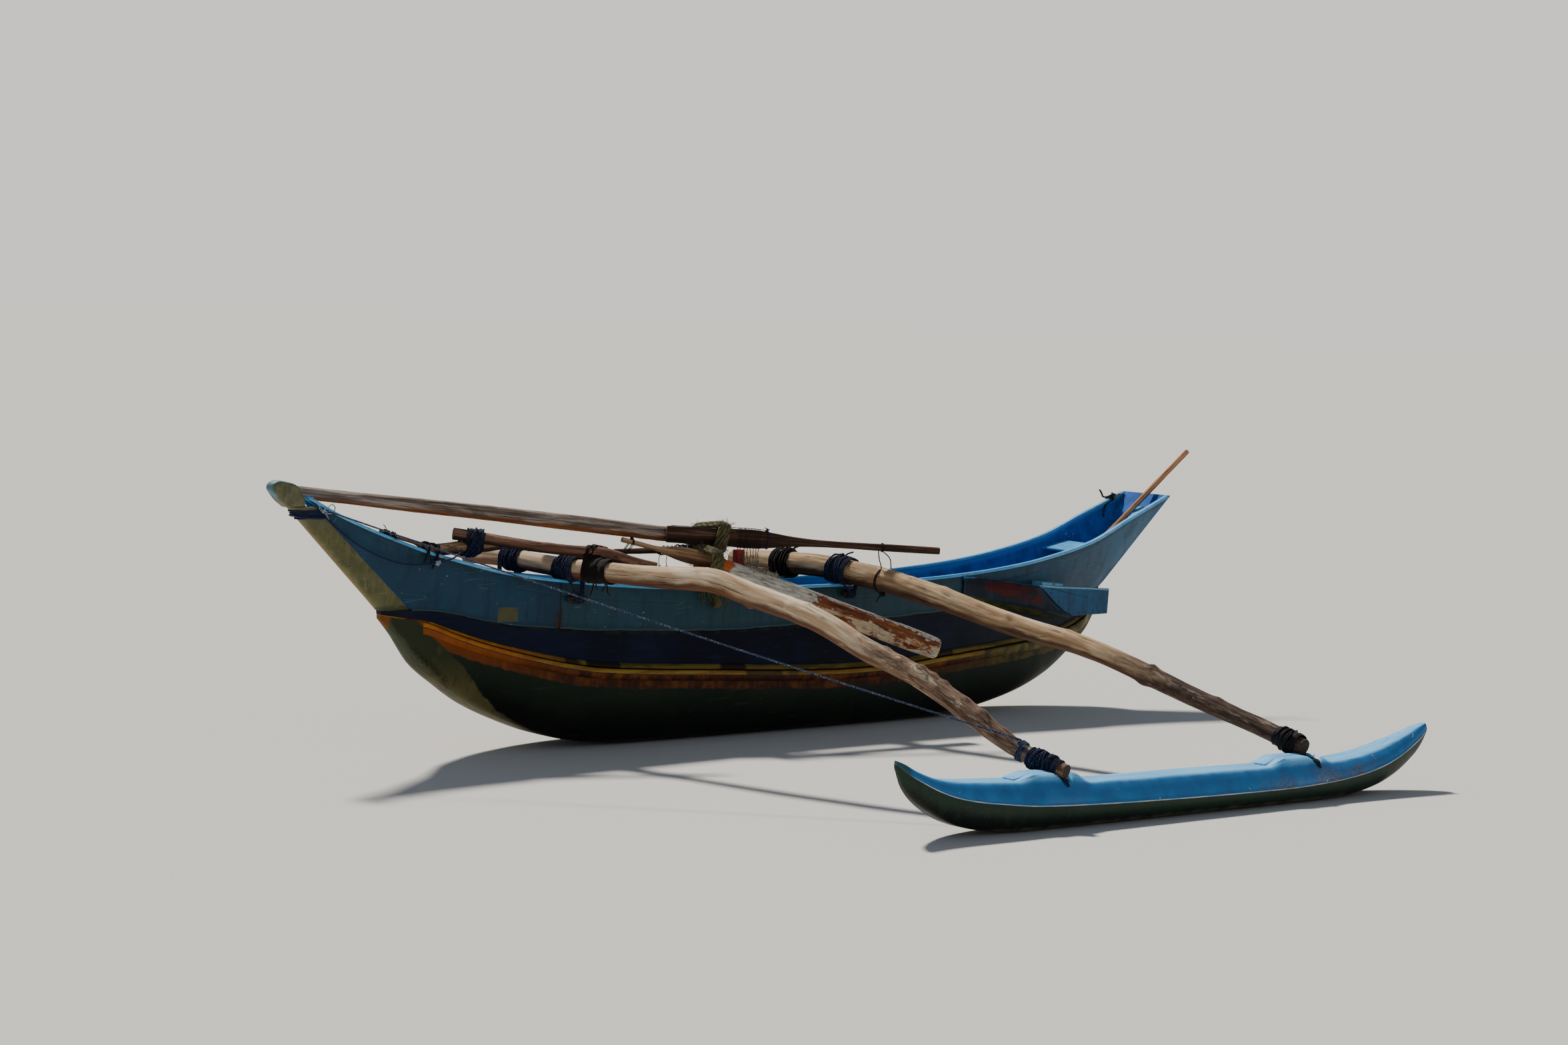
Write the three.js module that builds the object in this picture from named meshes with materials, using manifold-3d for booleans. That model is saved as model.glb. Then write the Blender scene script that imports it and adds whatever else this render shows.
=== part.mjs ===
// Beach outrigger canoe: a narrow moulded hull with high raked ends, one float
// on the port side carried by two driftwood booms, and its poles, oar, paddle
// and steering board lashed on top. Millimetres. +X to the bow, +Y to port
// (the float side), +Z up. The origin is on the flat keel sole amidships.
import * as THREE from 'three';
import { mergeVertices } from 'three/addons/utils/BufferGeometryUtils.js';
import Module from 'manifold-3d';

const wasm = await Module();
wasm.setup();

// ---------------------------------------------------------------- dimensions
const GAP = 0.4;            // clearance between pieces that touch
const SKIN = 11;            // lower hull moulding
const PLANK = 10;           // topside strakes
const RIM_H = 15;           // gunwale rim height
const RIM_OUT = 5;          // rim overhang outside the strake
const RIM_IN = 24;          // rim width inboard of the strake's outer face
const RAIL_H = 58;          // rub rail height
const RAIL_OUT = 20;        // rub rail stand-off
const BOW_JOINT_X = 1420;   // where the bow topside meets the mid topside
const STERN_JOINT_X = -1320;
const TRANSOM_T = 16;       // transom thickness along the keel
const FLOAT_Y = 2889;       // float centreline at FLOAT_X
const FLOAT_X = -35;
const FLOAT_TOE = -0.0453;  // float's plan slope, dy/dx
const LASH = 11;            // lashing thickness
const BOARD_Y = 330;        // outer face of the motor board
const POLE_SIDES = 10;

const group = new THREE.Group();
group.name = 'outrigger_canoe';

// ------------------------------------------------------------------- tables
// Lower hull: x, keel z, keel half-width, rail half-width, rail z,
// seam half-width, seam z (the seam is its top edge, under the topsides)
const HULL = [
  [2336, 662, 10, 16, 682, 22, 702],
  [2262, 582, 14, 40, 668, 46, 703],
  [2140, 432, 22, 84, 651, 74, 701],
  [1990, 325, 35, 128, 594, 108, 684],
  [1840, 231, 48, 165, 543, 143, 651],
  [1650, 146, 66, 200, 492, 175, 620],
  [1420, 66, 82, 229, 440, 190, 598],
  [1200, 20, 92, 245, 406, 200, 581],
  [900, 0, 100, 261, 384, 207, 565],
  [400, 0, 106, 270, 357, 211, 551],
  [0, 0, 108, 272, 335, 213, 553],
  [-400, 0, 108, 271, 322, 216, 560],
  [-800, 0, 104, 268, 328, 220, 570],
  [-1120, 0, 98, 262, 352, 222, 588],
  [-1320, 10, 92, 255, 366, 219, 597],
  [-1500, 36, 84, 245, 379, 210, 605],
  [-1800, 95, 66, 221, 401, 190, 619],
  [-2050, 182, 50, 187, 431, 156, 634],
  [-2270, 316, 36, 142, 482, 120, 648],
  [-2400, 422, 28, 112, 536, 100, 656],
  [-2480, 540, 24, 84, 600, 80, 662],
  [-2506, 612, 22, 66, 640, 73, 664],
];
// Gunwale: x, half-width, z of the rim's top
const GUNWALE = [
  [2780, 30, 1256],
  [2755, 35, 1246],
  [2620, 57, 1174],
  [2500, 75, 1120],
  [2300, 108, 1041],
  [2140, 130, 986],
  [2000, 145, 948],
  [1700, 175, 877],
  [1400, 189, 836],
  [900, 197, 792],
  [500, 201, 772],
  [0, 205, 760],
  [-400, 210, 761],
  [-900, 217, 770],
  [-1300, 221, 790],
  [-1700, 221, 827],
  [-2000, 215, 874],
  [-2300, 208, 942],
  [-2600, 195, 1058],
  [-2950, 177, 1190],
];
// Topside stations: x on the seam, x on the gunwale (the ends rake)
const STATIONS = [
  [2187, 2755], [2140, 2630], [2080, 2520], [1990, 2350], [1900, 2200], [1840, 2100],
  [1650, 1820], [1540, 1620], [1420, 1420], [1200, 1200], [900, 900], [650, 650], [400, 400],
  [0, 0], [-400, -400], [-800, -800], [-1120, -1120], [-1320, -1320], [-1500, -1540],
  [-1650, -1730], [-1800, -1920], [-1930, -2090], [-2050, -2250], [-2160, -2400], [-2270, -2560],
  [-2400, -2740], [-2495, -2936],
];
// Float: x, keel z, keel half-width, flange z, flange half-width, deck z, deck half-width
const FLOAT = [
  [1645, 306, 5, 324, 9, 342, 5],
  [1605, 226, 8, 290, 26, 326, 12],
  [1540, 160, 14, 250, 46, 292, 22],
  [1460, 108, 22, 208, 66, 262, 34],
  [1373, 66, 30, 176, 86, 244, 45],
  [1260, 32, 38, 152, 104, 234, 54],
  [1120, 10, 44, 134, 119, 226, 62],
  [950, 0, 50, 116, 130, 215, 68],
  [620, 0, 52, 101, 135, 193, 72],
  [200, 0, 52, 90, 136, 187, 72],
  [-250, 0, 52, 83, 136, 183, 72],
  [-600, 0, 52, 81, 135, 178, 72],
  [-900, 0, 50, 90, 131, 175, 70],
  [-1120, 8, 44, 108, 123, 184, 64],
  [-1300, 34, 36, 136, 109, 207, 56],
  [-1440, 74, 28, 172, 90, 238, 46],
  [-1560, 130, 20, 214, 68, 270, 35],
  [-1650, 188, 13, 250, 46, 296, 23],
  [-1710, 250, 7, 282, 24, 308, 12],
];
// Booms: x, y, z of the centre, radius. Crooked driftwood, thinner at the float.
const FRONT_BOOM = [
  [1506, -479, 909, 48], [1463, -285, 912, 49], [1411, -51, 899, 49], [1352, 215, 889, 49],
  [1302, 440, 890, 50], [1258, 635, 892, 52], [1195, 921, 902, 56], [1174, 1017, 904, 57],
  [1122, 1252, 857, 56], [1057, 1541, 800, 55], [1015, 1730, 736, 53], [974, 1916, 658, 51],
  [933, 2099, 602, 51], [893, 2280, 527, 50], [854, 2459, 437, 48], [814, 2636, 341, 41],
  [787, 2758, 291, 36], [747, 2937, 246, 32],
];
const REAR_BOOM = [
  [-295, -554, 824, 55], [-321, -396, 830, 58], [-360, -150, 838, 60], [-404, 123, 838, 61],
  [-430, 282, 820, 62], [-455, 435, 806, 62], [-480, 594, 782, 61], [-521, 849, 737, 59],
  [-567, 1129, 676, 57], [-617, 1441, 626, 54], [-649, 1643, 597, 53], [-682, 1843, 552, 51],
  [-713, 2039, 496, 50], [-747, 2249, 430, 48], [-784, 2476, 366, 46], [-820, 2702, 305, 44],
  [-857, 2935, 239, 43],
];
// Poles and branches: x, y, z, radius
const BOW_BRANCH = [
  [2372, 46, 1083, 9], [2240, 60, 1040, 11], [2160, 66, 1012, 14], [2125, 66, 994, 24],
  [2040, 52, 985, 30], [1880, 2, 988, 31], [1740, -38, 990, 33], [1606, -74, 994, 33],
];
const BRACE_POLE = [
  [1925, -4, 1055, 29], [1860, 28, 1046, 28], [1700, 108, 1019, 27], [1520, 200, 993, 27],
  [1350, 284, 977, 29], [1257, 330, 963, 35], [1170, 378, 942, 27], [1040, 450, 922, 12],
];
const MAST_POLE = [
  [2782, -84, 1259, 31], [2300, -72, 1209, 33], [1800, -62, 1156, 36], [1300, -54, 1101, 38],
  [900, -47, 1056, 39], [630, -42, 1025, 39], [200, -37, 978, 40],
];
const TIED_STICK = [[905, -60, 938, 14], [600, -62, 936, 16], [262, -62, 930, 15]];
const STERN_POLE = [[-3228, 58, 1432, 15], [-2762, 46, 1084, 16], [-2300, 34, 739, 16], [-1500, 10, 141, 15]];
// Oar, paddle and steering board: x, y, z, half-height, half-thickness
const OAR = [
  [634, 14, 1026, 43, 11], [330, 129, 1011, 46, 12], [150, 201, 1001, 45, 14], [60, 238, 996, 33, 17],
  [-60, 285, 989, 22, 18], [-455, 441, 968, 19, 19], [-750, 558, 953, 19, 19],
];
const PADDLE = [
  [905, -4, 1003, 13, 13], [800, 25, 977, 13, 13], [700, 52, 953, 16, 12], [620, 74, 936, 32, 9],
  [540, 96, 919, 40, 8], [425, 128, 896, 38, 8],
];
const STEERING_BOARD = [
  [486, 196, 879, 54, 20], [200, 295, 778, 58, 22], [-300, 468, 597, 58, 22], [-640, 586, 474, 58, 22],
  [-724, 614, 444, 54, 20],
];

// ------------------------------------------------------------------ helpers
const lerp = (a, b, t) => a + (b - a) * t;
function sample(table, x) {            // row at x, by straight lines between rows
  const up = table[0][0] < table[table.length - 1][0];
  const rows = up ? table : [...table].reverse();
  if (x <= rows[0][0]) return [...rows[0]];
  for (let i = 1; i < rows.length; i++) {
    if (x <= rows[i][0]) {
      const t = (x - rows[i - 1][0]) / (rows[i][0] - rows[i - 1][0]);
      return rows[i].map((v, k) => lerp(rows[i - 1][k], v, t));
    }
  }
  return [...rows[rows.length - 1]];
}
function geometryOf(positions, faces) {
  const g = new THREE.BufferGeometry();
  g.setAttribute('position', new THREE.Float32BufferAttribute(positions, 3));
  g.setIndex(faces);
  return g;
}
function signedVolume(p, f) {
  let v = 0;
  for (let i = 0; i < f.length; i += 3) {
    const a = f[i] * 3, b = f[i + 1] * 3, c = f[i + 2] * 3;
    v += p[a] * (p[b + 1] * p[c + 2] - p[b + 2] * p[c + 1])
      - p[a + 1] * (p[b] * p[c + 2] - p[b + 2] * p[c])
      + p[a + 2] * (p[b] * p[c + 1] - p[b + 1] * p[c]);
  }
  return v;
}
// Skin through rings of equal point count; both ends closed flat.
// flat(ring) gives the 2-D outline that its end cap is cut from.
function loft(rings, flat) {
  const n = rings[0].length, p = [], f = [];
  for (const r of rings) for (const q of r) p.push(q[0], q[1], q[2]);
  for (let i = 0; i + 1 < rings.length; i++) {
    for (let k = 0; k < n; k++) {
      const a = i * n + k, b = i * n + (k + 1) % n, c = a + n, d = b + n;
      f.push(a, b, d, a, d, c);
    }
  }
  const cap = (i, flip) => {
    const outline = rings[i].map((q) => new THREE.Vector2(...flat(q)));
    const turned = THREE.ShapeUtils.isClockWise(outline);
    const tris = THREE.ShapeUtils.triangulateShape(outline, []);
    for (const t of tris) {
      const [a, b, c] = t.map((k) => k + i * n);
      const s = new THREE.Vector2().subVectors(outline[t[1]], outline[t[0]])
        .cross(new THREE.Vector2().subVectors(outline[t[2]], outline[t[0]])) > 0;
      const along = turned ? !s : s;   // same turn as the ring
      if (along !== flip) f.push(a, c, b); else f.push(a, b, c);
    }
  };
  cap(0, false);
  cap(rings.length - 1, true);
  if (signedVolume(p, f) < 0) {
    for (let i = 0; i < f.length; i += 3) [f[i + 1], f[i + 2]] = [f[i + 2], f[i + 1]];
  }
  return geometryOf(p, f);
}
const yz = (q) => [q[1], q[2]];
const xy = (q) => [q[0], q[1]];
const xz = (q) => [q[0], q[2]];

function solid(geometry) {
  const g = geometry.clone();
  for (const key of Object.keys(g.attributes)) if (key !== 'position') g.deleteAttribute(key);
  const m = mergeVertices(g, 1e-4);
  return new wasm.Manifold(new wasm.Mesh({
    numProp: 3,
    vertProperties: new Float32Array(m.attributes.position.array),
    triVerts: new Uint32Array(m.index.array),
  }));
}
function surface(body) {
  const m = body.getMesh();
  return geometryOf(Array.from(m.vertProperties), Array.from(m.triVerts));
}
const cut = (a, ...tools) => surface(tools.reduce((s, t) => s.subtract(solid(t)), solid(a)));
const join = (a, ...more) => surface(more.reduce((s, t) => s.add(solid(t)), solid(a)));

function mirrored(geometry) {           // the same piece on the other side
  const p = Array.from(geometry.attributes.position.array);
  const f = Array.from(geometry.index.array);
  for (let i = 1; i < p.length; i += 3) p[i] = -p[i];
  for (let i = 0; i < f.length; i += 3) [f[i + 1], f[i + 2]] = [f[i + 2], f[i + 1]];
  return geometryOf(p, f);
}
function box(x0, x1, y0, y1, z0, z1) {
  const g = new THREE.BoxGeometry(x1 - x0, y1 - y0, z1 - z0);
  g.translate((x0 + x1) / 2, (y0 + y1) / 2, (z0 + z1) / 2);
  return g;
}
// Bar along a path: rows of x, y, z, half-height, half-thickness.
// power 2 is an ellipse, higher is a rounded rectangle.
function bar(rows, sides = POLE_SIDES, power = 2, grow = 0) {
  const v = rows.map((r) => new THREE.Vector3(r[0], r[1], r[2]));
  const rings = [];
  let capFrame = null;
  for (let i = 0; i < rows.length; i++) {
    const t = new THREE.Vector3();
    if (i > 0) t.add(v[i].clone().sub(v[i - 1]).normalize());
    if (i + 1 < rows.length) t.add(v[i + 1].clone().sub(v[i]).normalize());
    t.normalize();
    const ref = Math.abs(t.z) > 0.95 ? new THREE.Vector3(1, 0, 0) : new THREE.Vector3(0, 0, 1);
    const side = new THREE.Vector3().crossVectors(t, ref).normalize();
    const up = new THREE.Vector3().crossVectors(side, t).normalize();
    const a = rows[i][3] + grow, b = (rows[i][4] ?? rows[i][3]) + grow;
    const ring = [];
    for (let k = 0; k < sides; k++) {
      const w = (k + 0.5) / sides * Math.PI * 2;
      const c = Math.cos(w), s = Math.sin(w);
      const q = v[i].clone()
        .addScaledVector(side, b * Math.sign(c) * Math.abs(c) ** (2 / power))
        .addScaledVector(up, a * Math.sign(s) * Math.abs(s) ** (2 / power));
      ring.push([q.x, q.y, q.z]);
    }
    rings.push(ring);
    capFrame = { side, up, at: v[i] };
  }
  const flat = (q) => {
    const d = new THREE.Vector3(...q).sub(capFrame.at);
    return [d.dot(capFrame.side), d.dot(capFrame.up)];
  };
  return loft(rings, flat);
}
// The same bar a little larger all round, to cut room for it in a neighbour
function room(rows, grow, sides = POLE_SIDES, power = 2) {
  const out = rows.map((r) => [...r]);
  for (const [i, j] of [[0, 1], [rows.length - 1, rows.length - 2]]) {
    const d = new THREE.Vector3(...rows[i].slice(0, 3)).sub(new THREE.Vector3(...rows[j].slice(0, 3))).setLength(grow);
    out[i][0] += d.x; out[i][1] += d.y; out[i][2] += d.z;
  }
  return bar(out, sides, power, grow);
}
// Piece of a path between two values of one coordinate (0 for x, 1 for y)
function stretch(rows, axis, from, to) {
  const key = (r) => r[axis];
  const at = (c) => {
    for (let i = 1; i < rows.length; i++) {
      const lo = Math.min(key(rows[i - 1]), key(rows[i])), hi = Math.max(key(rows[i - 1]), key(rows[i]));
      if (c >= lo && c <= hi) {
        const t = (c - key(rows[i - 1])) / (key(rows[i]) - key(rows[i - 1]));
        return rows[i].map((v, k) => lerp(rows[i - 1][k], v, t));
      }
    }
    return null;
  };
  const mid = rows.filter((r) => key(r) > Math.min(from, to) + 4 && key(r) < Math.max(from, to) - 4);
  if ((key(rows[0]) < key(rows[rows.length - 1])) !== (from < to)) mid.reverse();
  return [at(from), ...mid, at(to)];
}
const thicker = (rows, d) => rows.map((r) => r.map((v, k) => (k >= 3 ? v + d : v)));

function add(name, geometry, color, roughness, metalness = 0) {
  const mesh = new THREE.Mesh(geometry,
    new THREE.MeshStandardMaterial({ color, roughness, metalness, flatShading: true }));
  mesh.name = name;
  group.add(mesh);
}

// --------------------------------------------------------------- lower hull
// Half outline from the keel's centre up to the seam
function hullHalf(row, shell = 0, lift = 0) {
  const [x, kz, kw, rw, rz, sw, sz] = row;
  const pts = [[kw, kz]];
  const turns = 5;
  const foot = rz - Math.min(RAIL_H, (rz - kz) * 0.45);   // rub rail's lower edge
  const fw = lerp(rw, kw, 0.03);
  for (let i = 1; i <= turns; i++) {
    const w = (i / turns) * Math.PI / 2;
    pts.push([kw + (fw - kw) * Math.sin(w) ** 0.86, kz + (foot - kz) * (1 - Math.cos(w) ** 1.05)]);
  }
  pts.push([rw, rz], [lerp(rw, sw, 0.55), lerp(rz, sz, 0.5)], [sw, sz]);
  if (!shell) return pts.map((q) => [x, q[0], q[1]]);
  const inner = pts.map((q, i) => {
    const a = pts[Math.max(i - 1, 0)], b = pts[Math.min(i + 1, pts.length - 1)];
    let dy = b[0] - a[0], dz = b[1] - a[1];
    const l = Math.hypot(dy, dz) || 1;
    dy /= l; dz /= l;
    return [Math.max(q[0] - dz * shell, 4), q[1] + dy * shell];
  });
  inner[0][1] = kz + shell;
  inner[inner.length - 1] = [sw - shell, sz + lift];
  return inner.map((q) => [x, q[0], q[1]]);
}
const wholeRing = (half) => [...half, ...[...half].reverse().map((q) => [q[0], -q[1], q[2]])];
const hullOuter = loft(HULL.map((r) => wholeRing(hullHalf(r))), yz);
const hullInner = loft(
  HULL.filter((r) => r[0] < 2150 && r[0] > -2450).map((r) => wholeRing(hullHalf(r, SKIN, 60))), yz);
add('lower_hull', cut(hullOuter, hullInner), 0x24361f, 0.55);

// Rub rails: half-round strips along the greatest beam
const railRows = HULL.filter((r) => r[0] <= 2140 && r[0] >= -2400);
const railGeometry = loft(railRows.map((r) => {
  const [x, kz, kw, rw, rz] = r;
  const foot = rz - Math.min(RAIL_H, (rz - kz) * 0.45);
  const fw = lerp(rw, kw, 0.03);
  return [
    [x, rw + GAP + 0.3, rz - 1], [x, rw + RAIL_OUT * 0.7, rz - 4],
    [x, lerp(rw, fw, 0.5) + RAIL_OUT, lerp(rz, foot, 0.5)],
    [x, fw + RAIL_OUT * 0.7, foot + 4], [x, fw + GAP + 0.3, foot + 1],
  ];
}), yz);
add('rub_rail_port', railGeometry, 0xb4661c, 0.6);
add('rub_rail_starboard', mirrored(railGeometry), 0xb4661c, 0.6);

// ----------------------------------------------------------------- topsides
const gun = (x) => sample(GUNWALE, x);
const seam = (x) => { const r = sample(HULL, x); return [r[5], r[6]]; };
function strakeRing(xs, xg, dx = 0) {
  const [sw, sz] = seam(xs);
  const [, gw, gz] = gun(xg);
  const top = gz - RIM_H - GAP;
  return [
    [xs + dx, sw, sz + GAP], [xg + dx, gw, top],
    [xg + dx, gw - PLANK, top], [xs + dx, sw - PLANK, sz + GAP],
  ];
}
const nearest = (x) => STATIONS.find((s) => s[0] === x);
function strake(fromX, toX) {           // from the bow end to the stern end
  const rings = [];
  for (const [xs, xg] of STATIONS) {
    if (xs > fromX || xs < toX) continue;
    let dx = 0;
    if (xs === fromX && fromX !== STATIONS[0][0]) dx = -GAP;
    rings.push(strakeRing(xs, xg, dx));
  }
  return loft(rings, xz2);
}
// End caps of a strake lie in a raked plane: outline by y and z
function xz2(q) { return [q[1], q[2]]; }
const STRAKES = [   // name, bow end on the seam, stern end on the seam, colour
  ['bow_topside', STATIONS[0][0], BOW_JOINT_X, 0x2f6f92],
  ['mid_topside', BOW_JOINT_X, STERN_JOINT_X, 0x2f7c9c],
  ['stern_topside', STERN_JOINT_X, STATIONS[STATIONS.length - 1][0], 0x4f8ba0],
];
for (const [name, a, b, color] of STRAKES) {
  const port = strake(nearest(a)[0], nearest(b)[0]);
  add(`${name}_port`, port, color, 0.5);
  add(`${name}_starboard`, mirrored(port), color, 0.5);
}
// Gunwale rims, one along each side
const rim = loft(STATIONS.map((s) => [s[1], ...gun(s[1]).slice(1)]).map(([x, gw, gz]) => {
    const inW = Math.min(RIM_IN, gw - 6);
    return [
      [x, gw + RIM_OUT, gz - RIM_H + 1], [x, gw + RIM_OUT - 1, gz - 3], [x, gw + RIM_OUT - 5, gz],
      [x, gw - inW + 5, gz], [x, gw - inW + 1, gz - 3], [x, gw - inW, gz - RIM_H],
      [x, gw, gz - RIM_H],
    ];
  }), yz);
add('gunwale_port', rim, 0x2f8fd0, 0.45);
add('gunwale_starboard', mirrored(rim), 0x2f8fd0, 0.45);

// Raked transom closing the stern
{
  const s = STATIONS[STATIONS.length - 1];
  const levels = 6, half = [];
  const [sw, sz] = seam(s[0]);
  const [, gw, gz] = gun(s[1]);
  const z0 = sz + GAP, z1 = gz - RIM_H - GAP;      // the strakes' end edges
  for (let i = 0; i <= levels; i++) {
    const t = (lerp(z0 + 1, gz, i / levels) - z0) / (z1 - z0);
    half.push([lerp(s[0], s[1], t), lerp(sw, gw, t) - (i === 0 ? 4 : 0), lerp(z0, z1, t)]);
  }
  const ring = (d) => [...half.map((q) => [q[0] - d, q[1], q[2]]),
    ...[...half].reverse().map((q) => [q[0] - d, -q[1], q[2]])];
  add('transom', loft([ring(GAP + 0.2), ring(TRANSOM_T)], yz), 0x3f86ad, 0.5);
}

// ------------------------------------------------------------ stem and head
const stemTrail = (z) => 2187 + (z - 702) * (568 / 528.5) + 1.5;
const stemLead = (z) => 2338 + (z - 695) * (501 / 492);
const HEAD_Z = 1196;
{
  const rings = [];
  for (const z of [704, 800, 900, 1000, 1100, HEAD_Z - GAP]) {
    const t = (z - 704) / (HEAD_Z - 704);
    const w = lerp(48, 34, t);
    const a = stemTrail(z), b = stemLead(z), c = lerp(a, b, 0.8);
    rings.push([[a, w, z], [c, lerp(34, 30, t), z], [b, 10, z], [b, -10, z], [c, -lerp(34, 30, t), z], [a, -w, z]]);
  }
  add('stem_post', loft(rings, xy), 0x8a8450, 0.6);
}
// Head: rounded side outline (x, z), thinner round its edge
const HEAD = [
  [2862, HEAD_Z], [2902, 1226], [2930, 1257], [2947, 1282], [2943, 1302], [2914, 1319],
  [2865, 1313], [2819, 1300], [2794, 1280], [2788, 1264], [2768, 1240], [2766, HEAD_Z + 14], [2762, HEAD_Z],
];
{
  const c = [2850, 1250];
  const ring = (y, k) => HEAD.map(([x, z]) => [lerp(c[0], x, k), y, Math.max(lerp(c[1], z, k), HEAD_Z)]);
  add('bow_head', loft([ring(-36, 0.8), ring(-31, 0.93), ring(-20, 1), ring(20, 1), ring(31, 0.93), ring(36, 0.8)], xz),
    0x7d8468, 0.55);
}
// Cloth band round the neck under the head
{
  const bandRing = (z, grow, s) => {
    const a = stemTrail(z) + 2, b = stemLead(z), w = 36 + grow;
    return [[a - grow * s, w, z], [b - 14, 30 + grow, z], [b + grow, 12, z], [b + grow, -12, z],
      [b - 14, -30 - grow, z], [a - grow * s, -w, z]];
  };
  const lo = 1140, hi = 1182;
  const outer = loft([bandRing(lo, 8, 0), bandRing(hi, 8, 0)], xy);
  const inner = loft([bandRing(lo - 10, 1, 30), bandRing(hi + 10, 1, 30)], xy);
  add('bow_band', cut(outer, inner), 0x1c2444, 0.9);
}

// ------------------------------------------------------- seat, plates, thwart
// Each plate spans the hull between the strakes: x from, x to, z from, z to, thickness
const innerHalf = (x, z, clear) => {     // strake's inner face at height z, near x on the gunwale
  let best = null;
  for (let i = 0; i + 1 < STATIONS.length; i++) {
    for (const t of [0, 0.25, 0.5, 0.75, 1]) {
      const xs = lerp(STATIONS[i][0], STATIONS[i + 1][0], t), xg = lerp(STATIONS[i][1], STATIONS[i + 1][1], t);
      const [sw, sz] = seam(xs); const [, gw, gz] = gun(xg);
      const k = (z - sz) / (gz - sz), xx = lerp(xs, xg, k);
      if (!best || Math.abs(xx - x) < best[0]) best = [Math.abs(xx - x), lerp(sw, gw, k)];
    }
  }
  return best[1] - PLANK - clear;
};
const PLATES = [
  ['stern_seat', -2284, -2450, 874, 909, 14, 0x58aacb],
  ['mid_thwart', 350, 190, 722, 722, 22, 0x3f86ad],
  ['bow_thwart', 1960, 1800, 800, 812, 20, 0x3f86ad],
];
for (const [name, x0, x1, z0, z1, t, color] of PLATES) {
  const ring = (x, z) => {
    const w = innerHalf(x, z - t, 2.5);
    return [[x, -w, z - t], [x, w, z - t], [x, w, z], [x, -w, z]];
  };
  add(name, loft([ring(x0, z0), ring(x1, z1)], yz), color, 0.5);
}
// Broken corner plate at the stern, port side
{
  const rise = (x) => 1010 + (-2570 - x) * 0.35;
  const outline = [[-2600, 158], [-2650, 112], [-2712, 86], [-2758, 78], [-2812, 74], [-2822, 16], [-2862, 12], [-2862, 136]];
  const ring = (d) => outline.map(([x, y]) => [x, y, rise(x) + d]);
  add('stern_plate', loft([ring(-10), ring(0)], xy), 0x63b3d2, 0.5);
}

// --------------------------------------------------- bracket, port quarter
const BOARD_T = 18;
{
  const outline = [[-1757, 716], [-2316, 682], [-2308, 541], [-2037, 539], [-1962, 566], [-1889, 613], [-1820, 668]];
  const ring = (y) => outline.map(([x, z]) => [x, y, z]);
  add('bracket_board', loft([ring(BOARD_Y - BOARD_T), ring(BOARD_Y)], xz), 0x3b8db8, 0.5);
}
// Fairing sections: x, inner half-width, outer top y, top z, belly y, belly z, foot y, foot z, heel z
const FAIRING = [
  [-1262, 228, 234, 776, 238, 730, 234, 668, 640],
  [-1400, 226, 262, 762, 272, 714, 262, 646, 612],
  [-1560, 226, 296, 740, 306, 692, 290, 622, 586],
  [-1700, 226, 318, 722, 327, 670, 308, 600, 566],
  [-1754, 226, 328, 715, 329, 662, 312, 590, 556],
  [-1820, 222, 328, 665, 328, 628, 313, 574, 544],
  [-1889, 218, 328, 610, 328, 590, 314, 558, 532],
  [-1962, 214, 328, 564, 328, 556, 314, 542, 522],
  [-2020, 210, 326, 543, 326, 538, 314, 530, 514],
];
{
  const ring = (r) => [[r[0], r[1], r[3] - 6], [r[0], r[2], r[3]], [r[0], r[4], r[5]], [r[0], r[6], r[7]], [r[0], r[1], r[8]]];
  add('bracket_fairing', loft(FAIRING.map(ring), yz), 0x1b2b3c, 0.55);
}
add('bracket_pad', loft([
  [[-1800, 222, 734], [-1800, 310, 732], [-1800, 310, 690], [-1800, 222, 690]],
  [[-1962, 219, 722], [-1962, 310, 718], [-1962, 310, 680], [-1962, 219, 680]],
], yz), 0x4d9cc0, 0.5);

// -------------------------------------------------------------------- float
const floatY = (x) => FLOAT_Y + FLOAT_TOE * (x - FLOAT_X);
const deckTop = (x) => sample(FLOAT, x)[5];
{
  const half = ([x, kz, kw, fz, fw]) => {
    const pts = [[kw, kz]];
    for (let i = 1; i <= 4; i++) {
      const w = (i / 4) * Math.PI / 2;
      pts.push([kw + (fw - kw) * Math.sin(w), kz + (fz - kz) * (1 - Math.cos(w))]);
    }
    return pts;
  };
  const hullRing = (r) => {
    const h = half(r), c = floatY(r[0]);
    return [...h.map((q) => [r[0], c + q[0], q[1]]), ...[...h].reverse().map((q) => [r[0], c - q[0], q[1]])];
  };
  add('float_hull', loft(FLOAT.map(hullRing), yz), 0x1c4d2c, 0.5);
  const deckRing = (r) => {
    const [x, , , fz, fw, dz, dw] = r, c = floatY(x);
    const h = [[fw + 3, fz + GAP + 0.2], [fw + 3, fz + 5], [fw - 3, fz + 8],
      [lerp(fw, dw, 0.5) + 6, lerp(fz, dz, 0.62)], [dw, dz - 3], [dw * 0.5, dz]];
    return [...h.map((q) => [x, c + q[0], q[1]]), ...[...h].reverse().map((q) => [x, c - q[0], q[1]])];
  };
  add('float_deck', loft(FLOAT.map(deckRing), yz), 0x3f9ad6, 0.45);
}

// -------------------------------------------------------------------- booms
const frontBoom = bar(FRONT_BOOM), rearBoom = bar(REAR_BOOM);
add('front_boom', frontBoom, 0xbfa888, 0.9);
add('rear_boom', rearBoom, 0xa58c6c, 0.9);

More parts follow.
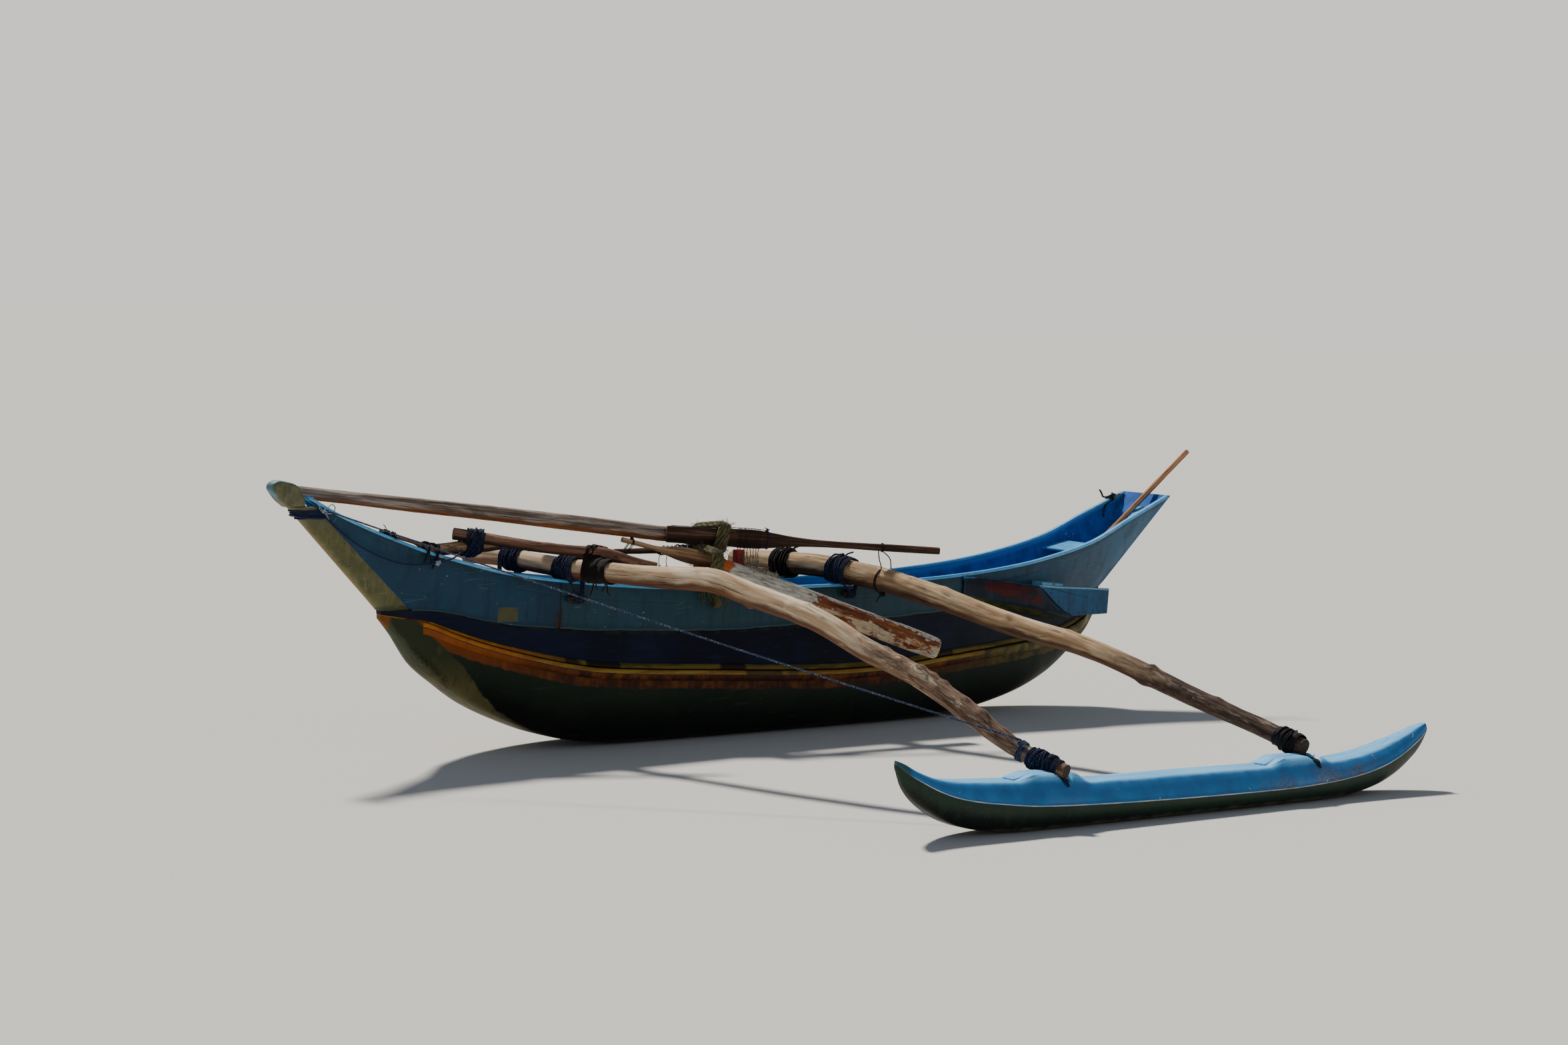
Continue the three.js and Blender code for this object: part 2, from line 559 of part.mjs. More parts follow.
// Saddles moulded on the float's deck: boom, stretch of deck, top z
const SADDLES = [
  ['float_saddle_front', FRONT_BOOM, 1010, 590, 247, [2752, 2906]],
  ['float_saddle_rear', REAR_BOOM, -560, -985, 216, [2790, 2908]],
];
for (const [name, boom, x0, x1, top, wrap] of SADDLES) {
  const xs = [0, 0.18, 0.4, 0.6, 0.82, 1].map((t) => lerp(x0, x1, t));
  const h = [8, top - deckTop(x0) - 4, null, null, top - deckTop(x1) - 4, 8];
  const rings = xs.map((x, i) => {
    const c = floatY(x), z0 = deckTop(x) + GAP + 0.3, z1 = h[i] === null ? top : deckTop(x) + Math.max(h[i], 8);
    return [[x, c - 32, z0], [x, c + 32, z0], [x, c + 30, z1 - 6], [x, c + 20, z1], [x, c - 20, z1], [x, c - 30, z1 - 6]];
  });
  add(name, cut(loft(rings, yz), room(boom, 0.6),
    bar(thicker(stretch(boom, 1, wrap[0] - 2, wrap[1] + 2), 9.6))), 0x3f9ad6, 0.45);
}

// ----------------------------------------------------------------- lashings
// Turns of rope round a boom: name, boom, y from, y to, thickness, colour
function sleeve(boom, y0, y1, t) {
  return cut(bar(thicker(stretch(boom, 1, y0, y1), t)), bar(boom, POLE_SIDES, 2, 0.35));
}
// Slot that lets the gunwale pass under a boom
function gunwaleSlot(side, x) {
  const [, gw, gz] = gun(x);
  const a = gw - RIM_IN - 2, b = gw + RIM_OUT + 2;
  return side > 0 ? box(x - 200, x + 200, a, b, gz - 300, gz + 4) : box(x - 200, x + 200, -b, -a, gz - 300, gz + 4);
}
const gunwaleX = { front: [1440, 1356], rear: [-350, -418] };
add('front_boom_lashing_far', cut(sleeve(FRONT_BOOM, -214, -96, LASH), gunwaleSlot(-1, gunwaleX.front[0])), 0x1f2f5c, 0.95);
add('front_boom_lashing_near', cut(sleeve(FRONT_BOOM, 96, 236, LASH), gunwaleSlot(1, gunwaleX.front[1])), 0x1f2f5c, 0.95);
add('rear_boom_lashing_far', cut(sleeve(REAR_BOOM, -236, -118, LASH), gunwaleSlot(-1, gunwaleX.rear[0])), 0x2c2520, 0.95);
add('rear_boom_lashing_near', cut(sleeve(REAR_BOOM, 96, 258, LASH), gunwaleSlot(1, gunwaleX.rear[1])), 0x1f2f5c, 0.95);

// Dark wrap binding the brace pole to the front boom: an oval turn round both
{
  const a = stretch(FRONT_BOOM, 1, 318, 420);
  const lifted = a.map((r) => [r[0] - 24, r[1], r[2] + 22, r[3] + 40, r[3] + 38]);
  add('brace_wrap', cut(bar(lifted, 14), bar(FRONT_BOOM, POLE_SIDES, 2, 0.35), bar(BRACE_POLE, POLE_SIDES, 2, 0.35)),
    0x1a1517, 0.95);
}
// Float lashings: turns round the boom
for (const [name, boom, y0, y1, t, color] of [
  ['float_lashing_front', FRONT_BOOM, 2752, 2906, 9, 0x1d2a52],
  ['float_lashing_rear', REAR_BOOM, 2790, 2908, 9, 0x17171c],
]) add(name, sleeve(boom, y0, y1, t), color, 0.95);

// Toggle pegs hanging against the port side, with the rope tails that hold them
// columns: name, x from, x to, y, z of the peg, z of the tail's top, peg radius
const PEGS = [
  ['toggle_front', 1390, 1282, 212, 742, 826, 14],
  ['toggle_rear', -388, -474, 233, 708, 744, 14],
  ['toggle_mid', 496, 442, 223, 694, 752, 16],
];
for (const [name, x0, x1, y, z, zt, r] of PEGS) {
  const xm = (x0 + x1) / 2;
  add(name, join(bar([[x0, y, z, r], [x1, y, z, r]], 8),
    bar([[xm, y, z, 9, 13], [xm, y + 1, zt, 9, 13]], 8, 3)), 0x2a2320, 0.9);
}

// ------------------------------------------------------ poles, oar and boards
add('bow_branch', bar(BOW_BRANCH), 0xa98d68, 0.9);
add('brace_pole', bar(BRACE_POLE), 0x5a4338, 0.9);
add('mast_pole', bar(MAST_POLE, 12), 0x8a6a4c, 0.85);
add('tied_stick', bar(TIED_STICK, 8), 0x3a2a24, 0.9);
add('stern_pole', bar(STERN_POLE, 8), 0xa8744e, 0.85);
add('oar', bar(OAR, 12, 3), 0x5c4436, 0.85);
add('paddle', bar(PADDLE, 12, 3), 0x9b7a5c, 0.85);
add('steering_board', bar(STEERING_BOARD, 12, 5), 0xa8683c, 0.8);
add('red_post', box(238, 286, 120, 160, 722 + GAP, 950), 0x8f2b22, 0.8);

// Coir turns: an oval bundle of rope round two pieces.
// columns: name, pieces it grips, x from, x to, centre y, centre z, half-height, half-width
const COIR = [
  ['coir_lashing_oar', [MAST_POLE, OAR, TIED_STICK], 346, 398, 22, 1008, 72, 120],
  ['coir_lashing_paddle', [PADDLE, STEERING_BOARD], 446, 494, 162, 887, 79, 82],
];
const SHAPE = new Map([[MAST_POLE, [12, 2]], [OAR, [12, 3]], [PADDLE, [12, 3]], [STEERING_BOARD, [12, 5]], [TIED_STICK, [8, 2]]]);
for (const [name, held, x0, x1, y, z, a, b] of COIR) {
  const bundle = bar([[x0, y, z, a - 8, b - 8], [x0 + 10, y, z, a, b], [x1 - 10, y, z, a, b], [x1, y, z, a - 8, b - 8]], 18, 3);
  add(name, cut(bundle, ...held.map((rows) => room(rows, 0.5, ...SHAPE.get(rows)))), 0x6d6348, 1.0);
}

// ---------------------------------------------------------------- bow ropes
const STAY = [[2676, 50, 1183, 4], [2100, 700, 983, 4], [1440, 1480, 746, 4], [800, 2710, 358, 4]];
{
  const rows = [];
  const a = STAY[0], b = STAY[3];
  for (let i = 0; i <= 4; i++) {
    const t = i / 4;
    rows.push([lerp(a[0], b[0], t), lerp(a[1], b[1], t), lerp(a[2], b[2], t) - 14 * 4 * t * (1 - t), 4]);
  }
  add('bow_stay', bar(rows, 6), 0x2a3a6a, 0.9);
}
// Slack line from the band, hanging outside the port bow, back in to the branch
const SLACK = [
  [2680, 48, 1166], [2672, 54, 1148], [2613, 72, 1093], [2522, 97, 1022], [2417, 118, 969], [2312, 136, 936], [2201, 148, 927],
  [2120, 156, 936], [2040, 158, 952], [2000, 146, 966], [1960, 112, 976], [1924, 70, 984],
];
{
  const curve = new THREE.CatmullRomCurve3(SLACK.map((q) => new THREE.Vector3(...q)), false, 'centripetal');
  const rows = curve.getSpacedPoints(44).map((q) => [q.x, q.y, q.z, 4.5]);
  add('bow_slack_line', bar(rows, 8), 0x1f2a55, 0.9);
}

export default group;
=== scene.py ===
import math

import bmesh
import bpy
import numpy as np
from mathutils import Matrix, Vector
from mathutils.bvhtree import BVHTree


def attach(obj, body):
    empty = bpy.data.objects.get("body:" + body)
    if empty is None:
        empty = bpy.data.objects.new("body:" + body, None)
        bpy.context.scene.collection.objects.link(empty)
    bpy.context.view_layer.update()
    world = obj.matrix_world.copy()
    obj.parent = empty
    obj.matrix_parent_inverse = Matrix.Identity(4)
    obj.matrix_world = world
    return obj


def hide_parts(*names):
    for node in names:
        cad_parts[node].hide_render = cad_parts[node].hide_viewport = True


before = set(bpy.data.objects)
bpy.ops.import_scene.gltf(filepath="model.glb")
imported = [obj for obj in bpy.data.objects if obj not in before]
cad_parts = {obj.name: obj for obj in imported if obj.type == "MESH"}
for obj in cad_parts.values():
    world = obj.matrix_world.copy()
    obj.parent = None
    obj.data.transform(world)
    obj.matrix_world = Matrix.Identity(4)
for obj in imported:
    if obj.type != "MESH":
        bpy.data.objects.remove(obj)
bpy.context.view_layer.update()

SCENE = bpy.context.scene


# ------------------------------------------------------------------ camera
def make_camera():
    cam = bpy.data.objects.new("camera", bpy.data.cameras.new("camera"))
    SCENE.collection.objects.link(cam)
    cam.data.sensor_width = 36.0
    cam.data.lens = 4518.556 / 2352 * 36.0
    cam.data.clip_start, cam.data.clip_end = 0.1, 400.0
    right = Vector((-0.75264659, 0.65729008, 0.03863759))
    up = Vector((-0.01909918, -0.08045186, 0.9965755))
    back = Vector((0.65814765, 0.7493312, 0.07310553))
    m = Matrix.Identity(4)
    for i in range(3):
        m[i][0], m[i][1], m[i][2] = right[i], up[i], back[i]
    m[0][3], m[1][3], m[2][3] = 10.162867, 11.754410, 2.214639
    cam.matrix_world = m
    SCENE.camera = cam


make_camera()

# ------------------------------------------------------------------- tables
# The construction's own numbers, in millimetres, used here in metres.
MM = 0.001
RIM_H, RIM_OUT, RIM_IN, PLANK, SKIN = 0.015, 0.005, 0.024, 0.010, 0.011
# x, keel z, keel half-width, rail half-width, rail z, seam half-width, seam z
HULL = [
    [2336, 662, 10, 16, 682, 22, 702], [2262, 582, 14, 40, 668, 46, 703], [2140, 432, 22, 84, 651, 74, 701],
    [1990, 325, 35, 128, 594, 108, 684], [1840, 231, 48, 165, 543, 143, 651], [1650, 146, 66, 200, 492, 175, 620],
    [1420, 66, 82, 229, 440, 190, 598], [1200, 20, 92, 245, 406, 200, 581], [900, 0, 100, 261, 384, 207, 565],
    [400, 0, 106, 270, 357, 211, 551], [0, 0, 108, 272, 335, 213, 553], [-400, 0, 108, 271, 322, 216, 560],
    [-800, 0, 104, 268, 328, 220, 570], [-1120, 0, 98, 262, 352, 222, 588], [-1320, 10, 92, 255, 366, 219, 597],
    [-1500, 36, 84, 245, 379, 210, 605], [-1800, 95, 66, 221, 401, 190, 619], [-2050, 182, 50, 187, 431, 156, 634],
    [-2270, 316, 36, 142, 482, 120, 648], [-2400, 422, 28, 112, 536, 100, 656], [-2480, 540, 24, 84, 600, 80, 662],
    [-2506, 612, 22, 66, 640, 73, 664],
]
# x, half-width, z of the gunwale's top
GUNWALE = [
    [2780, 30, 1256], [2755, 35, 1246], [2620, 57, 1174], [2500, 75, 1120], [2300, 108, 1041], [2140, 130, 986],
    [2000, 145, 948], [1700, 175, 877], [1400, 189, 836], [900, 197, 792], [500, 201, 772], [0, 205, 760],
    [-400, 210, 761], [-900, 217, 770], [-1300, 221, 790], [-1700, 221, 827], [-2000, 215, 874], [-2300, 208, 942],
    [-2600, 195, 1058], [-2950, 177, 1190],
]
# topside stations: x on the seam, x on the gunwale
STATIONS = [
    [2187, 2755], [2140, 2630], [2080, 2520], [1990, 2350], [1900, 2200], [1840, 2100], [1650, 1820], [1540, 1620],
    [1420, 1420], [1200, 1200], [900, 900], [650, 650], [400, 400], [0, 0], [-400, -400], [-800, -800],
    [-1120, -1120], [-1320, -1320], [-1500, -1540], [-1650, -1730], [-1800, -1920], [-1930, -2090], [-2050, -2250],
    [-2160, -2400], [-2270, -2560], [-2400, -2740], [-2495, -2936],
]
# float: x, keel z, keel half-width, flange z, flange half-width, deck z, deck half-width
FLOAT = [
    [1645, 306, 5, 324, 9, 342, 5], [1605, 226, 8, 290, 26, 326, 12], [1540, 160, 14, 250, 46, 292, 22],
    [1460, 108, 22, 208, 66, 262, 34], [1373, 66, 30, 176, 86, 244, 45], [1260, 32, 38, 152, 104, 234, 54],
    [1120, 10, 44, 134, 119, 226, 62], [950, 0, 50, 116, 130, 215, 68], [620, 0, 52, 101, 135, 193, 72],
    [200, 0, 52, 90, 136, 187, 72], [-250, 0, 52, 83, 136, 183, 72], [-600, 0, 52, 81, 135, 178, 72],
    [-900, 0, 50, 90, 131, 175, 70], [-1120, 8, 44, 108, 123, 184, 64], [-1300, 34, 36, 136, 109, 207, 56],
    [-1440, 74, 28, 172, 90, 238, 46], [-1560, 130, 20, 214, 68, 270, 35], [-1650, 188, 13, 250, 46, 296, 23],
    [-1710, 250, 7, 282, 24, 308, 12],
]
# poles: x, y, z, radius
FRONT_BOOM = [
    [1506, -479, 909, 48], [1463, -285, 912, 49], [1411, -51, 899, 49], [1352, 215, 889, 49], [1302, 440, 890, 50],
    [1258, 635, 892, 52], [1195, 921, 902, 56], [1174, 1017, 904, 57], [1122, 1252, 857, 56], [1057, 1541, 800, 55],
    [1015, 1730, 736, 53], [974, 1916, 658, 51], [933, 2099, 602, 51], [893, 2280, 527, 50], [854, 2459, 437, 48],
    [814, 2636, 341, 41], [787, 2758, 291, 36], [747, 2937, 246, 32],
]
REAR_BOOM = [
    [-295, -554, 824, 55], [-321, -396, 830, 58], [-360, -150, 838, 60], [-404, 123, 838, 61], [-430, 282, 820, 62],
    [-455, 435, 806, 62], [-480, 594, 782, 61], [-521, 849, 737, 59], [-567, 1129, 676, 57], [-617, 1441, 626, 54],
    [-649, 1643, 597, 53], [-682, 1843, 552, 51], [-713, 2039, 496, 50], [-747, 2249, 430, 48], [-784, 2476, 366, 46],
    [-820, 2702, 305, 44], [-857, 2935, 239, 43],
]
BOW_BRANCH = [
    [2372, 46, 1083, 9], [2240, 60, 1040, 11], [2160, 66, 1012, 14], [2125, 66, 994, 24], [2040, 52, 985, 30],
    [1880, 2, 988, 31], [1740, -38, 990, 33], [1606, -74, 994, 33],
]
BRACE_POLE = [
    [1925, -4, 1055, 29], [1860, 28, 1046, 28], [1700, 108, 1019, 27], [1520, 200, 993, 27], [1350, 284, 977, 29],
    [1257, 330, 963, 35], [1170, 378, 942, 27], [1040, 450, 922, 12],
]
MAST_POLE = [
    [2782, -84, 1259, 31], [2300, -72, 1209, 33], [1800, -62, 1156, 36], [1300, -54, 1101, 38], [900, -47, 1056, 39],
    [630, -42, 1025, 39], [200, -37, 978, 40],
]
TIED_STICK = [[905, -60, 938, 14], [600, -62, 936, 16], [262, -62, 930, 15]]
STERN_POLE = [[-3228, 58, 1432, 15], [-2762, 46, 1084, 16], [-2300, 34, 739, 16], [-1500, 10, 141, 15]]
# oar, paddle, board: x, y, z, half-height, half-thickness
OAR = [
    [634, 14, 1026, 43, 11], [330, 129, 1011, 46, 12], [150, 201, 1001, 45, 14], [60, 238, 996, 33, 17],
    [-60, 285, 989, 22, 18], [-455, 441, 968, 19, 19], [-750, 558, 953, 19, 19],
]
PADDLE = [
    [905, -4, 1003, 13, 13], [800, 25, 977, 13, 13], [700, 52, 953, 16, 12], [620, 74, 936, 32, 9],
    [540, 96, 919, 40, 8], [425, 128, 896, 38, 8],
]
STEERING_BOARD = [
    [486, 196, 879, 54, 20], [200, 295, 778, 58, 22], [-300, 468, 597, 58, 22], [-640, 586, 474, 58, 22],
    [-724, 614, 444, 54, 20],
]
HEAD_Z = 1196
HEAD = [
    [2862, HEAD_Z], [2902, 1226], [2930, 1257], [2947, 1282], [2943, 1302], [2914, 1319], [2865, 1313], [2819, 1300],
    [2794, 1280], [2788, 1264], [2768, 1240], [2766, HEAD_Z + 14], [2762, HEAD_Z],
]
FAIRING = [
    [-1262, 228, 234, 776, 238, 730, 234, 668, 640], [-1400, 226, 262, 762, 272, 714, 262, 646, 612],
    [-1560, 226, 296, 740, 306, 692, 290, 622, 586], [-1700, 226, 318, 722, 327, 670, 308, 600, 566],
    [-1754, 226, 328, 715, 329, 662, 312, 590, 556], [-1820, 222, 328, 665, 328, 628, 313, 574, 544],
    [-1889, 218, 328, 610, 328, 590, 314, 558, 532], [-1962, 214, 328, 564, 328, 556, 314, 542, 522],
    [-2020, 210, 326, 543, 326, 538, 314, 530, 514],
]
STAY = [[2676, 50, 1183], [800, 2710, 358]]
SLACK = [
    [2680, 48, 1166], [2672, 54, 1148], [2613, 72, 1093], [2522, 97, 1022], [2417, 118, 969], [2312, 136, 936],
    [2201, 148, 927], [2120, 156, 936], [2040, 158, 952], [2000, 146, 966], [1960, 112, 976], [1924, 70, 984],
]


def table(rows):
    return np.array(rows, float) * MM


# ------------------------------------------------------------ small maths
def hashed(i, j, k, seed):
    n = (i * 374761393 + j * 668265263 + k * 1440662683 + seed * 974634777) & 0xFFFFFFFF
    n = ((n ^ (n >> 13)) * 1274126177) & 0xFFFFFFFF
    return ((n ^ (n >> 16)) & 0xFFFF) / 32767.5 - 1.0


def vnoise(p, seed=0):
    """Smooth noise from -1 to 1 at points p (..., 3)."""
    f = np.floor(p)
    t = p - f
    t = t * t * (3 - 2 * t)
    i = f.astype(np.int64)
    out = 0.0
    for a in (0, 1):
        wa = t[..., 0] if a else 1 - t[..., 0]
        for b in (0, 1):
            wb = t[..., 1] if b else 1 - t[..., 1]
            for c in (0, 1):
                wc = t[..., 2] if c else 1 - t[..., 2]
                out = out + wa * wb * wc * hashed(i[..., 0] + a, i[..., 1] + b, i[..., 2] + c, seed)
    return out


def fbm(p, octaves=4, seed=0):
    total, amp, norm = 0.0, 1.0, 0.0
    for o in range(octaves):
        total = total + amp * vnoise(p * 2.0**o, seed + 17 * o)
        norm += amp
        amp *= 0.5
    return total / norm


def pchip(x, y, q):
    """Shape-keeping cubic through rows y at rising x, read at q."""
    x, y, q = np.asarray(x, float), np.asarray(y, float), np.asarray(q, float)
    h = np.diff(x)
    d = np.diff(y, axis=0) / h[:, None]
    m = np.zeros_like(y)
    m[0], m[-1] = d[0], d[-1]
    for i in range(1, len(x) - 1):
        w1, w2 = 2 * h[i] + h[i - 1], h[i] + 2 * h[i - 1]
        same = d[i - 1] * d[i] > 0
        a, b = np.where(same, d[i - 1], 1.0), np.where(same, d[i], 1.0)
        m[i] = np.where(same, (w1 + w2) / (w1 / a + w2 / b), 0.0)
    k = np.clip(np.searchsorted(x, q) - 1, 0, len(x) - 2)
    t = np.clip((q - x[k]) / h[k], 0, 1)[:, None]
    hk = h[k][:, None]
    return (
        (2 * t**3 - 3 * t**2 + 1) * y[k] + (t**3 - 2 * t**2 + t) * hk * m[k]
        + (-2 * t**3 + 3 * t**2) * y[k + 1] + (t**3 - t**2) * hk * m[k + 1]
    )


def at_x(rows, q):
    """Rows of a table whose first column is x, read at q; returns the other columns."""
    a = np.array(sorted(rows), float) * MM
    return pchip(a[:, 0], a[:, 1:], q)


def spline(rows, n):
    """n evenly spaced rows of a smooth curve through the given rows (x, y, z, more...)."""
    a = np.array(rows, float)
    s = np.r_[0, np.cumsum(np.linalg.norm(np.diff(a[:, :3], axis=0), axis=1))]
    if len(a) > 3:
        h = np.diff(s)
        k = len(s)
        A, r = np.zeros((k, k)), np.zeros((k, a.shape[1]))
        A[0, 0] = A[-1, -1] = 1
        for i in range(1, k - 1):
            A[i, i - 1], A[i, i], A[i, i + 1] = h[i - 1], 2 * (h[i - 1] + h[i]), h[i]
            r[i] = 6 * ((a[i + 1] - a[i]) / h[i] - (a[i] - a[i - 1]) / h[i - 1])
        M = np.linalg.solve(A, r)
        q = np.linspace(0, s[-1], n)
        j = np.clip(np.searchsorted(s, q) - 1, 0, k - 2)
        hj = h[j][:, None]
        u, v = (s[j + 1] - q)[:, None], (q - s[j])[:, None]
        return (
            M[j] * u**3 / (6 * hj) + M[j + 1] * v**3 / (6 * hj)
            + (a[j] / hj - M[j] * hj / 6) * u + (a[j + 1] / hj - M[j + 1] * hj / 6) * v
        )
    q = np.linspace(0, s[-1], n)
    return np.stack([np.interp(q, s, a[:, c]) for c in range(a.shape[1])], axis=1)


def centripetal(points, n):
    """n evenly spaced points of the centripetal curve through the points."""
    p = np.array(points, float)
    p = np.vstack([2 * p[0] - p[1], p, 2 * p[-1] - p[-2]])
    fine = []
    for i in range(1, len(p) - 2):
        q = p[i - 1:i + 3]
        t = np.r_[0, np.cumsum(np.sqrt(np.linalg.norm(np.diff(q, axis=0), axis=1)))]
        u = np.linspace(t[1], t[2], 41)[:, None]
        if i < len(p) - 3:
            u = u[:-1]
        a1 = (t[1] - u) / (t[1] - t[0]) * q[0] + (u - t[0]) / (t[1] - t[0]) * q[1]
        a2 = (t[2] - u) / (t[2] - t[1]) * q[1] + (u - t[1]) / (t[2] - t[1]) * q[2]
        a3 = (t[3] - u) / (t[3] - t[2]) * q[2] + (u - t[2]) / (t[3] - t[2]) * q[3]
        b1 = (t[2] - u) / (t[2] - t[0]) * a1 + (u - t[0]) / (t[2] - t[0]) * a2
        b2 = (t[3] - u) / (t[3] - t[1]) * a2 + (u - t[1]) / (t[3] - t[1]) * a3
        fine.append((t[2] - u) / (t[2] - t[1]) * b1 + (u - t[1]) / (t[2] - t[1]) * b2)
    return resample(np.vstack(fine), n)


def resample(p, n):
    s = np.r_[0, np.cumsum(np.linalg.norm(np.diff(p, axis=0), axis=1))]
    q = np.linspace(0, s[-1], n)
    return np.stack([np.interp(q, s, p[:, c]) for c in range(p.shape[1])], axis=1)


def length_of(p):
    return float(np.linalg.norm(np.diff(p[:, :3], axis=0), axis=1).sum())


def unit(v):
    return v / np.maximum(np.linalg.norm(v, axis=-1, keepdims=True), 1e-12)


# ------------------------------------------------------------- mesh making
ALL = []


def mesh(name, verts, faces, material, attrs=None, smooth=True, body="root", replaces=(), mats=None):
    """One named piece from vertices and faces, riding on its body."""
    verts = np.asarray(verts, float).reshape(-1, 3)
    me = bpy.data.meshes.new(name)
    me.from_pydata(verts.tolist(), [], [list(map(int, f)) for f in faces])
    for key, value in (attrs or {}).items():
        value = np.asarray(value, np.float32)
        if value.ndim == 1:
            at = me.attributes.new(key, "FLOAT", "POINT")
            at.data.foreach_set("value", value)
        else:
            at = me.attributes.new(key, "FLOAT_VECTOR", "POINT")
            at.data.foreach_set("vector", value.ravel())
    me.validate()
    for m in (mats or [material]):
        me.materials.append(m)
    me.polygons.foreach_set("use_smooth", [smooth] * len(me.polygons))
    me.update()
    o = bpy.data.objects.new(name, me)
    SCENE.collection.objects.link(o)
    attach(o, body)
    if replaces:
        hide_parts(*replaces)
    ALL.append(o)
    return o


def grid_faces(n, m, closed=True, flip=False, start=0):
    """Quads between n rings of m points."""
    i = np.arange(n - 1)[:, None] * m
    k = np.arange(m if closed else m - 1)[None, :]
    k2 = (k + 1) % m
    a, b, c, d = i + k, i + k2, i + m + k2, i + m + k
    q = np.stack([a, b, c, d] if not flip else [a, d, c, b], axis=-1).reshape(-1, 4) + start
    return q.tolist()


def up_frames(p):
    """Tangent, side and up along a path, up being as near +Z as it can."""
    t = np.zeros_like(p)
    d = unit(np.diff(p, axis=0))
    t[:-1] += d
    t[1:] += d
    t = unit(t)
    side = unit(np.cross(t, np.array([0, 0, 1.0])))
    return t, side, np.cross(side, t)


def carried_frames(p, first=None):
    """Tangent and two normals carried along a path with no twist."""
    t = np.zeros_like(p)
    d = unit(np.diff(p, axis=0))
    t[:-1] += d
    t[1:] += d
    t = unit(t)
    ref = np.array([0, 0, 1.0]) if abs(t[0][2]) < 0.9 else np.array([1.0, 0, 0])
    n = np.zeros_like(p)
    v = unit(np.cross(t[0], ref)) if first is None else unit(first - t[0] * np.dot(first, t[0]))
    for i in range(len(p)):
        v = v - t[i] * np.dot(v, t[i])
        v = v / max(np.linalg.norm(v), 1e-12)
        n[i] = v
    return t, n, np.cross(t, n)


def bar_mesh(path, half_up, half_side=None, sides=32, power=2.0, disp=None, cap=0.004, frames=None):
    """Vertices, faces and grain coordinates of a bar along a path, with sawn ends.
    disp(s, w, up, side) gives radial offsets in metres at length s and angle w."""
    n = len(path)
    half_up = np.broadcast_to(half_up, (n,)).astype(float)
    half_side = half_up if half_side is None else np.broadcast_to(half_side, (n,)).astype(float)
    t, side, up = up_frames(path) if frames is None else frames
    s = np.r_[0, np.cumsum(np.linalg.norm(np.diff(path, axis=0), axis=1))]
    w = (np.arange(sides) + 0.5) / sides * 2 * math.pi
    c, sn = np.cos(w), np.sin(w)
    cc = np.sign(c) * np.abs(c) ** (2 / power)
    ss = np.sign(sn) * np.abs(sn) ** (2 / power)
    off = np.zeros((n, sides)) if disp is None else disp(s[:, None] + 0 * w[None, :], w[None, :] + 0 * s[:, None])
    ru = half_up[:, None] * ss[None, :]
    rs = half_side[:, None] * cc[None, :]
    rad = np.sqrt(ru**2 + rs**2)
    k = (rad + off) / np.maximum(rad, 1e-9)
    ru, rs = ru * k, rs * k
    rings = path[:, None, :] + up[:, None, :] * ru[..., None] + side[:, None, :] * rs[..., None]
    grain = np.stack([np.broadcast_to(s[:, None], rs.shape), rs, ru], axis=-1)
    cut = np.zeros(rs.shape)
    out_r, out_g, out_c = [], [], []

    def end(i, sign):
        rr = []
        for q, along, flat in ((0.55, 0, 1.0), (0.90, 0, 1.0), (0.965, 0.35, 0.6)):
            base = path[i][None, :] + t[i][None, :] * sign * cap * (0 if q < 0.95 else -along)
            ring = base + up[i][None, :] * (ru[i] * q)[:, None] + side[i][None, :] * (rs[i] * q)[:, None]
            g = np.stack([np.full(sides, s[i]), rs[i] * q, ru[i] * q], axis=-1)
            rr.append((ring, g, np.full(sides, flat)))
        return rr

    head, tail = end(0, -1), end(n - 1, 1)
    rings = rings.copy()
    rings[0] += t[0] * cap
    rings[-1] -= t[-1] * cap
    seq = head + [(rings[i], grain[i], cut[i]) for i in range(n)] + tail[::-1]
    for r, g, q in seq:
        out_r.append(r)
        out_g.append(g)
        out_c.append(q)
    m = len(seq)
    verts = np.vstack(out_r + [path[:1], path[-1:]])
    g = np.vstack(out_g + [np.array([[s[0], 0, 0]]), np.array([[s[-1], 0, 0]])])
    q = np.concatenate(out_c + [np.array([1.0, 1.0])])
    faces = grid_faces(m, sides)
    a, b = m * sides, m * sides + 1
    faces += [[a, (k + 1) % sides, k] for k in range(sides)]
    faces += [[b, (m - 1) * sides + k, (m - 1) * sides + (k + 1) % sides] for k in range(sides)]
    return verts, faces, {"grain": g, "cut": q}


def bar_piece(name, path, half_up, half_side, material, slot, replaces=(), **kw):
    v, f, a = bar_mesh(path, half_up, half_side, **kw)
    return mesh(name, v, outward(v, f), material, a, replaces=replaces)


def outward(v, f):
    """The same faces, turned so that they face out."""
    v = np.asarray(v)
    q = np.array([[g[0], g[k], g[k + 1]] for g in f for k in range(1, len(g) - 1)])
    vol = (v[q[:, 0]] * np.cross(v[q[:, 1]], v[q[:, 2]])).sum()
    return [list(reversed(g)) for g in f] if vol < 0 else f


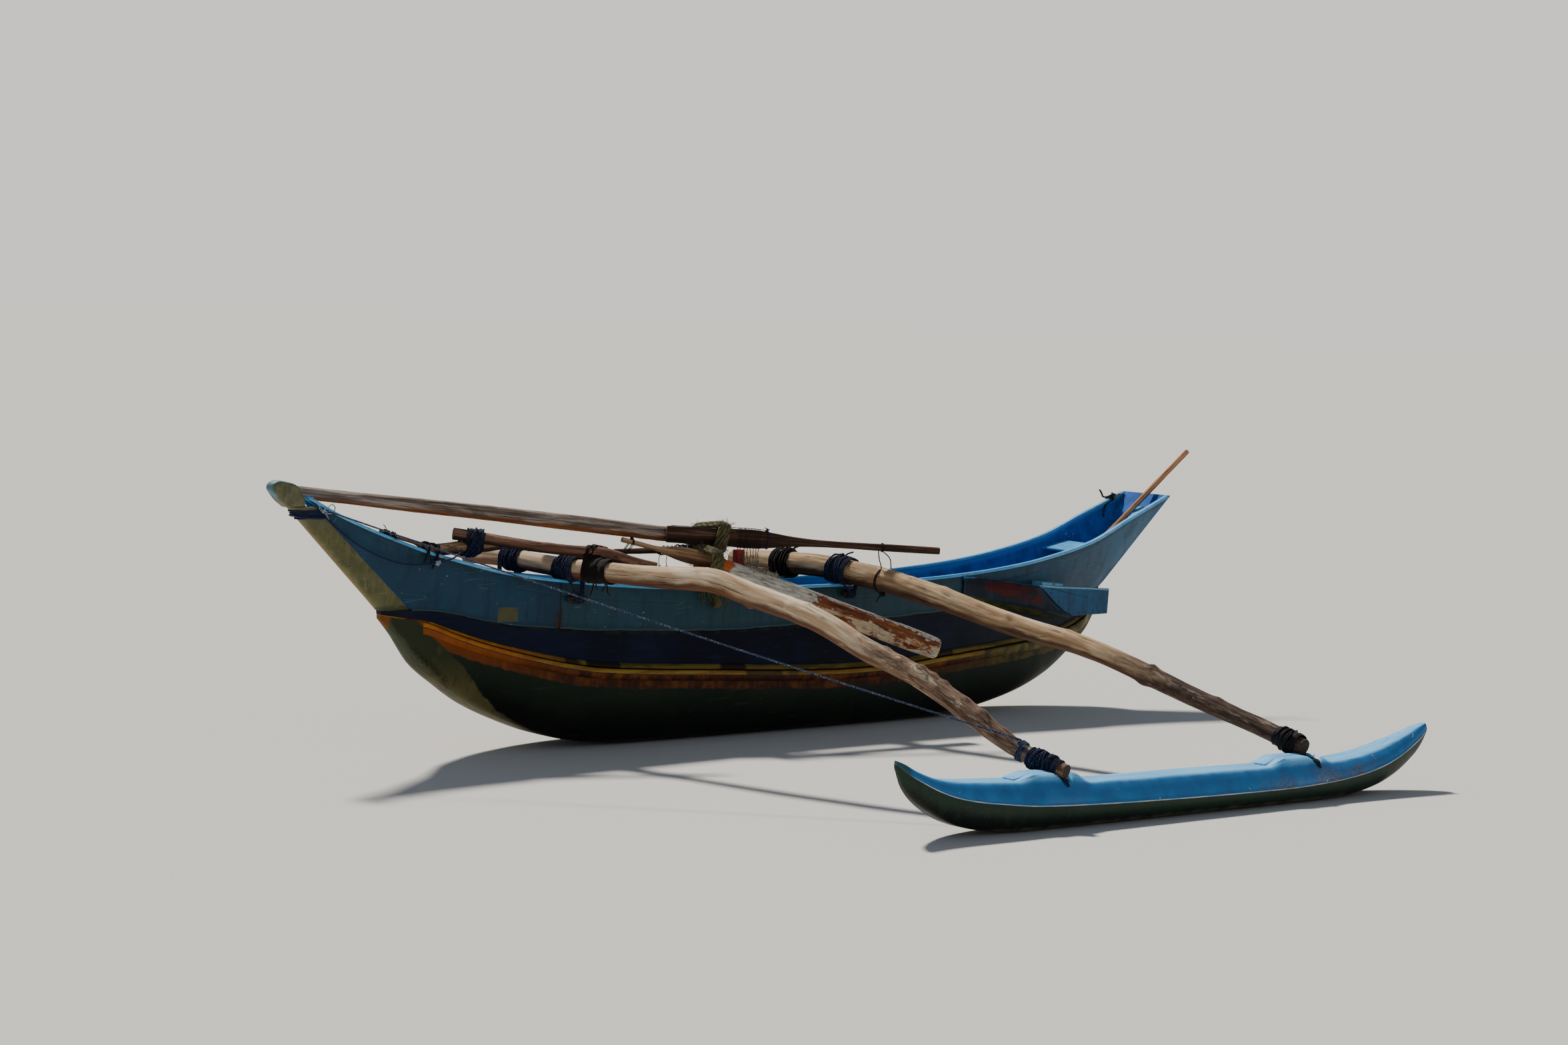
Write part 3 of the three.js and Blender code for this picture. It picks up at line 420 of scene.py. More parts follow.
def rope_mesh(path, r, pitch=None, strands=3, sides=12, lobe=0.17, turn=0.0):
    """Twisted rope of radius r along a path: a lobed section that turns as it goes."""
    t, n, b = carried_frames(path)
    s = np.r_[0, np.cumsum(np.linalg.norm(np.diff(path, axis=0), axis=1))]
    pitch = pitch or r * 7.0
    w = np.arange(sides) / sides * 2 * math.pi
    tw = 2 * math.pi * s / pitch + turn
    ww = w[None, :] + 0 * s[:, None]
    rr = r * (1 - lobe + lobe * np.abs(np.cos((ww - tw[:, None]) * strands / 2)))
    rr = np.broadcast_to(rr, (len(s), sides)).copy()
    rr[0] *= 0.55
    rr[-1] *= 0.55
    v = path[:, None, :] + n[:, None, :] * (rr * np.cos(ww))[..., None] + b[:, None, :] * (rr * np.sin(ww))[..., None]
    depth = (rr / r - (1 - lobe)) / max(lobe, 1e-6)
    g = np.stack([np.broadcast_to(s[:, None], rr.shape), rr * np.cos(ww - tw[:, None]), rr * np.sin(ww - tw[:, None])], -1)
    verts = np.vstack([v.reshape(-1, 3), path[:1], path[-1:]])
    faces = grid_faces(len(s), sides)
    a, z = len(s) * sides, len(s) * sides + 1
    faces += [[a, (k + 1) % sides, k] for k in range(sides)]
    faces += [[z, (len(s) - 1) * sides + k, (len(s) - 1) * sides + (k + 1) % sides] for k in range(sides)]
    grain = np.vstack([g.reshape(-1, 3), [[0, 0, 0]], [[s[-1], 0, 0]]])
    lobes = np.concatenate([depth.ravel(), [1, 1]])
    return verts, faces, {"grain": grain, "lobe": lobes}


def gather(parts):
    """Several (verts, faces, attrs) as one."""
    vs, fs, at, k = [], [], {}, 0
    for v, f, a in parts:
        vs.append(np.asarray(v))
        fs += [[int(i) + k for i in q] for q in f]
        for key, val in a.items():
            at.setdefault(key, []).append(np.asarray(val))
        k += len(v)
    return np.vstack(vs), fs, {key: np.concatenate(val) for key, val in at.items()}


# --------------------------------------------------------------- materials
def lin(code):
    out = []
    for i in (1, 3, 5):
        c = int(code[i:i + 2], 16) / 255
        out.append(c / 12.92 if c <= 0.04045 else ((c + 0.055) / 1.055) ** 2.4)
    return (*out, 1.0)


class Mat:
    """A node material built step by step. Colours are given as #rrggbb."""

    def __init__(self, name, roughness=0.6, metallic=0.0, specular=None, coat=None):
        self.m = bpy.data.materials.new(name)
        self.m.use_nodes = True
        self.t = self.m.node_tree
        self.b = self.t.nodes["Principled BSDF"]
        self.b.inputs["Roughness"].default_value = roughness
        self.b.inputs["Metallic"].default_value = metallic
        if specular is not None:
            self.b.inputs["Specular IOR Level"].default_value = specular
        if coat is not None:
            self.b.inputs["Coat Weight"].default_value = coat
            self.b.inputs["Coat Roughness"].default_value = 0.25
        self._obj = None

    def put(self, socket, value):
        if hasattr(value, "is_output"):
            self.t.links.new(value, socket)
        elif isinstance(value, str):
            socket.default_value = lin(value)
        elif isinstance(value, (tuple, list)) and len(value) == 3 and socket.type == "RGBA":
            socket.default_value = (*value, 1.0)
        else:
            socket.default_value = value

    def pos(self):
        if self._obj is None:
            self._obj = self.t.nodes.new("ShaderNodeTexCoord").outputs["Object"]
        return self._obj

    def attr(self, name, kind="Fac"):
        n = self.t.nodes.new("ShaderNodeAttribute")
        n.attribute_name = name
        return n.outputs[kind]

    def scaled(self, vec, scale, offset=(0, 0, 0), rotate=(0, 0, 0)):
        n = self.t.nodes.new("ShaderNodeMapping")
        self.put(n.inputs["Vector"], vec)
        n.inputs["Scale"].default_value = scale if isinstance(scale, (tuple, list)) else (scale,) * 3
        n.inputs["Location"].default_value = offset
        n.inputs["Rotation"].default_value = rotate
        return n.outputs["Vector"]

    def noise(self, vec, scale=5.0, detail=4.0, rough=0.55, warp=0.0):
        n = self.t.nodes.new("ShaderNodeTexNoise")
        self.put(n.inputs["Vector"], vec)
        n.inputs["Scale"].default_value = scale
        n.inputs["Detail"].default_value = detail
        n.inputs["Roughness"].default_value = rough
        n.inputs["Distortion"].default_value = warp
        return n.outputs["Fac"]

    def voronoi(self, vec, scale=5.0, feature="F1", out="Distance", rand=1.0):
        n = self.t.nodes.new("ShaderNodeTexVoronoi")
        n.feature = feature
        self.put(n.inputs["Vector"], vec)
        n.inputs["Scale"].default_value = scale
        n.inputs["Randomness"].default_value = rand
        return n.outputs[out]

    def math(self, op, a, b=0.0, clamp=False):
        n = self.t.nodes.new("ShaderNodeMath")
        n.operation = op
        n.use_clamp = clamp
        self.put(n.inputs[0], a)
        self.put(n.inputs[1], b)
        return n.outputs[0]

    def step(self, value, lo, hi):
        """0 below lo, 1 above hi, smooth between; hi under lo turns it round."""
        n = self.t.nodes.new("ShaderNodeMapRange")
        n.interpolation_type = "SMOOTHSTEP"
        self.put(n.inputs["Value"], value)
        flip = hi < lo
        n.inputs["From Min"].default_value = hi if flip else lo
        n.inputs["From Max"].default_value = lo if flip else hi
        n.inputs["To Min"].default_value = 1.0 if flip else 0.0
        n.inputs["To Max"].default_value = 0.0 if flip else 1.0
        return n.outputs["Result"]

    def split(self, vec):
        n = self.t.nodes.new("ShaderNodeSeparateXYZ")
        self.put(n.inputs[0], vec)
        return n.outputs["X"], n.outputs["Y"], n.outputs["Z"]

    def mix(self, fac, a, b, blend="MIX"):
        n = self.t.nodes.new("ShaderNodeMix")
        n.data_type = "RGBA"
        n.blend_type = blend
        self.put(n.inputs["Factor"], fac)
        self.put(n.inputs[6], a)
        self.put(n.inputs[7], b)
        return n.outputs[2]

    def mixf(self, fac, a, b):
        n = self.t.nodes.new("ShaderNodeMix")
        n.data_type = "FLOAT"
        self.put(n.inputs["Factor"], fac)
        self.put(n.inputs[2], a)
        self.put(n.inputs[3], b)
        return n.outputs[0]

    def ramp(self, fac, stops):
        n = self.t.nodes.new("ShaderNodeValToRGB")
        self.put(n.inputs["Fac"], fac)
        e = n.color_ramp.elements
        while len(e) < len(stops):
            e.new(0.5)
        for i, (p, col) in enumerate(stops):
            e[i].position = p
            e[i].color = lin(col)
        return n.outputs["Color"]

    def normal(self):
        n = self.t.nodes.new("ShaderNodeNewGeometry")
        return n.outputs["Normal"]

    def bump(self, height, strength=0.4, distance=0.004, after=None):
        n = self.t.nodes.new("ShaderNodeBump")
        n.inputs["Strength"].default_value = strength
        n.inputs["Distance"].default_value = distance
        self.put(n.inputs["Height"], height)
        if after is not None:
            self.put(n.inputs["Normal"], after)
        return n.outputs["Normal"]

    def done(self, colour, rough=None, bump=None):
        self.put(self.b.inputs["Base Color"], colour)
        if rough is not None:
            self.put(self.b.inputs["Roughness"], rough)
        if bump is not None:
            self.put(self.b.inputs["Normal"], bump)
        return self.m

    def radius(self, vec):
        """Distance from the grain's centreline."""
        _, y, z = self.split(vec)
        return self.math("SQRT", self.math("ADD", self.math("MULTIPLY", y, y), self.math("MULTIPLY", z, z)))


def wood(name, stops, crack="#1c130e", under=None, under_at=(0.1, -0.5), thick=0.05, streak=42.0, rough=0.82,
         bark=None, bark_at=None, depth=0.0035, patchy=0.5, patch_colour="#6b4a36", end=(0.45, "#3a2a20")):
    """Weathered wood whose grain follows the piece. under tints the underside as painted shade, bark the far end; end
    darkens the sawn faces, partly as painted shade.
    """
    m = Mat(name, rough, specular=0.25)
    g = m.attr("grain", "Vector")
    warp = m.noise(m.scaled(g, (6, 22, 22)), 1.0, 3)
    long1 = m.noise(m.scaled(g, (2.4, streak, streak)), 1.0, 6, 0.62, 0.6)
    long2 = m.noise(m.scaled(g, (9, 240, 240)), 1.0, 5, 0.6, 0.3)
    patch = m.noise(m.scaled(g, (3.2, 11, 11), (3.1, 1.7, 0.3)), 1.0, 4, 0.6, 0.8)
    f = m.math("ADD", m.math("MULTIPLY", long1, 0.75), m.math("MULTIPLY", long2, 0.25))
    col = m.ramp(m.step(f, 0.30, 0.70), stops)
    col = m.mix(m.math("MULTIPLY", m.step(patch, 0.50, 0.68), patchy), col, patch_colour)
    # painted shade: the underside tinted towards the under colours
    if under:
        _, _, z = m.split(g)
        k = m.step(m.math("ADD", m.math("DIVIDE", z, thick), m.math("MULTIPLY", m.math("SUBTRACT", warp, 0.5), 0.9)), *under_at)
        col = m.mix(k, col, m.mix(m.step(long1, 0.4, 0.62), under[0], under[1]))
    lines = m.voronoi(m.scaled(g, (1.5, streak * 1.3, streak * 1.3)), 1.0, "DISTANCE_TO_EDGE")
    crk = m.math("MULTIPLY", m.step(lines, 0.035, 0.0), m.step(m.noise(m.scaled(g, (4, 16, 16)), 1.0, 2), 0.46, 0.60))
    col = m.mix(m.math("MULTIPLY", crk, 0.85), col, crack)
    h = m.math("SUBTRACT", m.math("ADD", m.math("MULTIPLY", long1, 0.55), m.math("MULTIPLY", long2, 0.35)), m.math("MULTIPLY", crk, 0.9))
    if bark:
        x, _, _ = m.split(g)
        edge = m.math("ADD", x, m.math("MULTIPLY", m.math("SUBTRACT", m.noise(m.scaled(g, (7, 26, 26)), 1.0, 5, 0.65), 0.5), bark_at[2]))
        k = m.step(edge, bark_at[0], bark_at[1])
        scale = m.voronoi(m.scaled(g, (5, 46, 46)), 1.0, "DISTANCE_TO_EDGE")
        skin = m.mix(m.step(m.noise(m.scaled(g, (7, 34, 34)), 1.0, 6, 0.72), 0.33, 0.66), bark[0], bark[1])
        skin = m.mix(mul(m, m.step(m.noise(m.scaled(g, (5, 20, 20), (7, 0, 0)), 1.0, 5, 0.7), 0.56, 0.64), 0.8), skin, bark[2])
        skin = m.mix(mul(m, m.step(scale, 0.10, 0.0), 0.6), skin, crack)
        col = m.mix(k, col, skin)
        h = m.math("ADD", h, m.math("MULTIPLY", k, m.math("ADD", 0.25, m.math("MULTIPLY", m.step(scale, 0.0, 0.25), 0.5))))
    cut = m.attr("cut")
    rings = m.math("SINE", m.math("ADD", m.math("MULTIPLY", m.radius(g), 1500.0), m.math("MULTIPLY", warp, 7.0)))
    face = m.mix(m.step(rings, -0.4, 0.8), stops[0][1], stops[-1][1])
    # the sawn faces darkened towards the end colour: darker end grain, and on the booms painted shade as well
    face = m.mix(end[0], face, end[1])
    col = m.mix(m.step(cut, 0.5, 0.9), col, face)
    return m.done(col, m.mixf(long1, rough - 0.08, min(rough + 0.12, 1.0)), m.bump(h, 0.75, depth))


def rope_mat(name, dark, light, fleck=None, fleck_at=(0.60, 0.72), rough=0.9):
    """Twisted rope: painted highlight on the strands' crowns, painted shade in the grooves, with fine fibres."""
    m = Mat(name, rough, specular=0.2)
    m.b.inputs["Sheen Weight"].default_value = 0.06
    g = m.attr("grain", "Vector")
    lobe = m.attr("lobe")
    fib = m.noise(m.scaled(g, (420, 900, 900)), 1.0, 3, 0.6)
    tone = m.noise(m.pos(), 22.0, 3)
    col = m.mix(m.step(m.math("ADD", m.math("MULTIPLY", lobe, 0.6), m.math("MULTIPLY", fib, 0.5)), 0.25, 0.95), dark, light)
    # light flecks on the fibres are painted glints
    if fleck:
        k = m.step(m.noise(m.scaled(g, (160, 500, 500)), 1.0, 2), *fleck_at)
        col = m.mix(k, col, fleck)
    col = m.mix(m.math("MULTIPLY", m.step(tone, 0.5, 0.72), 0.45), col, dark)
    return m.done(col, None, m.bump(m.math("ADD", m.math("MULTIPLY", fib, 0.5), lobe), 0.6, 0.0012))


# ------------------------------------------------------------------- cords
BLUE_ROPE = rope_mat("rope_navy", "#070b18", "#1d2c58")
slack_points = centripetal(table(SLACK), 45)
fine = resample(centripetal(table(SLACK), 600), 520)
v, f, a = rope_mesh(fine, 0.0045, 0.026, 3, 12, 0.12)
slack = mesh("bow_slack_line_rope", v, outward(v, f), BLUE_ROPE, a, replaces=["bow_slack_line"])
[tuple(p) for p in resample(fine, 130)]

# ----------------------------------------------------------- floor and light
HORIZON, OVERHEAD = (0.955, 0.925, 0.885), (0.17, 0.20, 0.25)


def make_stage():
    s = 190.0
    me = bpy.data.meshes.new("floor")
    me.from_pydata([(-s, -s, 0), (s, -s, 0), (s, s, 0), (-s, s, 0)], [], [(0, 1, 2, 3)])
    o = bpy.data.objects.new("floor", me)
    SCENE.collection.objects.link(o)
    m = Mat("floor_pale", 0.95, specular=0.0)
    me.materials.append(m.done("#d2cfc9"))
    # a studio surround: pale at the horizon, dimmer and a little bluer overhead
    w = bpy.data.worlds.new("studio")
    SCENE.world = w
    w.use_nodes = True
    t = w.node_tree
    co = t.nodes.new("ShaderNodeTexCoord")
    xyz = t.nodes.new("ShaderNodeSeparateXYZ")
    t.links.new(co.outputs["Generated"], xyz.inputs[0])
    fade = t.nodes.new("ShaderNodeMapRange")
    fade.interpolation_type = "SMOOTHSTEP"
    t.links.new(xyz.outputs["Z"], fade.inputs["Value"])
    fade.inputs["From Min"].default_value, fade.inputs["From Max"].default_value = 0.105, 0.17
    ramp = t.nodes.new("ShaderNodeMix")
    ramp.data_type = "RGBA"
    t.links.new(fade.outputs["Result"], ramp.inputs["Factor"])
    ramp.inputs[6].default_value = (*HORIZON, 1)
    ramp.inputs[7].default_value = (*OVERHEAD, 1)
    t.links.new(ramp.outputs[2], t.nodes["Background"].inputs["Color"])
    t.nodes["Background"].inputs["Strength"].default_value = 1.0

    def sun(name, come_from, energy, angle, colour):
        d = bpy.data.lights.new(name, "SUN")
        d.energy, d.color, d.angle = energy, colour, math.radians(angle)
        ob = bpy.data.objects.new(name, d)
        SCENE.collection.objects.link(ob)
        ob.rotation_mode = "QUATERNION"
        ob.rotation_quaternion = (-Vector(come_from)).to_track_quat("-Z", "Y")
    sun("key", (-0.06, -0.60, 0.80), 5.2, 6.0, (1.0, 0.955, 0.88))
    sun("fill", (0.72, 0.62, 0.34), 0.06, 45.0, (0.95, 0.97, 1.0))


make_stage()


# -------------------------------------------------------------- hull shapes
def hull_rows(q):
    return at_x(HULL, q)       # kz, kw, rw, rz, sw, sz


GAP, RAIL_H, RAIL_OUT, TRANSOM_T = 0.0004, 0.058, 0.020, 0.016
JOINTS = (1.420, -1.320)       # where the bow and stern topsides meet the middle one
BEAD = np.array([0, 2, 4, 7, 10, 13, 16, 19, 22, 25, 28, 31, 36, 46, 60, 80, 105, 135, 165]) * MM
FOREFOOT = [                   # x, z of the line where the khaki forefoot paint ends
    [2186, 690], [2086, 572], [2026, 521], [1936, 435], [1816, 285], [1726, 211], [1636, 160], [1516, 103],
    [1380, 58], [1300, 20],
]


def hull_outline(q, steps=20):
    """Half outline of the outer skin at stations q: y, z, and where the paint's bands are."""
    kz, kw, rw, rz, sw, sz = hull_rows(q).T
    foot = rz - np.minimum(RAIL_H, (rz - kz) * 0.45)
    fw = rw + (kw - rw) * 0.03
    ys, zs, above = [], [], []
    for k in (0.0, 0.5, 0.85, 1.0):
        ys.append(kw * k)
        zs.append(kz + (0.004 * k**4))
        above.append(kz - foot - RAIL_H)
    for i in range(1, steps + 1):
        w = i / steps * math.pi / 2
        z = kz + (foot - kz) * (1 - math.cos(w) ** 1.05)
        ys.append(kw + (fw - kw) * math.sin(w) ** 0.86)
        zs.append(z + 0.004 * (1 - i / steps) ** 3)
        above.append(z - foot - RAIL_H)
    for k in (0.33, 0.66):
        ys.append(fw + (rw - fw) * k)
        zs.append(foot + (rz - foot) * k)
        above.append(-(1 - k) * RAIL_H + 0 * kw)
    my, mz = rw + (sw - rw) * 0.55, rz + (sz - rz) * 0.5
    span = np.hypot(sw - rw, sz - rz)
    top = np.clip(span / 0.19, 0.05, 1.0)
    for d in [*BEAD, None]:
        t = np.ones_like(kw) if d is None else np.clip(d * top / np.maximum(span, 1e-6), 0, 1)
        y = rw * (1 - t) ** 2 + sw * t**2 + 2 * t * (1 - t) * (2 * my - (rw + sw) / 2)
        z = rz * (1 - t) ** 2 + sz * t**2 + 2 * t * (1 - t) * (2 * mz - (rz + sz) / 2)
        dist = t * span / top
        bead = 0.0085 * top * np.exp(-np.abs((dist - 0.0155) / 0.0125) ** 5)
        ys.append(y + bead)
        zs.append(z)
        above.append(dist)
    return np.stack(ys, 1), np.stack(zs, 1), np.stack(above, 1), span / top


def signed_to(line, x, z):
    """Distance in the side view from a polyline, positive on its bow side."""
    a = np.array(line, float) * MM
    p = np.stack([x.ravel(), z.ravel()], 1)
    best, sign = np.full(len(p), 1e9), np.ones(len(p))
    for s, e in zip(a[:-1], a[1:]):
        d = e - s
        t = np.clip(((p - s) @ d) / (d @ d), 0, 1)
        v = p - (s + t[:, None] * d)
        r = np.hypot(v[:, 0], v[:, 1])
        side = np.where(d[0] * (p[:, 1] - s[1]) - d[1] * (p[:, 0] - s[0]) > 0, 1.0, -1.0)
        sign = np.where(r < best, side, sign)
        best = np.minimum(best, r)
    return (best * sign).reshape(x.shape)


def stern_distance(x, z):
    q = np.linspace(-2.506, -1.2, 160)
    line = np.stack([q, hull_rows(q)[:, 0]], 1)
    p = np.stack([x.ravel(), z.ravel()], 1)
    d = np.sqrt(((p[:, None, :] - line[None, :, :]) ** 2).sum(-1)).min(1)
    return np.where(x.ravel() < -1.0, d, 1.0).reshape(x.shape)


def make_lower_hull(material):
    q = np.unique(np.round(np.r_[
        np.linspace(2.336, 2.15, 16), np.linspace(2.13, -2.43, 216), np.linspace(-2.45, -2.506, 8)], 5))[::-1]
    y, z, above, span = hull_outline(q)
    n, m = y.shape
    x = np.broadcast_to(q[:, None], y.shape)
    wob = fbm(np.stack([x * 3.1, y * 5, z * 5], -1), 3, 5) * 0.0016
    y = np.where(y > 0.03, y + wob, y)
    left = span[:, None] - above
    fore = signed_to(FOREFOOT, x, z)
    aft = stern_distance(x, z)
    ring = lambda k: np.concatenate([k[:, ::-1], k[:, 1:]], 1)
    M = 2 * m - 1
    v = np.stack([ring(x), np.concatenate([-y[:, ::-1], y[:, 1:]], 1), ring(z)], -1).reshape(-1, 3)
    at = {"above": ring(above).ravel(), "left": ring(left).ravel(), "fore": ring(fore).ravel(),
          "aft": ring(aft).ravel(), "inside": np.zeros(n * M)}
    faces = grid_faces(n, M, closed=False)
    # inner skin
    has = (q < 2.14) & (q > -2.445)
    i0, i1 = int(np.argmax(has)), int(n - 1 - np.argmax(has[::-1]))
    keep = [0, 1, 3, 5, 7, 9, 11, 13, 15, 17, 19, 21, 23, 26, 34, 38, 41, m - 1]
    yk, zk = y[i0:i1 + 1][:, keep], z[i0:i1 + 1][:, keep]
    dy, dz = np.gradient(yk, axis=1), np.gradient(zk, axis=1)
    l = np.hypot(dy, dz) + 1e-9
    yi, zi = np.maximum(yk - dz / l * SKIN, 0.003), zk + dy / l * SKIN
    yi[:, 0] = 0.0
    zi[:, 0] = zi[:, 1]
    yi[:, -1], zi[:, -1] = yk[:, -1] - SKIN, zk[:, -1]
    nn, mm = yi.shape
    MM_ = 2 * mm - 1
    xi = np.broadcast_to(q[i0:i1 + 1][:, None], yi.shape)
    inner = np.stack([ring(xi), np.concatenate([-yi[:, ::-1], yi[:, 1:]], 1), ring(zi)], -1).reshape(-1, 3)
    b = len(v)
    v = np.vstack([v, inner])
    for key in at:
        at[key] = np.concatenate([at[key], np.ones(nn * MM_) if key == "inside" else np.full(nn * MM_, 0.3)])
    faces += grid_faces(nn, MM_, closed=False, flip=True, start=b)
    # bulkheads at the ends of the inner skin, and the top edges
    faces.append([b + k for k in range(MM_)][::-1])
    faces.append([b + (nn - 1) * MM_ + k for k in range(MM_)])
    for i in range(i0, i1):
        o, p, ii, jj = i * M, (i + 1) * M, b + (i - i0) * MM_, b + (i + 1 - i0) * MM_
        faces.append([o, p, jj, ii][::-1])
        faces.append([o + M - 1, ii + MM_ - 1, jj + MM_ - 1, p + M - 1][::-1])
    for i in [*range(0, i0 - 1), *range(i1 + 1, n - 1)]:
        faces.append([i * M, i * M + M - 1, (i + 1) * M + M - 1, (i + 1) * M])
    faces.append([(i0 - 1) * M, (i0 - 1) * M + M - 1, i0 * M + M - 1, b + MM_ - 1, b, i0 * M])
    e = b + (nn - 1) * MM_
    faces.append([i1 * M, e, e + MM_ - 1, i1 * M + M - 1, (i1 + 1) * M + M - 1, (i1 + 1) * M])
    faces.append([k for k in range(M)])
    faces.append([(n - 1) * M + k for k in range(M)][::-1])
    o = mesh("lower_hull_shell", v, faces, material, at, replaces=["lower_hull"])
    tidy(o)
    return o


def tidy(o, merge=0.0):
    """Consistent outward normals and sharp corners where panels meet."""
    bm = bmesh.new()
    bm.from_mesh(o.data)
    if merge:
        bmesh.ops.remove_doubles(bm, verts=bm.verts, dist=merge)
    bmesh.ops.recalc_face_normals(bm, faces=bm.faces)
    for e in bm.edges:
        if len(e.link_faces) == 2 and e.calc_face_angle(0) > math.radians(38):
            e.smooth = False
    bm.to_mesh(o.data)
    bm.free()


def closed_rings(rings, attrs=None, fill=True):
    """A closed solid from rings of points (n, m, 3)."""
    n, m, _ = rings.shape
    faces = grid_faces(n, m)
    if fill:
        faces.append([k for k in range(m)][::-1])
        faces.append([(n - 1) * m + k for k in range(m)])
    return rings.reshape(-1, 3), faces, {k: a.reshape(n * m, *a.shape[2:]) for k, a in (attrs or {}).items()}


def make_rails(material):
    q = np.linspace(2.140, -2.400, 190)
    kz, kw, rw, rz, sw, sz = hull_rows(q).T
    foot = rz - np.minimum(RAIL_H, (rz - kz) * 0.45)
    fw = rw + (kw - rw) * 0.03
    prof = [(0.0, 0.0), (0.03, 0.55), (0.10, 0.80), (0.20, 0.93), (0.32, 0.985), (0.5, 1.0), (0.66, 0.97), (0.8, 0.86),
            (0.90, 0.68), (0.97, 0.42), (1.0, 0.0)]
    ease = np.clip(np.minimum((2.14 - q) / 0.10, (q + 2.40) / 0.10), 0.12, 1)
    rings, down = [], []
    for t, k in prof:
        y = rw + (fw - rw) * t + 0.0007 + RAIL_OUT * k * ease
        z = (rz - 0.001) + (foot + 0.001 - rz + 0.001) * t
        wob = vnoise(np.stack([q * 5, q * 0 + t * 2, q * 0], -1), 8) * 0.0016 * k
        rings.append(np.stack([q, y + wob, z], -1))
        down.append(t * (rz - foot))
    r = np.stack(rings, 1)
    d = np.stack(down, 1)
    for side in ("port", "starboard"):
        rr = r.copy()
        if side == "starboard":
            rr[..., 1] *= -1
        v, f, a = closed_rings(rr, {"down": d})
        o = mesh(f"rub_rail_{side}_moulding", v, outward(v, f), material, a, replaces=[f"rub_rail_{side}"])
        tidy(o)


def strake_grid(s):
    """Plank's line on the seam and on the gunwale at station numbers s."""
    st = np.array(STATIONS, float) * MM
    k = np.arange(len(st))
    xs = pchip(k, st[:, :1], s)[:, 0]
    xg = pchip(k, st[:, 1:], s)[:, 0]
    h = hull_rows(xs)
    g = at_x(GUNWALE, xg)
    return xs, h[:, 4], h[:, 5] + GAP, xg, g[:, 0], g[:, 1] - RIM_H - GAP


def station_at(x):
    st = np.array(STATIONS, float)[:, 0] * MM
    return float(np.interp(-x, -st, np.arange(len(st))))


def make_strakes(materials):
    ends = [("bow_topside", station_at(2.187), station_at(JOINTS[0]), 80),
            ("mid_topside", station_at(JOINTS[0]), station_at(JOINTS[1]), 110),
            ("stern_topside", station_at(JOINTS[1]), station_at(-2.495), 80)]
    fr = np.array([0, .004, .012, .03, .07, .14, .22, .30, .38, .46, .54, .62, .69, .74, .78, .81, .84, .87, .91, .95, .985, 1.0])
    for name, a, b, n in ends:
        s = np.linspace(a, b, n)
        xs, sw, sz, xg, gw, gz = strake_grid(s)
        top = np.stack([xg, gw, gz], -1)
        low = np.stack([xs, sw, sz], -1)
        span = np.linalg.norm(top - low, axis=1)
        # rows, with two extra close rows either side of the moulded line 60 mm below the rim
        step = 1 - 0.060 / span
        rows = []
        for f in fr:
            rows.append(np.full(n, f))
        rows = np.stack(rows, 1)
        rows = np.sort(np.concatenate([rows, (step - 0.004 / span)[:, None], (step + 0.004 / span)[:, None]], 1), 1)
        p = low[:, None, :] + (top - low)[:, None, :] * rows[..., None]
        hgt = rows * span[:, None]
        drop = (1 - rows) * span[:, None]
        proud = 0.0022 * np.clip((0.064 - drop) / 0.008, 0, 1)
        bulge = np.sin(np.clip(rows, 0, 1) * math.pi) * 0.003
        lip = 0.0018 * np.clip(1 - hgt / 0.010, 0, 1)
        wob = fbm(np.stack([p[..., 0] * 2.4, p[..., 1] * 0, p[..., 2] * 3.0], -1), 3, 11) * 0.0022
        edge = np.sin(np.clip(rows, 0, 1) * math.pi)
        out = p.copy()
        out[..., 1] += proud + bulge + lip + wob * edge
        inn = p.copy()
        inn[..., 1] -= PLANK
        inn[..., 1] += (bulge + wob * edge) * 0.8
        cols = [-1, -3, -6, -9, -12, -15, -18, 0]
        ring = np.concatenate([out, inn[:, cols]], 1)
        m = out.shape[1]
        at = {"high": np.concatenate([hgt, hgt[:, cols]], 1), "drop": np.concatenate([drop, drop[:, cols]], 1),
              "inside": np.concatenate([np.zeros((n, m)), np.ones((n, len(cols)))], 1)}
        if a > 0:
            ring[0, :, 0] -= GAP
        for side in ("port", "starboard"):
            rr = ring.copy()
            if side == "starboard":
                rr[..., 1] *= -1
            v, f, at2 = closed_rings(rr, at)
            o = mesh(f"{name}_{side}_plank", v, outward(v, f), materials[name], at2,
                     replaces=[f"{name}_{side}"])
            tidy(o)


def make_gunwales(material):
    q = np.linspace(-2.936, 2.755, 210)
    g = at_x(GUNWALE, q)
    inw = np.minimum(RIM_IN, g[:, 0] - 0.006)
    mid = g[:, 0] + (RIM_OUT - inw) / 2
    half = (RIM_OUT + inw) / 2
    prof = [(-1.0, -0.5), (-1.0, 0.2), (-0.96, 0.62), (-0.82, 0.92), (-0.55, 1.0), (0, 1.02), (0.55, 1.0), (0.82, 0.92),
            (0.96, 0.62), (1.0, 0.2), (1.0, -0.5), (0.97, -0.86), (0.86, -1.0), (0.3, -1.0), (-0.3, -1.0), (-0.86, -1.0), (-0.97, -0.86)]
    zc = g[:, 1] - RIM_H / 2
    rings = []
    for a, b in prof:
        wob = vnoise(np.stack([q * 6, q * 0 + a, q * 0 + b], -1), 4) * 0.0008
        rings.append(np.stack([q, mid + half * a + wob, np.minimum(zc + RIM_H / 2 * b, g[:, 1] + 0.0002) + wob * 0.5], -1))
    r = np.stack(rings, 1)
    for side in ("port", "starboard"):
        rr = r.copy()
        if side == "starboard":
            rr[..., 1] *= -1
        v, f, a = closed_rings(rr)
        o = mesh(f"gunwale_{side}_rim", v, outward(v, f), material, a, replaces=[f"gunwale_{side}"])
        tidy(o)


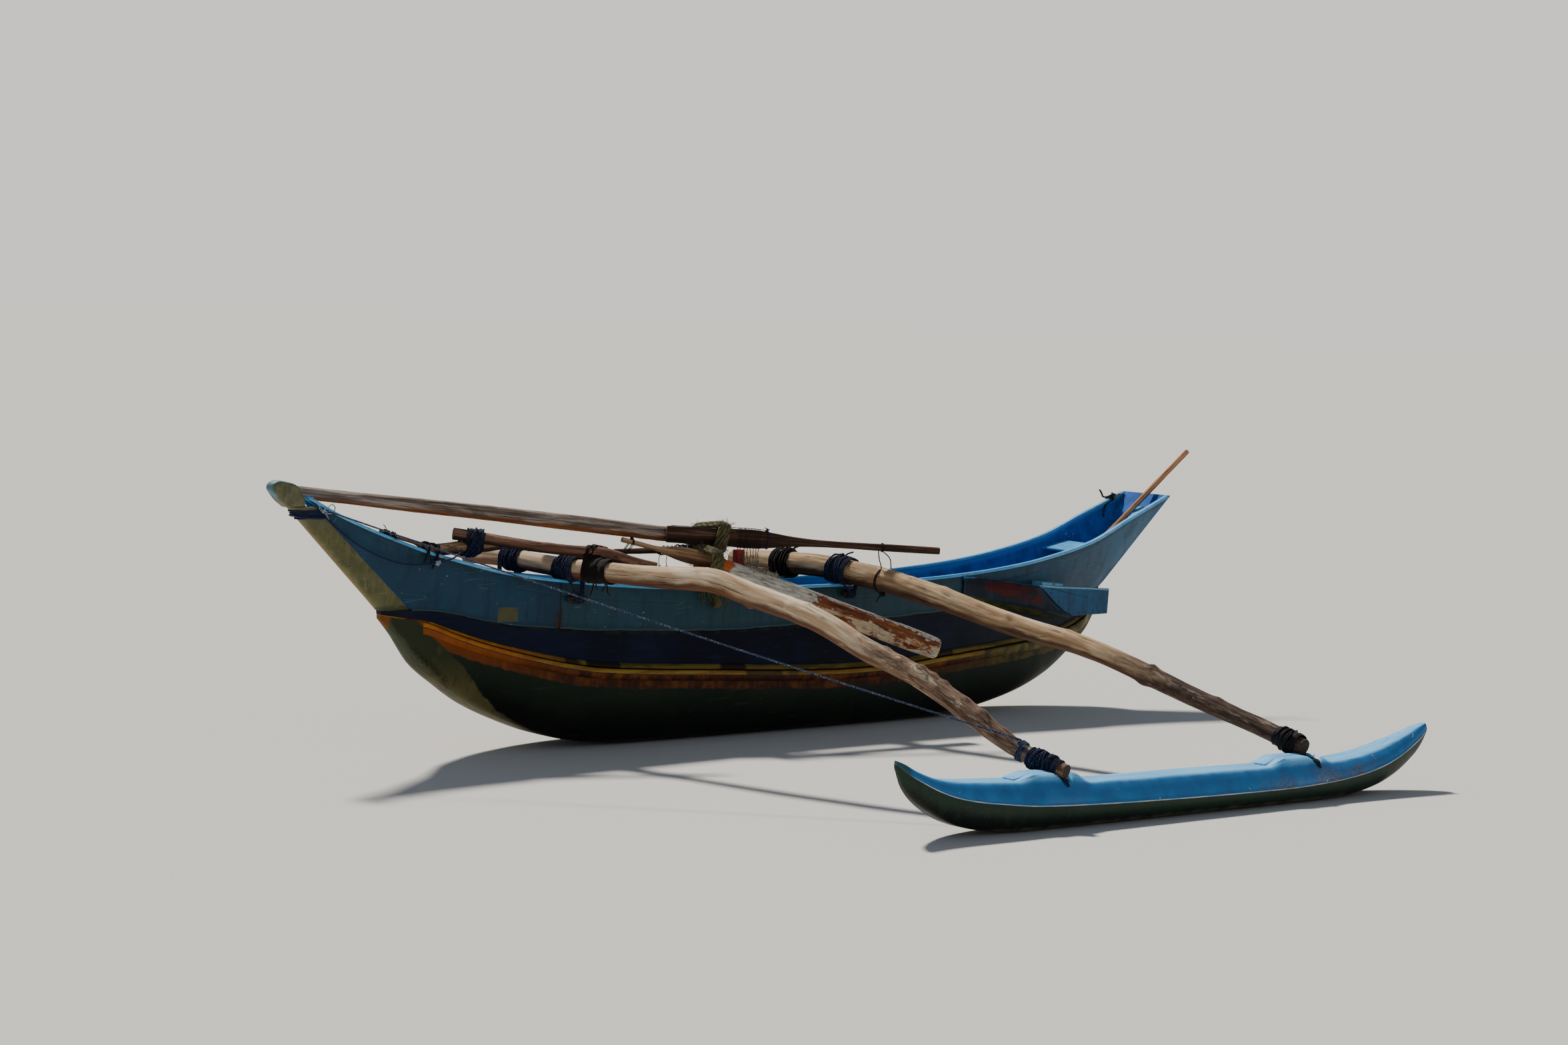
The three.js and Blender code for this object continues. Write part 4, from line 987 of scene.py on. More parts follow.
def make_transom(material):
    st = STATIONS[-1]
    sw, sz = hull_rows(np.array([st[0] * MM]))[0][4:6]
    gw, gz = at_x(GUNWALE, np.array([st[1] * MM]))[0]
    z0, z1 = sz + GAP, gz - RIM_H - GAP
    lo_x, hi_x = st[0] * MM, st[1] * MM
    rows, half = 15, []
    for i in range(rows):
        z = z0 + 0.001 + (gz - z0 - 0.001) * i / (rows - 1)
        t = (z - z0) / (z1 - z0)
        half.append([lo_x + (hi_x - lo_x) * t, sw + (gw - sw) * t - (0.004 if i == 0 else 0), z0 + (z1 - z0) * t])
    half = np.array(half)
    cols = np.array([-1, -0.985, -0.95, -0.7, -0.35, 0, 0.35, 0.7, 0.95, 0.985, 1])

    def sheet(d):
        p = np.zeros((rows, len(cols), 3))
        p[..., 0] = half[:, None, 0] - d
        p[..., 1] = half[:, None, 1] * cols
        p[..., 2] = half[:, None, 2]
        return p
    a, b = sheet(GAP + 0.0002), sheet(TRANSOM_T)
    b[..., 0] += 0.004 * (np.abs(cols) > 0.97)[None, :]
    ring = lambda p: np.concatenate([p[0, :], p[1:-1, -1], p[-1, ::-1], p[1:-1, 0][::-1]], 0)
    ra, rb = ring(a), ring(b)
    verts = np.vstack([a.reshape(-1, 3), b.reshape(-1, 3)])
    c = len(cols)
    faces = grid_faces(rows, c, closed=False) + grid_faces(rows, c, closed=False, flip=True, start=rows * c)
    idx = [*range(c), *[i * c + c - 1 for i in range(1, rows - 1)], *[(rows - 1) * c + k for k in range(c)][::-1],
           *[i * c for i in range(1, rows - 1)][::-1]]
    for k in range(len(idx)):
        p, q = idx[k], idx[(k + 1) % len(idx)]
        faces.append([p, p + rows * c, q + rows * c, q])
    o = mesh("transom_panel", verts, faces, material, {"high": np.full(len(verts), 0.3), "drop": np.full(len(verts), 0.3),
             "inside": np.r_[np.ones(rows * c), np.zeros(rows * c)]}, replaces=["transom"])
    tidy(o)


def stem_trail(z):
    return 2.187 + (z - 0.702) * (568 / 528.5) + 0.0015


def stem_lead(z):
    return 2.338 + (z - 0.695) * (501 / 492)


def stem_section(z, grow=0.0):
    """Outline of the stem at height z: (x, y) round from the trailing edge."""
    t = (z - 0.704) / (1.196 - 0.704)
    w0, w1 = 0.048 + (0.034 - 0.048) * t + grow, 0.034 + (0.030 - 0.034) * t + grow
    a, b = stem_trail(z) - grow, stem_lead(z) + grow
    us = [0, 0.2, 0.4, 0.6, 0.74, 0.82, 0.87, 0.91, 0.945, 0.972, 0.99, 1.0]
    half = []
    for u in us:
        if u <= 0.8:
            w = w0 + (w1 - w0) * u / 0.8
        else:
            k = (u - 0.8) / 0.2
            w = w1 * math.sqrt(max(1 - k**2.3, 0)) * (1 - 0.12 * k)
        half.append((a + (b - a) * u, max(w, 0.0)))
    return np.array(half[:-1] + [(half[-1][0], 0.0)] + [(x, -y) for x, y in half[:-1][::-1]])


def make_stem(material):
    zs = np.r_[0.704, 0.708, np.linspace(0.72, 1.1896, 40), HEAD_Z * MM - GAP]
    rings, edge = [], []
    for i, z in enumerate(zs):
        s = stem_section(z)
        p = np.column_stack([s, np.full(len(s), z)])
        wob = vnoise(np.stack([p[:, 0] * 9, p[:, 1] * 9, p[:, 2] * 9], -1), 3) * 0.0009
        p[:, 1] += np.sign(p[:, 1]) * wob
        rings.append(p)
        u = (p[:, 0] - stem_trail(z)) / (stem_lead(z) - stem_trail(z))
        edge.append(u)
    v, f, a = closed_rings(np.array(rings), {"across": np.array(edge)})
    o = mesh("stem_post_timber", v, outward(v, f), material, a, replaces=["stem_post"])
    tidy(o)


def make_head(material):
    pts = np.array(HEAD, float) * MM
    loop = np.array([pts[0], pts[0], *pts[1:-1], pts[-1], pts[-1]])
    path = centripetal(np.column_stack([pts, np.zeros(len(pts))]), 110)[:, :2]
    base = np.linspace(path[-1], path[0], 14)[1:-1]
    out = np.vstack([path, base])
    c = np.array([2.850, 1.250])
    ys = [-36, -35, -33, -30.5, -27.5, -24, -20, -14, -7, 0, 7, 14, 20, 24, 27.5, 30.5, 33, 35, 36]
    rings, rim = [], []
    for y in ys:
        k = {36: 0.78, 35: 0.865, 33: 0.915, 30.5: 0.945, 27.5: 0.968, 24: 0.986}.get(abs(y), 1.0)
        p = c + (out - c) * k * 0.992
        p[:, 1] = np.maximum(p[:, 1], HEAD_Z * MM)
        rings.append(np.column_stack([p[:, 0], np.full(len(p), y * MM), p[:, 1]]))
        rim.append(np.full(len(p), 1.0 if abs(y) < 26 else (0.6 if abs(y) < 31 else 0.0)))
    v, f, a = closed_rings(np.array(rings), {"rim": np.array(rim)})
    o = mesh("bow_head_carving", v, outward(v, f), material, a, replaces=["bow_head"])
    tidy(o)


def slab(name, outline, top, thick, material, replaces, bevel=0.003, attrs=None, cells=None):
    """A plate with eased edges: outline of (x, y), top(x, y) giving the upper surface's z."""
    o = np.array(outline, float)
    area = 0.5 * np.sum(o[:, 0] * np.roll(o[:, 1], -1) - o[:, 1] * np.roll(o[:, 0], -1))
    if area < 0:
        o = o[::-1]
    fine = []
    for i in range(len(o)):
        a, b = o[i], o[(i + 1) % len(o)]
        n = max(2, int(np.linalg.norm(b - a) / 0.02))
        for k in range(n):
            fine.append(a + (b - a) * k / n)
    o = np.array(fine)
    d = np.roll(o, -1, 0) - np.roll(o, 1, 0)
    nrm = unit(np.column_stack([d[:, 1], -d[:, 0]]))
    rings = []
    for inset, dz in ((2.2, -1), (0.9, -1), (0.25, -0.75), (0, -0.4), (0, 0.4), (0.25, 0.75), (0.9, 1), (2.2, 1)):
        p = o - nrm * inset * bevel
        z = top(o[:, 0], o[:, 1]) - thick / 2 + np.clip(dz, -1, 1) * (thick / 2 if abs(dz) == 1 else (thick / 2 - bevel * (1 - abs(dz)) * 2))
        rings.append(np.column_stack([p, z]))
    v, f, a = closed_rings(np.array(rings))
    ob = mesh(name, v, outward(v, f), material, a, replaces=replaces)
    tidy(ob)
    return ob


def inner_half(x, z, clear):
    """Half width inside the topsides at x and height z."""
    s = np.linspace(0, len(STATIONS) - 1, 400)
    xs, sw, sz, xg, gw, gz = strake_grid(s)
    k = (z - sz) / (gz - sz)
    xx = xs + (xg - xs) * k
    i = np.abs(xx - x).argmin()
    return float(sw[i] + (gw[i] - sw[i]) * k[i] - PLANK - clear)


# ------------------------------------------------------------------- paints
def near(m, value, centre, half, soft):
    """1 where value is within half of centre, fading over soft."""
    d = m.math("ABSOLUTE", m.math("SUBTRACT", value, centre))
    return m.step(d, half + soft, half)


def mul(m, *v):
    out = v[0]
    for w in v[1:]:
        out = m.math("MULTIPLY", out, w)
    return out


def plus(m, a, b, k=1.0):
    return m.math("ADD", a, b if k == 1.0 else m.math("MULTIPLY", b, k))


def hull_paint():
    m = Mat("hull_bottom_paint", 0.55, specular=0.14)
    p = m.pos()
    x, y, z = m.split(p)
    above, left, fore, aft = m.attr("above"), m.attr("left"), m.attr("fore"), m.attr("aft")
    inside = m.attr("inside")
    big = m.noise(p, 2.3, 4)
    mid = m.noise(p, 11.0, 5, 0.6)
    fine = m.noise(p, 70.0, 4, 0.6)
    long = m.noise(m.scaled(p, (5, 5, 40)), 1.0, 4, 0.6)
    runs = m.noise(m.scaled(p, (34, 34, 3)), 1.0, 4, 0.62)
    # bottom: dark green going to black towards the keel as painted shade, with scuffs and dull mud at the turn of the
    # bilge
    col = m.mix(m.step(plus(m, above, m.math("SUBTRACT", mid, 0.5), 0.10), -0.33, -0.12), "#0d0f0d", "#1a2a1d")
    col = m.mix(mul(m, m.step(big, 0.48, 0.66), 0.5), col, "#24301f")
    col = m.mix(mul(m, m.step(long, 0.60, 0.72), 0.55), col, "#39402f")
    col = m.mix(mul(m, m.step(fine, 0.62, 0.74), 0.35), col, "#4a4a3c")
    # keel rubbed to bare grey
    col = m.mix(mul(m, m.step(z, 0.035, 0.004), m.step(mid, 0.42, 0.6)), col, "#5d584b")
    # khaki forefoot with a painted highlight strip along the stem and a black smear
    edge = plus(m, fore, m.math("SUBTRACT", mid, 0.5), 0.035)
    khaki = m.mix(m.step(plus(m, z, m.math("SUBTRACT", big, 0.5), 0.2), 0.30, 0.52), "#656038", "#353d25")
    khaki = m.mix(mul(m, m.step(runs, 0.5, 0.66), 0.5), khaki, "#3c3d26")
    khaki = m.mix(mul(m, m.step(mid, 0.56, 0.70), m.step(z, 0.62, 0.45), 0.45), khaki, "#7b7548")
    khaki = m.mix(mul(m, near(m, plus(m, fore, m.math("SUBTRACT", mid, 0.5), 0.03), 0.120, 0.004, 0.016), m.step(z, 0.34, 0.46), 0.28), khaki, "#7a8468")
    khaki = m.mix(mul(m, m.step(plus(m, x, m.math("SUBTRACT", mid, 0.5), 0.05), 2.285, 2.305), 0.75), khaki, "#9a5a1c")
    smear = mul(m, near(m, plus(m, fore, m.math("SUBTRACT", mid, 0.5), 0.05), 0.100, 0.003, 0.020),
                m.step(z, 0.56, 0.46), m.step(z, 0.20, 0.30), m.step(fine, 0.36, 0.56), 0.6)
    khaki = m.mix(smear, khaki, "#15120d")
    col = m.mix(m.step(edge, -0.004, 0.006), col, khaki)
    # orange-brown paint running down below the rail, with scalloped ends
    low = plus(m, above, m.math("SUBTRACT", m.noise(m.scaled(p, (9, 1, 1)), 1.0, 4, 0.6), 0.5), 0.026)
    low = plus(m, low, m.math("SUBTRACT", runs, 0.5), 0.016)
    rust = m.ramp(m.step(plus(m, mul(m, mid, 0.8), runs, 0.35), 0.40, 0.80), [(0.0, "#2e1509"), (0.35, "#54270e"), (0.65, "#6f3c14"), (1.0, "#85531b")])
    rust = m.mix(mul(m, m.step(x, 1.35, 1.9), 0.65), rust, "#9a4f12")
    rust = m.mix(m.step(x, -0.9, -1.7), rust, m.mix(m.step(mid, 0.42, 0.62), "#6a5a22", "#3a3b22"))
    col = m.mix(mul(m, m.step(low, -0.102, -0.091), m.step(edge, 0.010, -0.002)), col, rust)
    # navy panel, worn
    navy = m.mix(m.step(big, 0.40, 0.62), "#0b1024", "#121a38")
    navy = m.mix(mul(m, m.step(long, 0.52, 0.70), 0.6), navy, "#1a2546")
    navy = m.mix(mul(m, m.step(fine, 0.66, 0.76), 0.4), navy, "#303a52")
    navy = m.mix(mul(m, m.step(x, -1.0, -1.7), 0.8), navy, "#1d2a34")
    panel = m.step(above, -0.002, 0.002)
    col = m.mix(panel, col, navy)
    # olive-yellow bead, broken by dark gaps, orange towards the bow
    bead = near(m, plus(m, above, m.math("SUBTRACT", runs, 0.5), 0.004), 0.0155, 0.0128, 0.0018)
    yel = m.mix(m.step(long, 0.42, 0.60), "#574a1a", "#7a6a28")
    yel = m.mix(m.step(x, 1.25, 1.85), yel, m.mix(m.step(mid, 0.42, 0.60), "#a8641a", "#c08026"))
    yel = m.mix(mul(m, m.step(fine, 0.60, 0.72), 0.5), yel, "#3b2c12")
    gaps = m.math("MAXIMUM", near(m, plus(m, x, m.math("SUBTRACT", mid, 0.5), 0.1), 1.195, 0.09, 0.02),
                  near(m, plus(m, x, m.math("SUBTRACT", mid, 0.5), 0.1), 0.383, 0.07, 0.02))
    gaps = m.math("MAXIMUM", gaps, mul(m, m.step(m.noise(m.scaled(p, (3, 1, 1), (5, 0, 0)), 1.0, 2), 0.60, 0.63), 0.9))
    yel = m.mix(mul(m, gaps, 0.92), yel, "#17100c")
    col = m.mix(bead, col, yel)
    groove = near(m, above, 0.0012, 0.0014, 0.001)
    col = m.mix(groove, col, "#0b0806")
    # black tar line and olive wash along the seam
    sm = plus(m, left, m.math("SUBTRACT", long, 0.5), 0.018)
    col = m.mix(mul(m, m.step(sm, 0.019, 0.012), 0.85), col, m.mix(m.step(mid, 0.45, 0.58), "#0d0f12", "#2a3020"))
    # stern: olive line up the counter
    st = plus(m, aft, m.math("SUBTRACT", mid, 0.5), 0.03)
    col = m.mix(m.step(st, 0.034, 0.026), col, m.mix(m.step(runs, 0.42, 0.60), "#77702f", "#4b4a28"))
    # painted shade: the whole outer colour darkened towards black; then the inside of the hull
    col = m.mix(0.40, col, "#020202")
    ins = m.mix(m.step(mid, 0.35, 0.65), "#1b5a86", "#2c78ad")
    ins = m.mix(m.step(plus(m, z, m.math("SUBTRACT", big, 0.5), 0.5), 0.30, 0.10), ins, "#3d4a45")
    ins = m.mix(mul(m, m.step(fine, 0.60, 0.72), 0.5), ins, "#86968f")
    col = m.mix(inside, col, ins)
    h = plus(m, plus(m, mul(m, fine, 0.4), mid, 0.6), runs, 0.35)
    return m.done(col, m.mixf(mid, 0.38, 0.68), m.bump(h, 0.35, 0.0025))


def rail_paint():
    m = Mat("rail_paint", 0.55, specular=0.18)
    p = m.pos()
    x, y, z = m.split(p)
    down = m.attr("down")
    mid = m.noise(p, 12.0, 5, 0.6)
    fine = m.noise(p, 80.0, 4, 0.6)
    runs = m.noise(m.scaled(p, (34, 34, 3)), 1.0, 4, 0.62)
    long = m.noise(m.scaled(p, (4, 40, 40)), 1.0, 5, 0.6)
    rust = m.ramp(m.step(plus(m, mul(m, mid, 0.8), runs, 0.35), 0.40, 0.80), [(0.0, "#2c1309"), (0.35, "#54240e"), (0.65, "#6f3912"), (1.0, "#875219")])
    rust = m.mix(mul(m, m.step(x, 1.30, 1.85), 0.7), rust, "#a05312")
    top = m.mix(m.step(long, 0.40, 0.60), "#8a6420", "#a8862f")
    top = m.mix(m.step(x, 1.35, 1.8), top, m.mix(m.step(mid, 0.42, 0.6), "#a65c18", "#bd7520"))
    lit = m.step(plus(m, down, m.math("SUBTRACT", long, 0.5), 0.012), 0.0245, 0.0215)
    col = m.mix(lit, rust, top)
    dark = near(m, down, 0.0255, 0.0012, 0.0016)
    col = m.mix(mul(m, dark, 0.7), col, "#24110a")
    worn = mul(m, m.step(m.noise(m.scaled(p, (2.2, 1, 1), (1.3, 0, 0)), 1.0, 3), 0.56, 0.60), m.step(x, 0.9, 0.3))
    col = m.mix(mul(m, worn, 0.75), col, "#2b1a10")
    col = m.mix(mul(m, m.step(fine, 0.62, 0.72), 0.45), col, "#2e1d12")
    stern = m.step(x, -1.2, -1.75)
    col = m.mix(stern, col, m.mix(m.step(mid, 0.40, 0.6), "#7a6c2a", "#474626"))
    col = m.mix(m.step(down, 0.0025, 0.0008), col, "#0d0906")
    # painted shade: the whole rail darkened towards black
    col = m.mix(0.26, col, "#040201")
    return m.done(col, m.mixf(mid, 0.38, 0.66), m.bump(plus(m, plus(m, fine, mid), runs, 0.5), 0.4, 0.002))


def topside(name, main, alt, deep, patch=False, joint=None, streaky=0.45):
    m = Mat(name, 0.55, specular=0.2)
    p = m.pos()
    x, y, z = m.split(p)
    high, drop, inside = m.attr("high"), m.attr("drop"), m.attr("inside")
    big = m.noise(p, 1.9, 4)
    mid = m.noise(p, 9.0, 5, 0.6)
    fine = m.noise(p, 75.0, 4, 0.62)
    runs = m.noise(m.scaled(p, (16, 16, 1.4)), 1.0, 5, 0.6)
    brush = m.noise(m.scaled(p, (3, 60, 60)), 1.0, 5, 0.6)
    col = m.mix(m.step(big, 0.38, 0.62), main, alt)
    col = m.mix(mul(m, m.step(runs, 0.46, 0.66), streaky), col, deep)
    col = m.mix(mul(m, m.step(brush, 0.50, 0.66), 0.35), col, alt)
    # dirt creeping up from the seam, a paler line along its wavy edge
    low = plus(m, high, m.math("SUBTRACT", mid, 0.5), 0.030)
    col = m.mix(mul(m, m.step(low, 0.045, 0.006), 0.55), col, deep)
    wave = plus(m, high, m.math("SUBTRACT", m.noise(m.scaled(p, (7, 1, 1)), 1.0, 4), 0.5), 0.020)
    col = m.mix(mul(m, near(m, wave, 0.0055, 0.002, 0.0025), 0.30), col, "#4f8ba2")
    col = m.mix(m.step(wave, 0.003, 0.0012), col, "#12161a")
    # shade under the moulded line, bright edge over it
    line = near(m, drop, 0.0655, 0.001, 0.0035)
    col = m.mix(mul(m, line, 0.5), col, deep)
    # grime runs below the rim
    rim = plus(m, drop, m.math("SUBTRACT", runs, 0.5), 0.25)
    col = m.mix(mul(m, m.step(rim, 0.05, -0.01), 0.5), col, "#1a2c30")
    # scuffs and chips down to the filler
    chips = m.voronoi(m.scaled(p, (22, 22, 34)), 1.0)
    chip = mul(m, m.step(chips, 0.16, 0.10), m.step(m.noise(p, 3.7, 3), 0.54, 0.62))
    col = m.mix(mul(m, chip, 0.8), col, m.mix(m.step(fine, 0.45, 0.55), "#93a7a6", "#20343a"))
    scr = m.voronoi(m.scaled(p, (2.3, 14, 40), (0.3, 0, 0.7), (0, 0.22, 0)), 1.0, "DISTANCE_TO_EDGE")
    scr = mul(m, m.step(scr, 0.012, 0.002), m.step(m.noise(p, 5.1, 3), 0.56, 0.64))
    col = m.mix(mul(m, scr, 0.6), col, "#7fa7b4")
    h = plus(m, plus(m, mul(m, fine, 0.35), brush, 0.5), mid, 0.4)
    h = m.math("SUBTRACT", h, mul(m, chip, 0.7))
    if joint is not None:
        xx = plus(m, x, m.math("SUBTRACT", m.noise(m.scaled(p, (5, 5, 14)), 1.0, 4, 0.6), 0.5), 0.030)
        stain = mul(m, near(m, xx, joint + 0.006, 0.007, 0.020), m.step(high, 0.135, 0.05), m.step(mid, 0.36, 0.54))
        col = m.mix(mul(m, stain, 0.85), col, m.mix(m.step(fine, 0.42, 0.6), "#24150e", "#4b2b17"))
        # a thin dark line at the joint: the real seam, darkened as painted shadow of the plank's end
        col = m.mix(mul(m, near(m, xx, joint, 0.0012, 0.0045), 0.85), col, "#120f0e")
    if patch:
        inx = near(m, plus(m, x, m.math("SUBTRACT", fine, 0.5), 0.006), 1.714, 0.053, 0.001)
        inz = near(m, plus(m, z, m.math("SUBTRACT", fine, 0.5), 0.006), 0.677, 0.034, 0.001)
        port = m.step(y, 0.0, 0.02)
        k = mul(m, inx, inz, port)
        col = m.mix(mul(m, k, 0.92), col, m.mix(m.step(mid, 0.40, 0.62), "#67623a", "#55573a"))
    # painted shade: the outside darkened towards black, more on the bow and middle planks
    col = m.mix(0.22 if joint is None else 0.36, col, "#020405")
    # inside: royal blue, paler within 5 cm of the rim, with darker runs and pale chips
    ins = m.mix(m.step(mid, 0.36, 0.64), "#164f9e", "#2268bd")
    ins = m.mix(mul(m, m.step(runs, 0.5, 0.7), 0.5), ins, "#123e7c")
    ins = m.mix(mul(m, m.step(drop, 0.05, 0.01), 0.6), ins, "#5aa9e0")
    ins = m.mix(mul(m, chip, 0.8), ins, "#a9bcc4")
    col = m.mix(inside, col, ins)
    return m.done(col, plus(m, m.mixf(mid, 0.36, 0.64), inside, 0.30), m.bump(h, 0.35, 0.002))


def plain_paint(name, main, alt, deep, bare=None, peel=0.0, scale=1.0, rough=0.5, grime="#2a2f2c", depth=0.0022, streak=(16, 16, 2)):
    """Worn brush paint: peel from 0 to 1 shows the bare ground below in ragged flakes."""
    m = Mat(name, rough, specular=0.3)
    p = m.pos()
    big = m.noise(p, 2.6 * scale, 4)
    mid = m.noise(p, 13.0 * scale, 5, 0.6)
    fine = m.noise(p, 90.0 * scale, 4, 0.62)
    runs = m.noise(m.scaled(p, tuple(s * scale for s in streak)), 1.0, 5, 0.6)
    col = m.mix(m.step(big, 0.36, 0.62), main, alt)
    col = m.mix(mul(m, m.step(runs, 0.46, 0.68), 0.45), col, deep)
    col = m.mix(mul(m, m.step(mid, 0.58, 0.72), 0.4), col, alt)
    h = plus(m, mul(m, fine, 0.35), mid, 0.5)
    if peel:
        flake = m.noise(p, 17.0 * scale, 7, 0.68, 0.8)
        lo = 0.70 - 0.35 * peel
        k = m.step(flake, lo, lo + 0.012)
        ground = m.mix(m.step(runs, 0.4, 0.6), bare, m.mix(m.step(fine, 0.4, 0.6), bare, grime))
        lip = near(m, flake, lo + 0.002, 0.004, 0.006)
        col = m.mix(mul(m, lip, 0.55), col, grime)
        col = m.mix(k, col, ground)
        h = m.math("SUBTRACT", h, mul(m, k, 1.2))
    dots = m.voronoi(p, 60.0 * scale)
    k2 = mul(m, m.step(dots, 0.20, 0.12), m.step(m.noise(p, 6.0 * scale, 3), 0.52, 0.62))
    col = m.mix(mul(m, k2, 0.7), col, grime)
    return m.done(col, m.mixf(mid, max(rough - 0.12, 0.1), min(rough + 0.16, 1.0)), m.bump(h, 0.4, depth))


HULL_PAINT = hull_paint()
make_lower_hull(HULL_PAINT)
make_rails(rail_paint())
BOW_BLUE = topside("topside_bow", "#153f58", "#1b4b66", "#0f2b3e", patch=True, joint=1.420)
MID_BLUE = topside("topside_mid", "#204c5a", "#224f64", "#14343f", joint=1.418)
STERN_BLUE = topside("topside_stern", "#2b536e", "#356585", "#1d3d54", streaky=0.6)
make_strakes({"bow_topside": BOW_BLUE, "mid_topside": MID_BLUE, "stern_topside": STERN_BLUE})
GUNWALE_BLUE = plain_paint("gunwale_paint", "#3f97d2", "#63b2e4", "#2a78ae", "#8fa6ae", 0.26, rough=0.38, streak=(5, 60, 60))
make_gunwales(GUNWALE_BLUE)
make_transom(STERN_BLUE)


def stem_paint():
    m = Mat("stem_paint", 0.55, specular=0.3)
    p = m.pos()
    x, y, z = m.split(p)
    across = m.attr("across")
    mid = m.noise(p, 13.0, 5, 0.6)
    fine = m.noise(p, 90.0, 4, 0.62)
    slant = m.noise(m.scaled(p, (40, 40, 5), (0, 0, 0), (0, 0.80, 0)), 1.0, 5, 0.6)
    col = m.mix(m.step(mid, 0.36, 0.64), "#555634", "#6b6b45")
    col = m.mix(mul(m, m.step(slant, 0.44, 0.64), 0.45), col, "#78764b")
    col = m.mix(mul(m, m.step(slant, 0.56, 0.44), m.step(mid, 0.52, 0.64), 0.5), col, "#3d3f27")
    col = m.mix(mul(m, m.step(across, 0.10, 0.0), 0.45), col, "#7d6c34")
    col = m.mix(mul(m, m.step(across, 0.93, 1.0), 0.6), col, "#8a6a35")
    frame_x = near(m, m.math("SUBTRACT", x, m.math("MULTIPLY", z, 0.30)), 2.135, 0.052, 0.002)
    frame_z = near(m, z, 0.868, 0.082, 0.002)
    inner_x = near(m, m.math("SUBTRACT", x, m.math("MULTIPLY", z, 0.30)), 2.135, 0.047, 0.002)
    inner_z = near(m, z, 0.868, 0.077, 0.002)
    frame_k = m.math("SUBTRACT", mul(m, frame_x, frame_z), mul(m, inner_x, inner_z))
    col = m.mix(mul(m, frame_k, m.step(y, 0.0, 0.01), m.step(mid, 0.40, 0.56), 0.35), col, "#8d8a62")
    scr = m.voronoi(m.scaled(p, (7, 7, 60), (0, 0, 0.2), (0, 0.35, 0)), 1.0, "DISTANCE_TO_EDGE")
    k = mul(m, m.step(scr, 0.015, 0.002), m.step(m.noise(p, 9.0, 3), 0.50, 0.60))
    col = m.mix(mul(m, k, 0.75), col, "#2c2a1c")
    col = m.mix(m.step(plus(m, z, m.math("SUBTRACT", mid, 0.5), 0.05), 0.735, 0.712), col, "#3b4226")
    col = m.mix(mul(m, m.step(fine, 0.62, 0.72), 0.5), col, "#3a3826")
    up = m.step(z, 1.05, 1.14)
    col = m.mix(mul(m, up, 0.4), col, "#6b6e4e")
    # painted shade: the whole stem darkened towards black
    col = m.mix(0.14, col, "#0a0b06")
    h = plus(m, plus(m, mul(m, fine, 0.4), slant, 0.6), k, -0.8)
    return m.done(col, m.mixf(mid, 0.42, 0.7), m.bump(h, 0.45, 0.0022))


def head_paint():
    m = Mat("head_paint", 0.5, specular=0.3)
    p = m.pos()
    x, y, z = m.split(p)
    rim = m.attr("rim")
    mid = m.noise(p, 22.0, 5, 0.6)
    fine = m.noise(p, 110.0, 4, 0.62)
    side = m.mix(m.step(mid, 0.38, 0.62), "#53553a", "#67674c")
    side = m.mix(mul(m, m.step(m.noise(m.scaled(p, (50, 50, 9)), 1.0, 4), 0.5, 0.66), 0.5), side, "#3f432c")
    crown = m.mix(m.step(mid, 0.40, 0.62), "#3e626c", "#5d828a")
    crown = m.mix(mul(m, m.step(fine, 0.60, 0.70), 0.5), crown, "#3c5560")
    k = m.step(plus(m, rim, m.math("SUBTRACT", mid, 0.5), 0.5), 0.42, 0.56)
    k = mul(m, k, m.step(z, 1.225, 1.25))
    col = m.mix(k, side, crown)
    col = m.mix(mul(m, m.step(fine, 0.63, 0.72), 0.55), col, "#2f3328")
    return m.done(col, m.mixf(mid, 0.38, 0.66), m.bump(plus(m, mul(m, fine, 0.5), mid, 0.6), 0.45, 0.0022))


STEM_PAINT = stem_paint()
make_stem(STEM_PAINT)
make_head(head_paint())


# --------------------------------------------------------- seats and boards
SEAT_PAINT = plain_paint("seat_paint", "#2f8cc8", "#4ca6dc", "#1f6fa6", "#8fa2a6", 0.24, rough=0.5, streak=(60, 4, 60))
for name, x0, x1, z0, z1, t in (("stern_seat", -2284, -2450, 874, 909, 14), ("mid_thwart", 350, 190, 722, 722, 22),
                                ("bow_thwart", 1960, 1800, 800, 812, 20)):
    wa, wb = inner_half(x0 * MM, (z0 - t) * MM, 0.0025), inner_half(x1 * MM, (z1 - t) * MM, 0.0025)
    slope = (z1 - z0) / (x1 - x0)
    slab(f"{name}_board", [(x0 * MM, -wa), (x0 * MM, wa), (x1 * MM, wb), (x1 * MM, -wb)],
         lambda x, y, x0=x0, z0=z0, slope=slope: (z0 + (x / MM - x0) * slope) * MM + fbm(np.stack([x * 9, y * 9, 0 * x], -1), 2, 4) * 0.0008,
         t * MM, SEAT_PAINT, [name], bevel=0.0035)
PLATE = [(-2600, 158), (-2650, 112), (-2712, 86), (-2758, 78), (-2812, 74), (-2822, 16), (-2862, 12), (-2862, 136)]


def plate_outline():
    o = np.array(PLATE, float) * MM
    fine = []
    for i in range(len(o)):
        a, b = o[i], o[(i + 1) % len(o)]
        n = max(2, int(np.linalg.norm(b - a) / 0.008))
        torn = i in (0, 1, 2, 3, 4)
        for k in range(n):
            q = a + (b - a) * k / n
            if torn and k:
                d = unit(np.array([b[1] - a[1], a[0] - b[0]]))
                q = q + d * (vnoise(np.array([q[0] * 90, q[1] * 90, 1.0]), 7) * 0.004)
            fine.append(q)
    return fine


slab("stern_plate_panel", plate_outline(), lambda x, y: (1010 + (-2570 - x / MM) * 0.35) * MM, 0.010, SEAT_PAINT,
     ["stern_plate"], bevel=0.0022)


